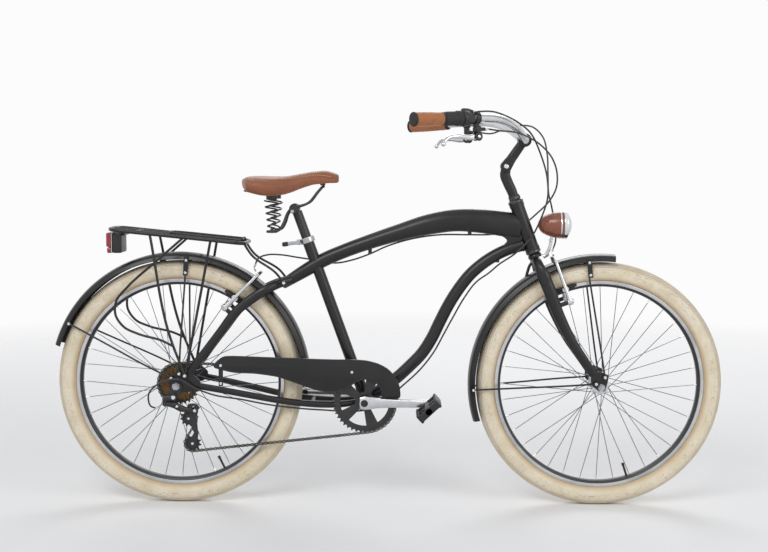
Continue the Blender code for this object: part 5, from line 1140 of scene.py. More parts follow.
class Fenders(Assembly):
    """Rounded guards with rolled edges, stays, straps and their bolts."""

    @staticmethod
    def _shell(x: float, start: float, end: float) -> Shape:
        section = smooth_path([(FENDER_R - FENDER_DEPTH, -FENDER_HALF_W, 0), (FENDER_R - 6, -25, 0),
                               (FENDER_R - 0.8, -11, 0), (FENDER_R, 0, 0), (FENDER_R - 0.8, 11, 0),
                               (FENDER_R - 6, 25, 0), (FENDER_R - FENDER_DEPTH, FENDER_HALF_W, 0)], 2.0)[:,
                                                                                                         :2]
        slope = np.gradient(section, axis=0)
        normal = np.column_stack([slope[:, 1], -slope[:, 0]])
        normal /= np.linalg.norm(normal, axis=1)[:, None]
        lip = [(FENDER_R - FENDER_DEPTH - 1.4, s * (FENDER_HALF_W - 0.6)) for s in (-1, 1)]
        outer, inner = section + normal * 0.7, section - normal * 0.7
        loop = np.vstack([lip[0], outer, lip[1], inner[::-1]])
        sweep = np.radians(np.linspace(start, end, int(abs(end - start) / 1.5) + 1))
        rings = np.stack([np.stack([x + loop[:, 0] * math.cos(a), loop[:, 1],
                                    AXLE_Z + loop[:, 0] * math.sin(a)], -1)
                          for a in sweep])
        return grid(at(rings))

    @staticmethod
    def _stay(start: tuple, end: tuple, eye_y: float, side: int) -> Shape:
        a = np.array([start[0], side * start[1], start[2]], float)
        b = np.array([end[0], side * eye_y, end[2]], float)
        bend = np.array([end[0] * 0.8 + start[0] * 0.2, side * eye_y, end[2] * 0.8 + start[2] * 0.2])
        route = smooth_path([a, a * 0.5 + bend * 0.5, bend, b], 6)
        return tube(route, 2.5, 14) + cross_rod(end[0], end[2], side * (eye_y - 2.6), side * (eye_y + 2.6),
                                                7, 28)

    @staticmethod
    def _strap(x: float, angle: float, side: int) -> tuple[Shape, Shape]:
        radial = np.array([math.cos(math.radians(angle)), 0, math.sin(math.radians(angle))])
        top = np.array([x, side * (FENDER_HALF_W + 0.9), AXLE_Z]) + radial * (FENDER_R - 8)
        low = np.array([x, side * (FENDER_HALF_W + 2.5), AXLE_Z]) + radial * (FENDER_R - 60)
        strap = loft([(*top, 6.5, 1.6), (*(top * 0.5 + low * 0.5), 6.5, 1.6), (*low, 6.5, 1.6)], 6, 28, 4.0)
        bolts = [bolt_head(top * (1 - s) + low * s + np.array([0, side * 1.5, 0]), (0, side, 0), 4.2, 3.0)
                 for s in (0.22, 0.86)]
        return strap, together(bolts)

    def build(self) -> None:
        self.put("front_fender_shell", self._shell(WHEELBASE, 84, 197), Look.PAINT, "front_end",
                 "front_fender")
        self.put("rear_fender_shell", self._shell(0, 10, 163), Look.PAINT, "root", "rear_fender")
        front_eye = FRONT_SPACING / 2 + DROPOUT_T + 3.3
        rear_eye = REAR_SPACING / 2 + DROPOUT_T + 3.3
        front, rear, front_bolts, rear_bolts = [], [], [], []
        for side in (-1, 1):
            front += [self._stay((1103, FENDER_HALF_W + 2, 632), (1147, 0, 361), front_eye, side),
                      self._stay((795, FENDER_HALF_W - 0.6, 319), (1124, 0, 343), front_eye, side)]
            rear += [self._stay((21, FENDER_HALF_W + 2, 635), (9, 0, 367), rear_eye, side),
                     self._stay((-299, FENDER_HALF_W - 0.6, 496), (-12, 0, 355), rear_eye, side)]
            strap, bolts = self._strap(WHEELBASE, 96, side)
            front.append(strap)
            front_bolts.append(bolts)
            strap, bolts = self._strap(0, 86, side)
            rear.append(strap)
            rear_bolts.append(bolts)
            for x, z in ((1147, 361), (1124, 343)):
                front_bolts.append(bolt_head((x, side * (front_eye + 2.6), z), (0, side, 0), 4.6, 3.2))
            front_bolts.append(bolt_head((798, side * (FENDER_HALF_W + 1.4), 319), (0, side, 0), 4.0, 2.6))
            rear_bolts.append(bolt_head((-12, side * (rear_eye + 2.6), 355), (0, side, 0), 4.6, 3.2))
            rear_bolts.append(bolt_head((9, side * (rear_eye + 2.6), 367), (0, side, 0), 4.6, 3.2))
            rear_bolts.append(bolt_head((-296, side * (FENDER_HALF_W + 1.4), 494), (0, side, 0), 4.0, 2.6))
        front.append(tube(smooth_path([(938, 0, 622), (942.5, 0, 640), (948, 0, 656), (960, 0, 670)], 3), 4, 16))
        direction = unit(np.array([262.0, 0.0, 602.0 - AXLE_Z]))
        base = np.array([0.0, 0.0, AXLE_Z])
        reach = math.hypot(262, 602 - AXLE_Z) - 7.3
        rear.append(rod(base + direction * (FENDER_R - 3), base + direction * reach, 6))
        self.put("front_fender_stays", together(front), Look.PAINT, "front_end")
        self.put("rear_fender_stays", together(rear), Look.PAINT, "root")
        self.put("front_fender_bolts", together(front_bolts), Look.CHROME, "front_end")
        self.put("rear_fender_bolts", together(rear_bolts), Look.CHROME, "root")


class Fork(Assembly):
    """Fork blades, crown, ends and the headset's top nut."""

    def build(self) -> None:
        top = HEAD_LEN + 11.3
        pieces = [rod(head_point(-16), head_point(top + 12), 12.7, sides=40),
                  turned([(12.6, 0), (18, 0), (18.6, 2), (18.6, 6), (17, 10), (12.6, 10.6)],
                         head_point(-22), STEER_DIR, 48, 0.6)]
        for flip in (False, True):
            half = [loft(FORK_BLADE, 5, 32),
                    flat_plate(FORK_END, -FRONT_SPACING / 2 - DROPOUT_T, -FRONT_SPACING / 2, ease=1.0,
                               rounding=2.5),
                    rod(FRONT_BRAKE - FRONT_BRAKE_AXIS * 44, FRONT_BRAKE - FRONT_BRAKE_AXIS * 7.4, 6.0)]
            pieces += [s.mirrored() if flip else s for s in half]
        self.put("fork_blades", together(pieces), Look.PAINT, "front_end", "fork")
        nut = turned([(11.6, 0), (17.5, 0), (18, 1), (18, 7), (16.4, 10), (12.4, 10.6)], head_point(top),
                     STEER_DIR, 6, 0.0)
        ring = turned([(12.9, 10), (15.6, 10), (15.6, 12.2), (12.9, 12.2)], head_point(top), STEER_DIR, 40,
                      0.4, True)
        self.put("headset_nut", nut + ring, Look.GLOSS_BLACK, "front_end")


class Brakes(Assembly):
    """Linear-pull brakes with pads, bolts, noodles and the wire between the arms."""

    def _arm(self, pivot: np.ndarray, axis: np.ndarray, along: np.ndarray, length: float,
             wheel_x: float) -> dict:
        base = pivot.copy()
        lean = np.array([0.0, 1.0, 0.0])
        path = [(*(base - along * 2), 9, 6.5), (*(base + along * 20 + lean * 1.5), 8.2, 5.2),
                (*(base + along * 38 + lean * 3), 8, 5), (*(base + along * (length - 30) + lean * 6), 6.2,
                                                          4.4),
                (*(base + along * length + lean * 8), 4.6, 4.2)]
        eye = rod(base - axis * 7, base + axis * 6.5, 9, sides=40, chamfer=1.0)
        arm = self._blade(path, axis) + eye
        bridge = base + along * 38
        radial = unit(np.array([bridge[0] - wheel_x, 0, bridge[2] - AXLE_Z]))
        tangent = np.array([-radial[2], 0, radial[0]])
        spot = np.array([wheel_x, 0, AXLE_Z]) + radial * (RIM_INNER_R + 8 + RIM_OUTER_R) / 2
        face = -(RIM_W / 2 + 1.6)
        pad_line = [(spot + tangent * t + LEFT * (face - 5.5)) for t in (-33, -28, 0, 28, 33)]
        pad = loft([(*p, h, w) for p, h, w in zip(pad_line, (3.2, 4.5, 4.5, 4.5, 3.2),
                                                  (3.2, 5.2, 5.4, 5.2, 3.2))],
                   3, 28, 3.2)
        post = rod((spot[0], -24, spot[2]), (spot[0], -46, spot[2]), 3.4)
        hardware = [hex_nut((spot[0], -46, spot[2]), -LEFT, 6.2, 5), bolt_head(base + axis * 6.5, axis,
                                                                               6.2, 4.2),
                    rod(base + along * (length - 6) - LEFT * -3, base + along * (length - 6) - LEFT * 6, 3.4),
                    turned([(4, 0), (8.4, 0), (8.4, 1.4), (4, 1.4)], (spot[0], -41, spot[2]), LEFT, 32,
                           0.4, True)]
        return {"arm": arm, "pad": pad, "post": post, "hardware": together(hardware)}

    @staticmethod
    def _blade(stations: list, axis: np.ndarray) -> Shape:
        """A flat forged arm whose broad side faces along its pivot's axis."""
        p = smooth_path(stations, 4)
        ahead = np.gradient(p[:, :3], axis=0)
        ahead /= np.linalg.norm(ahead, axis=1)[:, None]
        side = np.cross(ahead, axis)
        side /= np.linalg.norm(side, axis=1)[:, None]
        rise = np.cross(side, ahead)
        turn = 2 * math.pi * np.arange(28) / 28
        ca = np.sign(np.cos(turn)) * np.abs(np.cos(turn)) ** 0.6
        sa = np.sign(np.sin(turn)) * np.abs(np.sin(turn)) ** 0.6
        rings = (p[:, None, :3] + side[:, None] * (p[:, 3][:, None] * ca)[:, :, None]
                 + rise[:, None] * (p[:, 4][:, None] * sa)[:, :, None])
        return grid(at(rings))

    def build(self) -> None:
        for end, pivot, axis, along, length, x in (
                ("rear", REAR_BRAKE, REAR_BRAKE_AXIS, REAR_BRAKE_ARM, 128.0, 0.0),
                ("front", FRONT_BRAKE, FRONT_BRAKE_AXIS, FRONT_BRAKE_ARM, 122.0, WHEELBASE)):
            parts = self._arm(pivot, axis, along, length, x)
            for word, flip in (("right", False), ("left", True)):
                body = "%s_arm_%s" % (end, word)
                shapes = {k: s.mirrored() if flip else s for k, s in parts.items()}
                stem = "%s_%s_brake" % (end, word)
                self.put(stem + "_casting", shapes["arm"], Look.SILVER, body, "%s_brake_arm_%s" % (end, word))
                self.put(stem + "_pad", shapes["pad"], Look.RUBBER, body)
                self.put(stem + "_bolts", shapes["hardware"] + shapes["post"], Look.CHROME, body)
            tip = pivot + along * (length - 4) + LEFT * 8
            self._noodle(end, tip)

    def _noodle(self, end: str, tip: np.ndarray) -> None:
        """The bent guide from the cable's end to the arm, the bare wire and its rubber boot."""
        if end == "rear":
            route = [(206, -28, 650), (209, -38, 645), (213, -46, 638), (tip[0] - 1, -47.5, tip[2] + 2),
                     (tip[0], -42, tip[2])]
        else:
            route = [(1006, -30, 690), (1005.5, -40, 687.5), (1007, -48.5, 682),
                     (tip[0] - 1.5, -47.5, tip[2] + 1.5),
                     (tip[0], -42, tip[2])]
        self.put(end + "_noodle", tube(smooth_path(route, 2), 2.6, 18), Look.CHROME, "%s_arm_right" % end)
        wire = tube(np.array([(tip[0], -38, tip[2]), (tip[0], 38, tip[2])]), 0.8, 8)
        self.put(end + "_cross_wire", wire, Look.SPOKE, "%s_arm_right" % end)
        count = 8
        boot = [(1.2, -18)]
        for k in range(count):
            boot += [(4.4, -18 + k * 36 / count + 1.4), (3.2, -18 + (k + 1) * 36 / count - 0.8)]
        boot.append((1.2, 18))
        self.put(end + "_wire_boot", turned(boot, (tip[0], 0, tip[2]), LEFT, 28, 0.6), Look.RUBBER,
                 "%s_arm_right" % end)


class Cockpit(Assembly):
    """Stem, bar, grips, twist shifter and brake levers."""

    @staticmethod
    def _axis(side: int) -> np.ndarray:
        return np.array([BAR_DIR[0], BAR_DIR[1] if side < 0 else -BAR_DIR[1], BAR_DIR[2]])

    @staticmethod
    def _on_bar(distance: float, side: int) -> np.ndarray:
        point = BAR_END + BAR_DIR * distance
        return np.array([point[0], side * abs(point[1]), point[2]])

    def build(self) -> None:
        self._stem()
        inner = [(928, -24, 992), (922, -44, 998), (904, -82, 1017), (876, -122, 1034), (840, -163, 1043)]
        right = inner + [tuple(BAR_ELBOW), tuple(BAR_ELBOW * 0.5 + BAR_END * 0.5),
                         tuple(BAR_END + BAR_DIR * 3)]
        left = [(x, -y, z) for x, y, z in right]
        route = smooth_path([*reversed(right), (928, 0, 992), *left], 4)
        self.put("bar_tube", tube(route, BAR_R, 36, chamfer=1.0), Look.SILVER, "bars", "handlebar")
        self._grips()
        self._shifter()
        for side, word in ((-1, "right"), (1, "left")):
            self._lever(side, word)

    def _stem(self) -> None:
        quill = [rod(head_point(20), head_point(HEAD_LEN + 36), 11.1, sides=40),
                 loft([(*head_point(HEAD_LEN + 24), 13, 13), (*head_point(HEAD_LEN + 33), 13.5, 13),
                       (885, 0, 880, 14, 11), (878, 0, 900, 14, 7.4), (880, 0, 915, 13, 7.2)], 3, 36, 2.4),
                 cross_rod(STEM_PIVOT[0], STEM_PIVOT[2], -8, 8, 15, 48)]
        self.put("stem_post", together(quill), Look.PAINT, "front_end", "stem_quill")
        along = unit(BAR_CLAMP - STEM_PIVOT)
        arm = [cross_rod(BAR_CLAMP[0], BAR_CLAMP[2], -20, 20, 18, 56, 1.6),
               loft([(*(STEM_PIVOT + along * 20), 13, 13), (*(STEM_PIVOT + along * 45), 12.6, 13),
                     (*(STEM_PIVOT + along * 76), 12, 15)], 4, 36, 2.6)]
        ears = []
        for side in (-1, 1):
            outline = []
            for a in np.radians(np.linspace(90, 270, 17)):
                outline.append(STEM_PIVOT + 15.0 * (along * math.cos(a) + np.array([-along[2], 0, along[0]]) * math.sin(a)))
            tail = STEM_PIVOT + along * 30
            normal = np.array([-along[2], 0, along[0]])
            outline += [tail - normal * 11, tail + normal * 11]
            ears.append(flat_plate([(p[0], p[2]) for p in outline], side * 8.3, side * 14.3, ease=1.2,
                                   rounding=0))
        self.put("stem_extension", together(arm + ears), Look.PAINT, "bars", "stem_arm")
        bolts = [bolt_head(STEM_PIVOT + LEFT * side * 14.2, (0, side, 0), 7.0, 4.5) for side in (-1, 1)]
        cap_normal = np.array([-along[2], 0, along[0]])
        for side in (-1, 1):
            spot = BAR_CLAMP + along * 14 + cap_normal * 10 + LEFT * side * 11
            bolts.append(bolt_head(spot, along * 0.6 + cap_normal * 0.8, 4.0, 4.0))
        self.put("stem_bolts", together(bolts), Look.CHROME, "bars")

    def _grips(self) -> None:
        for side, word, length in ((-1, "right", GRIP_LEN), (1, "left", LEFT_GRIP_LEN)):
            axis, start = self._axis(side), self._on_bar(0, side)
            profile = [(11.3, 6.5), (15.6, 6.5)]
            for s in np.arange(8.0, length - 5.5, 0.7):
                share = s / length
                waist = 16.0 + 0.9 * math.sin(math.pi * min(share * 1.3, 1.0)) - 0.6 * share
                profile.append((waist + 0.42 * math.cos(2 * math.pi * s / 5.6), s))
            profile += [(15.2, length - 5.2), (11.3, length - 5.2)]
            self.put(word + "_grip_wrap", turned(profile, start, axis, 56), Look.GRIP, "bars", word + "_grip",
                     sharp=60.0)
            cap = [(0, 0), (14, 0), (17.4, 1.2), (18, 3), (18, 5), (16.6, 6.8), (11.3, 6.8)]
            collar = [(11.3, length - 5.4), (16.0, length - 5.4), (16.2, length - 3), (15.2, length),
                      (11.3, length)]
            self.put(word + "_grip_caps", turned(cap, start, axis, 56, 0.6) + turned(collar, start, axis,
                                                                                     56, 0.5),
                     Look.RUBBER, "bars")
            down = unit(np.cross(np.cross(axis, -UP), axis))
            rows = []
            for offset in (-2.6, 2.6):
                way = unit(down * 16.6 + np.cross(axis, down) * offset)
                line = np.array([start + axis * s + way * (16.75 + 0.9 * math.sin(math.pi * min(s / length * 1.3, 1.0))
                                                           - 0.6 * s / length) for s in np.arange(10, length - 8, 2.0)])
                rows.append(stitches(line, 3.6, 2.0, 0.5))
            self.put(word + "_grip_stitching", together(rows), Look.THREAD, "bars")

    def _shifter(self) -> None:
        axis = self._axis(-1)
        start = self._on_bar(GRIP_LEN + 0.3, -1)
        heights = [0, 1.2, 6, 9, 33, 36, 40, 43, TWIST_LEN - 3, TWIST_LEN - 1]
        radii = [15.6, 16, 16.4, 16.9, 16.9, 17.6, 18.8, 19, 19, 18.2]
        steps = 120
        side = unit(np.cross(axis, UP))
        rise = np.cross(axis, side)
        rings = []
        for h, r in zip(heights, radii):
            turn = 2 * math.pi * np.arange(steps) / steps
            flute = 0.55 * np.maximum(np.cos(turn * 20), -0.3) if 6 <= h <= 40 else np.zeros(steps)
            rr = r + flute
            rings.append(start + axis * h + (side[None] * np.cos(turn)[:, None] + rise[None] * np.sin(turn)[:, None])
                         * rr[:, None])
        sleeve = grid(at(np.array(rings)))
        self.put("twist_sleeve", sleeve, Look.RUBBER, "twist_grip", "shifter_grip", sharp=50.0)
        base = self._on_bar(GRIP_LEN + TWIST_LEN + 0.3, -1)
        drum = turned([(11.4, 0), (19, 0), (20.4, 2), (21, 7), (20.6, 12), (18, 24), (15.2, 35), (11.4, 36)],
                      base, axis, 64, 0.8)
        out = unit(np.cross(axis, UP))
        lift = np.cross(out, axis)
        ridge = smooth_path([base + lift * 18.6 + axis * 4, base + lift * 18.6 + axis * 12,
                             base + lift * 18 + axis * 21, base + out * 8 + lift * 15 + axis * 33], 2.0)
        swell = np.interp(np.linspace(0, 1, len(ridge)), [0, 0.1, 0.6, 1], [5.6, 6.8, 6.2, 4])
        hump = tube(ridge, swell, 28)
        self.put("shifter_housing", drum + hump, Look.PLASTIC, "bars", "shifter_body")
        ticks = [rod(base + lift * 24.4 + axis * (6 + 2.4 * k) - out * 3.0,
                     base + lift * 24.4 + axis * (6 + 2.4 * k)
                     + out * 3.0, 0.32, sides=8, chamfer=0.1) for k in range(7)]
        self.put("shifter_marks", together(ticks), Look.GREY_LENS, "bars")

    def _lever(self, side: int, word: str) -> None:
        axis = self._axis(side)
        centre = self._on_bar(LEVER_AT, side)
        across = unit(np.cross(axis, UP))
        pivot = centre - UP * 46.0 + axis * 4
        neck = pivot + UP * 18
        pieces = [turned([(11.4, -7), (15, -7), (16, -6), (16, 6), (15, 7), (11.4, 7)], centre, axis, 48,
                         0.6, True),
                  loft([(*(centre - UP * 12), 8.5, 8.5), (*(centre - UP * 18), 8, 8), (*neck, 8.6, 8.6)],
                       3, 28, 2.6),
                  rod(neck - across * 9, neck + across * 9, 9, chamfer=1.4),
                  rod(neck + axis * 4, neck + axis * 24, 5.5, 4.6)]
        for sign in (-1, 1):
            pieces.append(rod(pivot + across * sign * 5.4, pivot + across * sign * 9.5, 11, sides=40,
                              chamfer=1.0))
            pieces.append(loft([(*(pivot + across * sign * 7.4 + UP * 2), 3.8, 2),
                                (*(neck + across * sign * 7.2), 3.8, 2)],
                               3, 20, 3.0))
        self.put("lever_mount_" + word, together(pieces), Look.PLASTIC, "bars", "brake_bracket_" + word)
        barrel = [(4.6, 0), (4.6, 1.5), (3.9, 2.2), (4.6, 3), (4.6, 8), (3.4, 9), (3.0, 14), (0.01, 14)]
        hardware = [turned(barrel, neck + axis * 20, axis, 32, 0.3), bolt_head(pivot - across * 9.4,
                                                                               -across, 4.4, 2.4),
                    bolt_head(pivot + across * 9.4, across, 4.4,
                              2.4), bolt_head(centre - UP * 15.5 - across * 7, -across, 3.4, 3)]
        self.put("lever_hardware_" + word, together(hardware), Look.CHROME, "bars")
        tip = [pivot + axis * 3, pivot, pivot - axis * 24 - UP * 2, pivot - axis * 60 + UP * 2,
               pivot - axis * 92 - UP * 3, pivot - axis * 104 - UP * 16]
        half = [(5.5, 4.2), (6.5, 4.6), (6.4, 5.0), (5.4, 5.2), (4.2, 4.4), (3.8, 3.8)]
        blade = loft([(*p, h, w) for p, (h, w) in zip(tip, half)], 3, 28, 2.6)
        self.put("lever_blade_" + word, blade + rod(pivot - across * 4.7, pivot + across * 4.7, 8,
                                                    chamfer=1.0)
                 + ball(tip[-1], 6.2), Look.SILVER, word + "_lever", "brake_lever_" + word)


class Lights(Assembly):
    """Bullet headlight on its bracket, and the tail light."""

    def build(self) -> None:
        centre = (968, 0, 766)
        profile = smooth_path([(0.1, 0, 0), (6, 0.8, 0), (12, 3.4, 0), (20, 9.6, 0), (27.5, 22, 0),
                               (33, 38, 0),
                               (36, 54, 0), (37.2, 66, 0)], 2.0)[:, :2]
        shell = turned([tuple(p) for p in profile] + [(37.2, 70), (34.6, 70), (34.2, 64)], centre, FORWARD,
                       72)
        self.put("headlight_shell", shell, Look.SHELL_BROWN, "front_end", "headlight_body")
        bezel = turned([(34.6, 68), (37.6, 68), (38.2, 70), (38.4, 76), (37.4, 78.4), (35, 79), (33.2, 76),
                        (33.2, 68)],
                       centre, FORWARD, 72, 0.6, True)
        band = turned([(36.6, 58.4), (37.6, 58.6), (37.9, 60.4), (37.4, 61.8), (36.6, 62)], centre,
                      FORWARD, 72, 0.3)
        self.put("headlight_bezel", bezel + band, Look.CHROME, "front_end")
        dome = [(0.01, 91.5), (8, 91), (16, 89), (24, 85.4), (30, 81), (33.6, 77), (33.4, 66), (0.01, 65)]
        self.put("headlight_glass", turned([(r, h) for r, h in dome], centre, FORWARD, 72, 1.0), Look.GLASS,
                 "front_end", "headlight_lens")
        jewel = [(0.01, 3.0), (2.6, 2.4), (4.2, 0.6), (4.4, -2), (0.01, -2)]
        self.put("headlight_jewel", turned(jewel, (990, -27, 779), (-0.35, -0.85, 0.4), 28, 0.4), Look.RED,
                 "front_end")
        bracket = smooth_path([(1006, 0, 742), (1005, 0, 730), (1003, 0, 716), (996, 0, 694),
                               (989, 0, 684)], 3)
        foot = rod((983, 0, 680), (995, 0, 687), 6.5)
        strap = [self._strap(bracket), foot]
        self.put("headlight_bracket", together(strap), Look.SILVER, "front_end")
        bolts = [bolt_head((1004, -7.6, 724), (0, -1, 0), 4.4, 3.4), hex_nut((1004, 7.2, 724), LEFT, 5.2, 4),
                 bolt_head((995, 0, 687), (0.86, 0, 0.5), 5.4, 4)]
        self.put("headlight_bolts", together(bolts), Look.CHROME, "front_end")
        self._tail()

    @staticmethod
    def _strap(route: np.ndarray) -> Shape:
        return loft([(*p, 4.4, 6.8) for p in route], 3, 28, 4.0, smooth=False)

    def _tail(self) -> None:
        housing = box((-176, -34, 686), (-150.3, 34, 741), 5, 4)
        self.put("tail_housing", housing, Look.PLASTIC, "root", "tail_light_housing")
        lens = box((-192, -34, 702), (-176.3, 34, 741), 5, 4)
        self.put("tail_lens", lens, Look.RED, "root", "tail_light_lens")
        facets = box((-190, -33, 686), (-176.3, 33, 701), 4, 4)
        self.put("tail_reflector", facets, Look.RED, "root")
        rim = [box((-177.4, -34.4, 685.6), (-175.6, 34.4, 741.4), 0.8, 2)]
        self.put("tail_rim", together(rim), Look.CHROME, "root")


class Saddle(Assembly):
    """Cushion, springs, rails and post."""

    STATIONS = [
        (176, 886, 44, 16, 8), (183, 890, 72, 26, 22), (190, 892, 92, 34, 34), (215, 894, 103, 46, 40),
        (250, 894, 96, 52, 40), (290, 895, 66, 50, 36), (330, 901, 40, 42, 28), (370, 907, 29, 36, 22),
        (405, 908, 23, 33, 8), (428, 900, 15, 24, 8),
    ]

    def build(self) -> None:
        self._cushion()
        self._springs()
        self._rails()
        self._post()

    def _section(self, top: float, half_w: float, depth: float, under: float, count: int = 64) -> np.ndarray:
        """One closed section: a crowned top, full sides that draw in below, and a nearly flat base."""
        key = [(0, 0.0), (half_w * 0.28, -0.4), (half_w * 0.55, -2.2), (half_w * 0.8, -depth * 0.13),
               (half_w * 0.955, -depth * 0.3), (half_w, -depth * 0.5), (half_w * 0.985, -depth * 0.74),
               (half_w * 0.95, -depth * 0.9), (half_w * 0.89, -depth * 0.98), (half_w * 0.78, -(depth * 0.6 + under * 0.4)),
               (half_w * 0.55, -under), (half_w * 0.25, -under), (0, -under)]
        line = smooth_path([(w, d, 0) for w, d in key], 0.5)[:, :2]
        steps = np.concatenate([[0], np.cumsum(np.linalg.norm(np.diff(line, axis=0), axis=1))])
        even = np.linspace(0, steps[-1], count // 2 + 1)
        right = np.column_stack([np.interp(even, steps, line[:, k]) for k in (0, 1)])
        loop = np.vstack([right, right[-2:0:-1] * np.array([-1, 1])])
        return np.column_stack([-loop[:, 0], top + loop[:, 1]])

    def _cushion(self) -> None:
        table = np.array(self.STATIONS, float)
        xs = np.concatenate([np.linspace(176, 200, 9), np.arange(204, 424, 4.0), [425, 428]])
        dense = self._through(table, xs)
        nose_scale = [(174.4, 0.55), (175.1, 0.85)]
        rings = []
        first = dense[0]
        for x, share in nose_scale:
            rings.append(self._ring(x, first, share))
        for x, row in zip(xs, dense):
            rings.append(self._ring(x, row, 1.0))
        last = dense[-1]
        for x, share in ((430.2, 0.86), (431.4, 0.55), (431.8, 0.2)):
            rings.append(self._ring(x, last, share))
        rings = np.array(rings)
        self._plump(rings)
        cushion = self.put("saddle_cushion", grid(at(rings)), Look.LEATHER, "saddle", "saddle_cover",
                           sharp=80.0)
        self._seams(rings)
        cups = []
        for side in (-1, 1):
            cups.append(turned([(0.01, 0), (14, 0), (15, 1.2), (15, 24), (0.01, 24)],
                               (SPRING_X, side * SPRING_Y, 831.6), UP, 48, 0.6))
        base = loft([(196, 0, 853, 3, 62), (220, 0, 851, 3, 82), (256, 0, 851, 3, 74), (300, 0, 858, 3, 44),
                     (350, 0, 876, 3, 22), (396, 0, 884, 3, 17)], 4, 40, 4.0)
        pocket = box((382, -13, 869.0), (395, 13, 888), 2)
        self.put("saddle_base", together(cups + [base, pocket]), Look.PLASTIC, "saddle")

    @staticmethod
    def _through(table: np.ndarray, xs: np.ndarray) -> np.ndarray:
        """The stations' values at other places along the saddle."""
        slope = np.gradient(table[:, 1:], table[:, 0], axis=0)
        i = np.clip(np.searchsorted(table[:, 0], xs, side="right") - 1, 0, len(table) - 2)
        h = (table[i + 1, 0] - table[i, 0])[:, None]
        u = (xs - table[i, 0])[:, None] / h
        p, q = table[i, 1:], table[i + 1, 1:]
        return ((1 + 2 * u) * (1 - u) ** 2 * p + u * (1 - u) ** 2 * h * slope[i]
                + u ** 2 * (3 - 2 * u) * q + u ** 2 * (u - 1) * h * slope[i + 1])

    def _ring(self, x: float, row: np.ndarray, share: float) -> np.ndarray:
        top, half_w, depth, under = row
        middle = top - depth / 2
        section = self._section(top, half_w, depth, under)
        return np.column_stack([np.full(len(section), x), section[:, 0] * share,
                                middle + (section[:, 1] - middle) * share])

    @staticmethod
    def _plump(rings: np.ndarray) -> None:
        """Press the seam in, raise the padding each side of it, and dip the middle of the seat."""
        n, m = rings.shape[:2]
        centre = rings.mean(axis=1, keepdims=True)
        out = rings - centre
        out[:, :, 0] = 0
        out /= np.maximum(np.linalg.norm(out, axis=2, keepdims=True), 1e-6)
        place = np.minimum(np.arange(m), m - np.arange(m)) / (m / 2)
        seam = np.exp(-((place - 0.40) / 0.012) ** 2) * -1.5
        swell = 0.9 * np.exp(-((place - 0.33) / 0.05) ** 2) + 0.7 * np.exp(-((place - 0.50) / 0.08) ** 2)
        rings += out * (seam + swell)[None, :, None]
        along = (rings[:, 0, 0] - 176) / 252
        dip = np.exp(-((along - 0.42) / 0.2) ** 2) * 2.0
        rings[:, :, 2] -= dip[:, None] * np.exp(-(place / 0.14) ** 2)[None, :]

    def _seams(self, rings: np.ndarray) -> None:
        """Thread along both sides of the top panel and a piped edge below."""
        m = rings.shape[1]
        rows, piping = [], []
        for index in (int(0.372 * m / 2), m - int(0.372 * m / 2)):
            line = rings[6:-6, index]
            out = line - rings[6:-6].mean(axis=1)
            out[:, 0] = 0
            line = line + out / np.linalg.norm(out, axis=1)[:, None] * 0.35
            rows.append(stitches(smooth_path(line, 1.0), 4.6, 2.0, 0.65))
        self.put("saddle_stitching", together(rows), Look.THREAD, "saddle")
        for index in (int(0.62 * m / 2), m - int(0.62 * m / 2)):
            piping.append(rings[3:-4, index])
        loop = np.vstack([piping[0], piping[1][::-1]])
        self.put("saddle_piping", tube(loop, 1.5, 14, closed=True), Look.LEATHER, "saddle", sharp=80.0)

    def _springs(self) -> None:
        turns = np.linspace(0, 1, int(SPRING_TURNS * 28) + 1)
        for side, word in ((-1, "right"), (1, "left")):
            angle = turns * SPRING_TURNS * 2 * math.pi
            radius = 10 + 9 * turns
            path = np.column_stack([SPRING_X + radius * np.cos(angle),
                                    side * SPRING_Y + radius * np.sin(angle),
                                    SPRING_LOW + (SPRING_HIGH - SPRING_LOW) * turns])
            self.put("coil_" + word, tube(path, 2.2, 16, chamfer=0.5), Look.BLACK_STEEL, "saddle",
                     "saddle_spring_" + word)

    def _rails(self) -> None:
        half = [(SPRING_X, -SPRING_Y, SPRING_LOW - 6), (273, -43, 750), (285, -33, 768), (294, -24, 792),
                (301, -22, 803), (313, -22, 811), (330, -22, 814), (350, -22, 822), (376, -16, 852), (388, -8, 865)]
        other = [(x, -y, z) for x, y, z in reversed(half)]
        pieces = [tube(smooth_path(half + [(391, 0, 866)] + other, 3), 3.5, 18),
                  rod((SPRING_X, -SPRING_Y, SPRING_LOW - 6), (SPRING_X, SPRING_Y, SPRING_LOW - 6), 3)]
        for side in (-1, 1):
            pieces.append(turned([(0.01, 0), (14, 0), (15, 1), (15, 5.6), (13.6, 6.5), (0.01, 6.5)],
                                 (SPRING_X, side * SPRING_Y, SPRING_LOW - 9), UP, 48, 0.4))
        self.put("saddle_wire", together(pieces), Look.BLACK_STEEL, "saddle", "saddle_rails")

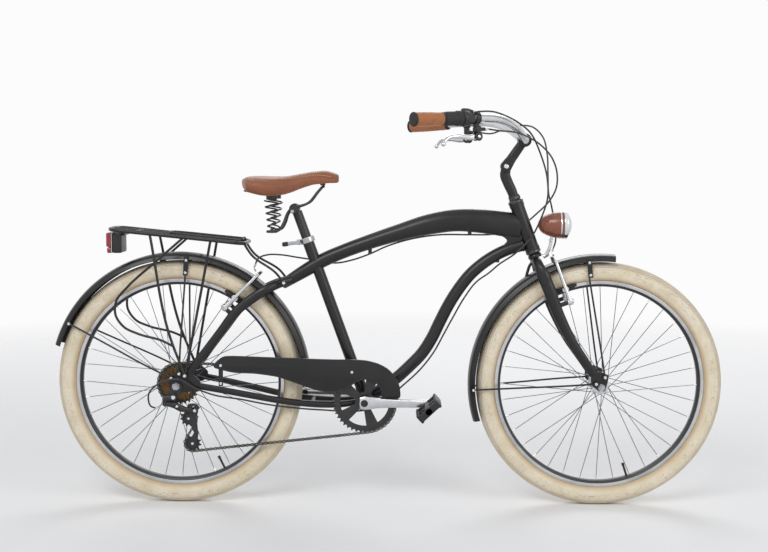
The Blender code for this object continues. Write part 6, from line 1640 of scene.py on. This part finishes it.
    def _post(self) -> None:
        c = SADDLE_CLAMP
        top = (c[2] - 8 - BB[2]) / SEAT_DIR[2]
        pieces = [rod(seat_point(290), seat_point(top), 13.3, sides=44), cross_rod(c[0], c[2], -18.2, 18.2,
                                                                                   14, 48)]
        for side in (-1, 1):
            for k in range(24):
                a = 2 * math.pi * k / 24
                x, z = c[0] + 13.4 * math.cos(a), c[2] + 13.4 * math.sin(a)
                pieces.append(cross_rod(x, z, side * 14.5, side * 18.4, 0.8, 6, 0.1))
            pieces.append(cross_rod(c[0], c[2], side * 25.8, side * 33, 13, 48, 1.4))
        self.put("post_tube", together(pieces), Look.BLACK_STEEL, "saddle", "seatpost")
        bolts = [cross_rod(c[0] - 4, c[2] - 6, -31, 31, 2.5), hex_nut((c[0] - 4, 33, c[2] - 6), LEFT, 5.4,
                                                                      4.5),
                 hex_nut((c[0] - 4, -33, c[2] - 6), -LEFT, 5.4, 4.5)]
        self.put("post_bolts", together(bolts), Look.ZINC, "saddle")


class Rack(Assembly):
    """Tube carrier with slats, legs, side loops and the sprung clip."""

    @staticmethod
    def _height(x: float) -> float:
        return 751.0 - (x + 180.0) * 0.098

    def build(self) -> None:
        w, high = 62.0, self._height
        outer = [(184, 0), (184, -w + 22), (181, -w + 8), (172, -w), (120, -w), (0, -w), (-110, -w),
                 (-150, -w),
                 (-165, -w + 4), (-174, -w + 14), (-180, -w + 34), (-180, 0)]
        loop = [(x, y, high(x)) for x, y in outer]
        loop += [(x, -y, z) for x, y, z in reversed(loop[1:-1])]
        dense = smooth_path(loop + loop[:1], 5)[:-1]
        pieces = [tube(dense, 5.0, 22, closed=True)]
        for y in (-22, 22):
            pieces.append(rod((183, y, high(183)), (-179, y, high(-179)), 3.5))
        for x in (-110, 60):
            pieces.append(rod((x, -w + 1, high(x) - 0.4), (x, w - 1, high(x) - 0.4), 3.3))
        foot_y = REAR_SPACING / 2 + DROPOUT_T + 6.6 + 8
        bolts = []
        for side in (-1, 1):
            for route in ([(-68, w), (-11, 82), (26, foot_y)], [(94, w), (52, 74), (26, foot_y)]):
                (x0, y0), (x1, y1), (x2, y2) = route
                z1 = 460 if x0 < 0 else 500
                leg = [(x0, side * y0, high(x0)), (x1, side * y1, z1), (x2, side * y2, 365)]
                pieces.append(tube(smooth_path(leg, 5), 3.6, 16))
            pieces.append(cross_rod(26, 364, side * (REAR_SPACING / 2 + DROPOUT_T + 0.3),
                                    side * (foot_y + 4), 6.6))
            bolts.append(bolt_head((26, side * (foot_y + 4), 364), (0, side, 0), 4.8, 3.2))
            sweep = [(22, 60, high(22)), (-56, 66, 663), (-128, 70, 598), (-158, 71, 560), (-160, 72, 525),
                     (-138, 72, 492), (-100, 74, 474), (-34, 79, 456), (-6, 83, 443)]
            pieces.append(tube(smooth_path([(x, side * y, z) for x, y, z in sweep], 5), 3.3, 16))
            strut = [(176, side * 24, high(176)), (196, side * 28, 686), (270, side * 49, 632),
                     (287, side * 50.8, 610)]
            pieces.append(tube(smooth_path(strut, 4), 3.2, 16))
            pieces.append(cross_rod(287, 610, side * 46.3, side * 54, 7))
            bolts.append(bolt_head((287, side * 54, 610), (0, side, 0), 4.6, 3.2))
        pieces.append(box((-150, -26, 733), (-142, 26, 749), 1.5))
        self.put("rack_tubes", together(pieces), Look.PAINT, "root", "rear_rack")
        self.put("rack_bolts", together(bolts), Look.CHROME, "root")
        self._clip()

    def _clip(self) -> None:
        lift, high = 6.8, self._height
        half = [(172, 40), (150, 38), (80, 36), (20, 34), (-8, 29), (-20, 20), (-24, 8), (-24.6, 0)]
        route = [(x, -y, high(x) + lift) for x, y in half]
        route += [(x, -y, z) for x, y, z in reversed(route[:-1])]
        wire = tube(smooth_path(route, 3), 3.0, 16, chamfer=0.5)
        bar = rod((172, -40, high(172) + lift), (172, 40, high(172) + lift), 3.0)
        coils = []
        for side in (-1, 1):
            turns = np.linspace(0, 4, 97)
            path = np.column_stack([172 + 4.3 * np.cos(turns * 2 * math.pi), side * (30 - turns * 2.3),
                                    high(172) + lift + 4.3 * np.sin(turns * 2 * math.pi)])
            coils.append(tube(path, 1.0, 8))
        self.put("clip_wire", together([wire, bar, *coils]), Look.BLACK_STEEL, "clip", "rack_clip")


GUARD_OUTLINE = [
    (100, 383), (102, 392), (124, 411), (150, 412), (274, 408), (411, 404), (504, 403), (540, 394),
    (566, 380), (584, 360), (596, 336), (600, 300), (552, 300), (549, 326), (536, 344), (517, 353),
    (500, 354), (480, 346), (452, 326), (430, 319), (411, 319), (376, 323), (335, 338), (270, 360),
    (212, 368), (150, 370),
]


class DriveTrain(Assembly):
    """Chain, ring, cogs, derailleur, cranks, pedals and guard."""

    def __init__(self, materials: Materials) -> None:
        super().__init__(materials)
        self.legs = self._route()

    @staticmethod
    def _route() -> list:
        def radius(teeth: int) -> float:
            return teeth * CHAIN_PITCH / (2 * math.pi)
        wheels = [(np.array([0.0, AXLE_Z]), radius(COG_TEETH[0]), 1, LARGE_COG_Y),
                  (np.array(GUIDE_PULLEY), radius(PULLEY_TEETH), -1, LARGE_COG_Y),
                  (np.array(LOWER_PULLEY), radius(PULLEY_TEETH), 1, LARGE_COG_Y),
                  (np.array([BB[0], BB[2]]), radius(RING_TEETH), 1, RING_Y)]
        headings = []
        for i, (c1, r1, s1, _) in enumerate(wheels):
            c2, r2, s2, _ = wheels[(i + 1) % 4]
            across = c2 - c1
            headings.append(math.atan2(across[1],
                                       across[0]) - math.asin((s2 * r2 - s1 * r1) / np.linalg.norm(across)))
        legs = []
        for i, (c1, r1, s1, y1) in enumerate(wheels):
            c2, r2, s2, y2 = wheels[(i + 1) % 4]
            heading, came = headings[i], headings[i - 1]
            sweep = (heading - came) % (2 * math.pi) if s1 > 0 else -((came - heading) % (2 * math.pi))
            legs.append(("arc", c1, r1, s1, came, abs(sweep) * r1, y1))
            normal = np.array([-math.sin(heading), math.cos(heading)])
            start, end = c1 - s1 * r1 * normal, c2 - s2 * r2 * normal
            legs.append(("line", start, end, y1, y2, math.hypot(np.linalg.norm(end - start), y2 - y1),
                         heading))
        return legs

    def _point(self, distance: float) -> np.ndarray:
        """A place on the chain's line."""
        for leg in self.legs:
            length = leg[5]
            if distance <= length:
                break
            distance -= length
        else:
            leg, distance = self.legs[0], 0.0
        if leg[0] == "arc":
            _, centre, radius, sense, came, _, y = leg
            heading = came + sense * distance / radius
            spot = centre - sense * radius * np.array([-math.sin(heading), math.cos(heading)])
            return np.array([spot[0], y, spot[1]])
        _, start, end, y1, y2, length, _ = leg
        share = distance / length
        crossing = min(max((share - 0.15) / 0.7, 0.0), 1.0)
        spot = start + (end - start) * share
        return np.array([spot[0], y1 + (y2 - y1) * crossing, spot[1]])

    def _phase(self, wheel: int) -> float:
        travelled = sum(leg[5] for leg in self.legs[:2 * wheel])
        _, centre, radius, sense, came, _, _ = self.legs[2 * wheel]
        heading = came + sense * (-travelled % CHAIN_PITCH) / radius
        spot = -sense * radius * np.array([-math.sin(heading), math.cos(heading)])
        return math.atan2(spot[1], spot[0])

    def _chain(self) -> None:
        """Each link's two plates and each pin's roller."""
        total = sum(leg[5] for leg in self.legs)
        pitch = total / CHAIN_LINKS
        pins = [self._point(k * pitch) for k in range(CHAIN_LINKS)]
        waist = [(math.cos(a), math.sin(a)) for a in np.radians(np.linspace(-120, 120, 9))]
        plates, rollers = [], []
        for k, here in enumerate(pins):
            there = pins[(k + 1) % CHAIN_LINKS]
            way = unit(there - here)
            rise = np.cross(way, LEFT)
            length = np.linalg.norm(there - here)
            outline = [(length + 3.7 * c, 3.9 * s) for c, s in waist] + [(length / 2, 2.5)]
            outline += [(-3.7 * c, 3.9 * s) for c, s in reversed(waist)] + [(length / 2, -2.5)]
            out = 3.1 if k % 2 else 2.0
            for side in (-1, 1):
                rings = []
                for y, shrink in ((out - 0.45, 0.9), (out - 0.25, 1.0), (out + 0.25, 1.0), (out + 0.45, 0.9)):
                    rings.append([here + way * (length / 2 + (u - length / 2) * (1 - (1 - shrink) * 0.4))
                                  + rise * v * shrink + LEFT * side * y for u, v in outline])
                plates.append(grid(at(np.array(rings))))
            rollers.append(rod(here - LEFT * 3.7, here + LEFT * 3.7, 1.7, sides=10, chamfer=0.2))
            rollers.append(rod(here - LEFT * 1.5, here + LEFT * 1.5, 3.2, sides=14, chamfer=0.2))
        self.put("chain_links", together(plates), Look.CHAIN, "root", "chain")
        self.put("chain_rollers", together(rollers), Look.ZINC, "root")

    @staticmethod
    def _toothed(x: float, z: float, teeth: int, phase: float) -> list:
        pitch_r = teeth * CHAIN_PITCH / (2 * math.pi)
        root, tip = pitch_r - 4.0, pitch_r + 2.0
        step = 2 * math.pi / teeth
        points = []
        for k in range(teeth):
            angle = phase + step * k
            for shift, r in ((-0.26, pitch_r - 2.2), (-0.16, root + 0.5), (0, root), (0.16, root + 0.5),
                             (0.26, pitch_r - 2.2), (0.42, tip), (0.58, tip)):
                points.append((x + r * math.cos(angle + shift * step),
                               z + r * math.sin(angle + shift * step)))
        return points

    @staticmethod
    def _circle(x: float, z: float, radius: float, count: int = 32) -> list:
        return [(x + radius * math.cos(2 * math.pi * k / count),
                 z + radius * math.sin(2 * math.pi * k / count))
                for k in range(count)]

    def build(self) -> None:
        self._chain()
        self._ring()
        self._cogs()
        self._cranks()
        self._pedals()
        self._guard()
        self._derailleur()

    def _ring(self) -> None:
        x, z = BB[0], BB[2]
        windows = []
        for arm in range(5):
            a0, a1 = math.radians(72 * arm + 14), math.radians(72 * arm + 58)
            arc = np.linspace(a0, a1, 9)
            window = [(x + 66 * math.cos(a), z + 66 * math.sin(a)) for a in arc]
            window += [(x + 26 * math.cos(a), z + 26 * math.sin(a)) for a in np.linspace(a1 - 0.12,
                                                                                         a0 + 0.12, 4)]
            windows.append(window)
        shape = flat_plate(self._toothed(x, z, RING_TEETH, self._phase(3)), RING_Y - 1.1, RING_Y + 1.1,
                           (*windows, self._circle(x, z, 13.3)), 0.5, 1.2)
        self.put("ring_plate", shape, Look.BLACK_STEEL, "crankset", "chainring")

    def _cogs(self) -> None:
        pieces = []
        for index, teeth in enumerate(COG_TEETH):
            y = LARGE_COG_Y - COG_STEP_Y * index
            phase = self._phase(0) if index == 0 else 0.2 * index
            holes = [self._circle(0, AXLE_Z, 17.5, 24)]
            if teeth > 20:
                for k in range(6):
                    a = math.pi * k / 3 + 0.3
                    holes.append(self._circle(33 * math.cos(a), AXLE_Z + 33 * math.sin(a), 5.5, 16))
            plate = flat_plate(self._toothed(0, AXLE_Z, teeth, phase), y - 0.95, y + 0.95, holes, 0.35, 0.8)
            if index == 0:
                self.put("large_cog", plate, Look.BLACK_STEEL, "freewheel_body")
            else:
                pieces.append(plate)
        body = turned([(16.4, LARGE_COG_Y + 5), (21, LARGE_COG_Y + 5), (21, -64), (18, -65), (16.4, -65)],
                      (0, 0, AXLE_Z), LEFT, 48, 0.6, True)
        self.put("small_cogs", together([*pieces, body]), Look.BRONZE, "freewheel_body", "freewheel")

    def _cranks(self) -> None:
        x, z = BB[0], BB[2]
        for side, word in ((-1, "right"), (1, "left")):
            forward = -side
            tip_x, y = x + forward * CRANK_LEN, side * CRANK_Y
            tip_y = y + side * 6
            stations = [(x - forward * 12, y, z, 16, 5.6), (x - forward * 4, y, z, 18, 6),
                        (x + forward * 8, y, z, 18, 6),
                        (x + forward * 26, y, z, 14.6, 6), (x + forward * 60, y + side * 1, z, 12.2, 5.8),
                        (x + forward * 120, y + side * 4, z, 11, 5.5), (tip_x - forward * 8, tip_y, z,
                                                                        11.8, 6.3),
                        (tip_x, tip_y, z, 12.5, 6.5), (tip_x + forward * 9, tip_y, z, 10, 5.8)]
            arm = [loft(stations, 4, 36, 2.8), cross_rod(x, z, y, side * 45, 13, 48),
                   cross_rod(tip_x, z, tip_y, tip_y + side * 9, 9, 40)]
            if side > 0:
                arm.append(cross_rod(x, z, y, -63, 8, 32))
            arm.append(cross_rod(tip_x, z, tip_y, tip_y + side * 92, 6, 32))
            self.put(word + "_crank_arm", together(arm), Look.SILVER, "crankset", word + "_crank")
            cap = turned([(0.01, 1.4), (8.4, 1.4), (9.6, 0.8), (10, -1.5), (0.01, -1.5)],
                         (x, y + side * 6.2, z),
                         (0, side, 0), 48, 0.4)
            end = turned([(0.01, 0.9), (3, 0.9), (3.4, 2), (7.8, 2), (8.2, 1.4), (8.2, -1), (0.01, -1)],
                         (tip_x, tip_y - side * 7.0, z), (0, -side, 0), 32, 0.3)
            self.put(word + "_crank_caps", cap + end, Look.PLASTIC, "crankset")

    def _pedals(self) -> None:
        for side, word in ((-1, "right"), (1, "left")):
            tip_x = BB[0] - side * CRANK_LEN
            y0 = side * (CRANK_Y + 6 + 9 + 1.3)
            y1 = y0 + side * 94
            z = BB[2]
            middle = (y0 + y1) / 2
            lo, hi = min(y0, y1), max(y0, y1)
            body = [box((tip_x - 34, lo, z - 11.5), (tip_x - 27, hi, z + 11.5), 2.4),
                    box((tip_x + 27, lo, z - 11.5), (tip_x + 34, hi, z + 11.5), 2.4),
                    box((tip_x - 32, lo, z - 10), (tip_x + 32, lo + 9, z + 10), 2.4),
                    box((tip_x - 32, hi - 9, z - 10), (tip_x + 32, hi, z + 10), 2.4),
                    box((tip_x - 30, middle - 6, z - 8.5), (tip_x + 30, middle + 6, z + 8.5), 2.0),
                    cross_rod(tip_x, z, lo, hi - 0.5, 9.6, 36)]
            for dx in (-30.5, 30.5):
                for k in range(9):
                    y = lo + 7 + k * 10
                    for top in (-1, 1):
                        body.append(box((tip_x + dx - 3, y - 2.6, z + top * 11.6 - 0.9),
                                        (tip_x + dx + 3, y + 2.6, z + top * 11.6 + 0.9), 0.6, 2))
            turn = (Matrix.Translation(Vector(at((tip_x, 0, z)))) @ Matrix.Rotation(-PEDAL_TILT, 4, "Y")
                    @ Matrix.Translation(-Vector(at((tip_x, 0, z)))))
            self.put(word + "_pedal_cage", together(body).moved(turn), Look.PLASTIC, word + "_pedal_body",
                     word + "_pedal")

    def _guard(self) -> None:
        y = -64.0
        outline = [(a, b) for a, b in eased(GUARD_OUTLINE, 14, closed=True)]
        face = flat_plate(outline, y, y + 2.2, ease=0.9, rounding=0)
        edge = np.array([(a, y + 1.6, b) for a, b in outline])
        rim = tube(smooth_path(np.vstack([edge, edge[:1]]), 4)[:-1], 2.0, 14, closed=True)
        rim.verts[:, 1] = np.where(rim.verts[:, 1] > (y + 1.6) * 0.001, rim.verts[:, 1] + 0.0045,
                                   rim.verts[:, 1])
        strut = box((112, y + 1, 332), (124, y + 4, 388), 1.2)
        self.put("guard_panel", together([face, rim, strut]), Look.PAINT, "root", "chainguard")
        bolts = [bolt_head((118, y, 388), (0, -1, 0), 4.6, 3.2), bolt_head((118, y + 0.5, 339), (0, -1, 0),
                                                                           4.2, 2.6),
                 bolt_head((470, y, 372), (0, -1, 0), 4.4, 3.0)]
        self.put("guard_bolts", together(bolts), Look.CHROME, "root")

    def _derailleur(self) -> None:
        inner = -(REAR_SPACING / 2 + DROPOUT_T + 0.3)
        link, knuckle, cage = (-30.0, -78.0, 287.0), (34.0, -56.0, 268.0), (44.0, LARGE_COG_Y, 262.0)
        hanger = [(-12, 341), (-6, 344.4), (0, 345), (6, 344.4), (12, 341), (16, 333), (14, 318), (8, 303),
                  (-6, 296),
                  (-20, 300), (-18, 318)]
        pieces = [flat_plate(hanger, inner - 4, inner, [self._circle(0, AXLE_Z, 5.2)], 0.8, 3),
                  cross_rod(-6, 305, inner - 14, inner - 1, 9, 40, 1.2),
                  loft([(-2, inner - 9, 305, 8, 5), (-16, inner - 9, 303, 7, 5),
                        (link[0], link[1] - 4, 303, 7, 7)],
                       3, 28, 2.4),
                  rod((link[0], link[1], 302), (link[0], link[1], 293.3), 7), rod((link[0], link[1], 296),
                                                                                  (link[0], link[1],
                                                                                   278), 2.5)]
        self.put("hanger_casting", together(pieces), Look.BLACK_STEEL, "root", "derailleur_bracket")
        body = [loft([(link[0] + 3, link[1] + 1, link[2] - 1, 6, 5),
                      (link[0] + 24, link[1] + 8, link[2] - 6, 9, 6),
                      (knuckle[0] - 20, knuckle[1] - 8, knuckle[2] + 1, 8, 6),
                      (knuckle[0] - 3, knuckle[1] - 1, knuckle[2] - 1, 5.5, 5)], 3, 32, 2.8),
                rod((link[0], link[1], 281), (link[0], link[1], 293), 6.5, chamfer=0.8),
                rod((knuckle[0], knuckle[1], 262), (knuckle[0], knuckle[1], 274), 6.5, chamfer=0.8)]
        self.put("link_casting", together(body), Look.BLACK_STEEL, "link", "derailleur_link")
        arm = [rod((knuckle[0], knuckle[1], 274.3), (knuckle[0], knuckle[1], 280), 7, chamfer=1.0),
               rod((knuckle[0], knuckle[1], 275), (knuckle[0], knuckle[1], 259), 2.5),
               loft([(knuckle[0], knuckle[1], 279, 3, 6), (knuckle[0] + 12, knuckle[1] + 4, 278, 4, 6),
                     (cage[0] + 9, knuckle[1] + 10, 266, 7, 4)], 3, 28, 2.6),
               cross_rod(cage[0], cage[2], -41, -48.5, 9, 40, 1.0),
               cross_rod(cage[0], cage[2], -47, LARGE_COG_Y - 4.2, 3)]
        self.put("knuckle_casting", together(arm), Look.BLACK_STEEL, "knuckle", "derailleur_knuckle")
        self.keep(Look.BLACK_STEEL, "derailleur_cage")
        bolts = [bolt_head((-6, inner - 14, 305), (0, -1, 0), 6.0, 3.2), bolt_head((link[0], link[1], 302),
                                                                                   UP, 4.6, 2.4)]
        self.put("hanger_bolts", together(bolts), Look.CHROME, "root")
        self.put("link_bolts", bolt_head((2, -77.5, 279), (0, -1, 0.1), 4.0, 3.0), Look.CHROME, "link")
        self.put("knuckle_bolts", bolt_head((cage[0], -48.5, cage[2]), (0, -1, 0), 5.2, 2.6), Look.CHROME,
                 "knuckle")
        near = LARGE_COG_Y - 4.2 - 1.6
        axles = [bolt_head((x, near - 0.4, z), (0, -1, 0), 4.0, 2.4) for x, z in (GUIDE_PULLEY, LOWER_PULLEY)]
        self.put("cage_bolts", together(axles), Look.CHROME, "cage")
        for index, (centre, body_name, node) in enumerate(((GUIDE_PULLEY, "guide_pulley", "upper_pulley"),
                                                           (LOWER_PULLEY, "tension_pulley",
                                                            "lower_pulley")), 1):
            x, z = centre
            wheel = flat_plate(self._toothed(x, z, PULLEY_TEETH, self._phase(index)), LARGE_COG_Y - 1,
                               LARGE_COG_Y + 1,
                               [self._circle(x, z, 4.5)], 0.4, 0.8)
            hub = turned([(4.5, -3), (8, -3), (8, 3), (4.5, 3)], (x, LARGE_COG_Y, z), LEFT, 32, 0.4, True)
            self.put(node + "_wheel", wheel + hub, Look.PLASTIC, body_name, node)


REAR_BRAKE_ROUTE = [
    (817.6, -183.4, 1016.7), (850, -160, 1013), (878, -130, 1012), (905, -95, 1008), (935, -60, 998),
    (970, -30, 978), (1002, -8, 945), (1018, 8, 905), (1018, 18, 865), (1000, 25, 828), (970, 28, 797),
    (935, 28, 767), (895, 26, 745), (840, 16, 738), (785, 5, 738), (700, 5, 737), (620, 5, 724),
    (560, 5, 705), (516, 5, 685), (470, 12, 668), (420, 22, 658), (370, 27, 665), (320, 28, 672),
    (270, 20, 680), (240, 6, 681), (215, -14, 672), (206, -28, 650),
]
SHIFT_ROUTE = [
    (780.2, -218.9, 1057.4), (794, -219, 1059), (826, -197, 1060), (862, -165, 1051), (900, -128, 1034),
    (935, -95, 1008), (963, -68, 958), (985, -50, 890), (988, -40, 840), (972, -36, 785),
    (948, -32, 735), (905, -28, 690), (862, -12, 658), (838, -5, 636), (805, -5, 612), (770, -5, 565),
    (742, -5, 515), (718, -5, 470), (690, -5, 418), (655, -5, 372), (605, -8, 325), (560, -14, 288),
    (515, -20, 263), (460, -28, 258), (400, -33, 262), (330, -41, 268), (250, -50, 279), (170, -60, 296),
    (100, -69, 309), (50, -84, 331), (10, -98, 356), (-40, -96, 345), (-72, -88, 310), (-66, -84, 280),
    (-46, -82, 274),
]
FRONT_BRAKE_ROUTE = [
    (817.6, 183.4, 1016.7), (852, 160, 1013), (884, 140, 1024), (925, 105, 1034), (960, 72, 1028),
    (984, 48, 1000), (994, 34, 955), (996, 26, 900), (998, 22, 850), (1010, 50, 815), (1020, 52, 760),
    (1022, 46, 718), (1014, 30, 700), (1010, 12, 697), (1008, -12, 694), (1006, -30, 690),
]


class Cables(Assembly):
    """Cable housings as fixed tubes along their routes."""

    RADIUS = 2.3

    def _piece(self, name: str, route: np.ndarray, node: str, first: str, second: str, start: tuple,
               end: tuple) -> None:
        obj = self.put(name, tube(route, self.RADIUS, 16), Look.HOUSING, first, node, ride=False)
        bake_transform(obj)

    def _split(self, stem: str, points: list, node: str, middle: int, calm: int) -> None:
        """Two pieces that meet in the loop: one follows the bars, the other reaches the frame."""
        dense = smooth_path(points, 3.0)
        turn = int(np.argmin(np.linalg.norm(dense - np.array(points[middle], float), axis=1)))
        upper, lower = dense[:turn + 1], dense[turn:]
        self._piece(stem + "_upper", upper, node, "bars", "front_end", points[3], tuple(dense[turn]))
        self._piece(stem + "_lower", lower, node, "front_end", "root", tuple(dense[turn]), points[calm])

    def build(self) -> None:
        self._split("rear_brake_housing", REAR_BRAKE_ROUTE, "rear_brake_cable", 7, 12)
        self._split("shift_housing", SHIFT_ROUTE, "derailleur_cable", 7, 11)
        front = smooth_path(FRONT_BRAKE_ROUTE, 3.0)
        self._piece("front_brake_housing", front, "front_brake_cable", "bars", "front_end",
                    FRONT_BRAKE_ROUTE[3], FRONT_BRAKE_ROUTE[8])
        ends = []
        for route in (REAR_BRAKE_ROUTE, SHIFT_ROUTE):
            a, b = np.array(route[-1], float), np.array(route[-2], float)
            ends.append(rod(a, a + unit(b - a) * 9, 3.1))
        self.put("housing_ferrules", together(ends), Look.CHROME, "root")
        a, b = np.array(FRONT_BRAKE_ROUTE[-1], float), np.array(FRONT_BRAKE_ROUTE[-2], float)
        self.put("front_housing_ferrule", rod(a, a + unit(b - a) * 9, 3.1), Look.CHROME, "front_end")


def main() -> None:
    """Build the studio and every assembly."""
    logging.basicConfig(level=logging.INFO, format="%(name)s %(message)s")
    studio = Studio()
    studio.camera()
    materials = Materials()
    groups: list[Assembly] = [
        Cables(materials), FrameSet(materials),
        Wheel(materials, "rear", 0.0, (-23.5, 35.5), 23.0),
        Wheel(materials, "front", WHEELBASE, (-34.5, 34.5), 20.0),
        Axles(materials), Fenders(materials), Fork(materials), Brakes(materials), Cockpit(materials),
        Lights(materials), Saddle(materials), Rack(materials), DriveTrain(materials),
    ]
    for group in groups:
        group.build()
        LOG.info("built %s", type(group).__name__)
    studio.light()
    studio.floor()
    studio.colour_management()


if __name__ == "__main__":
    main()
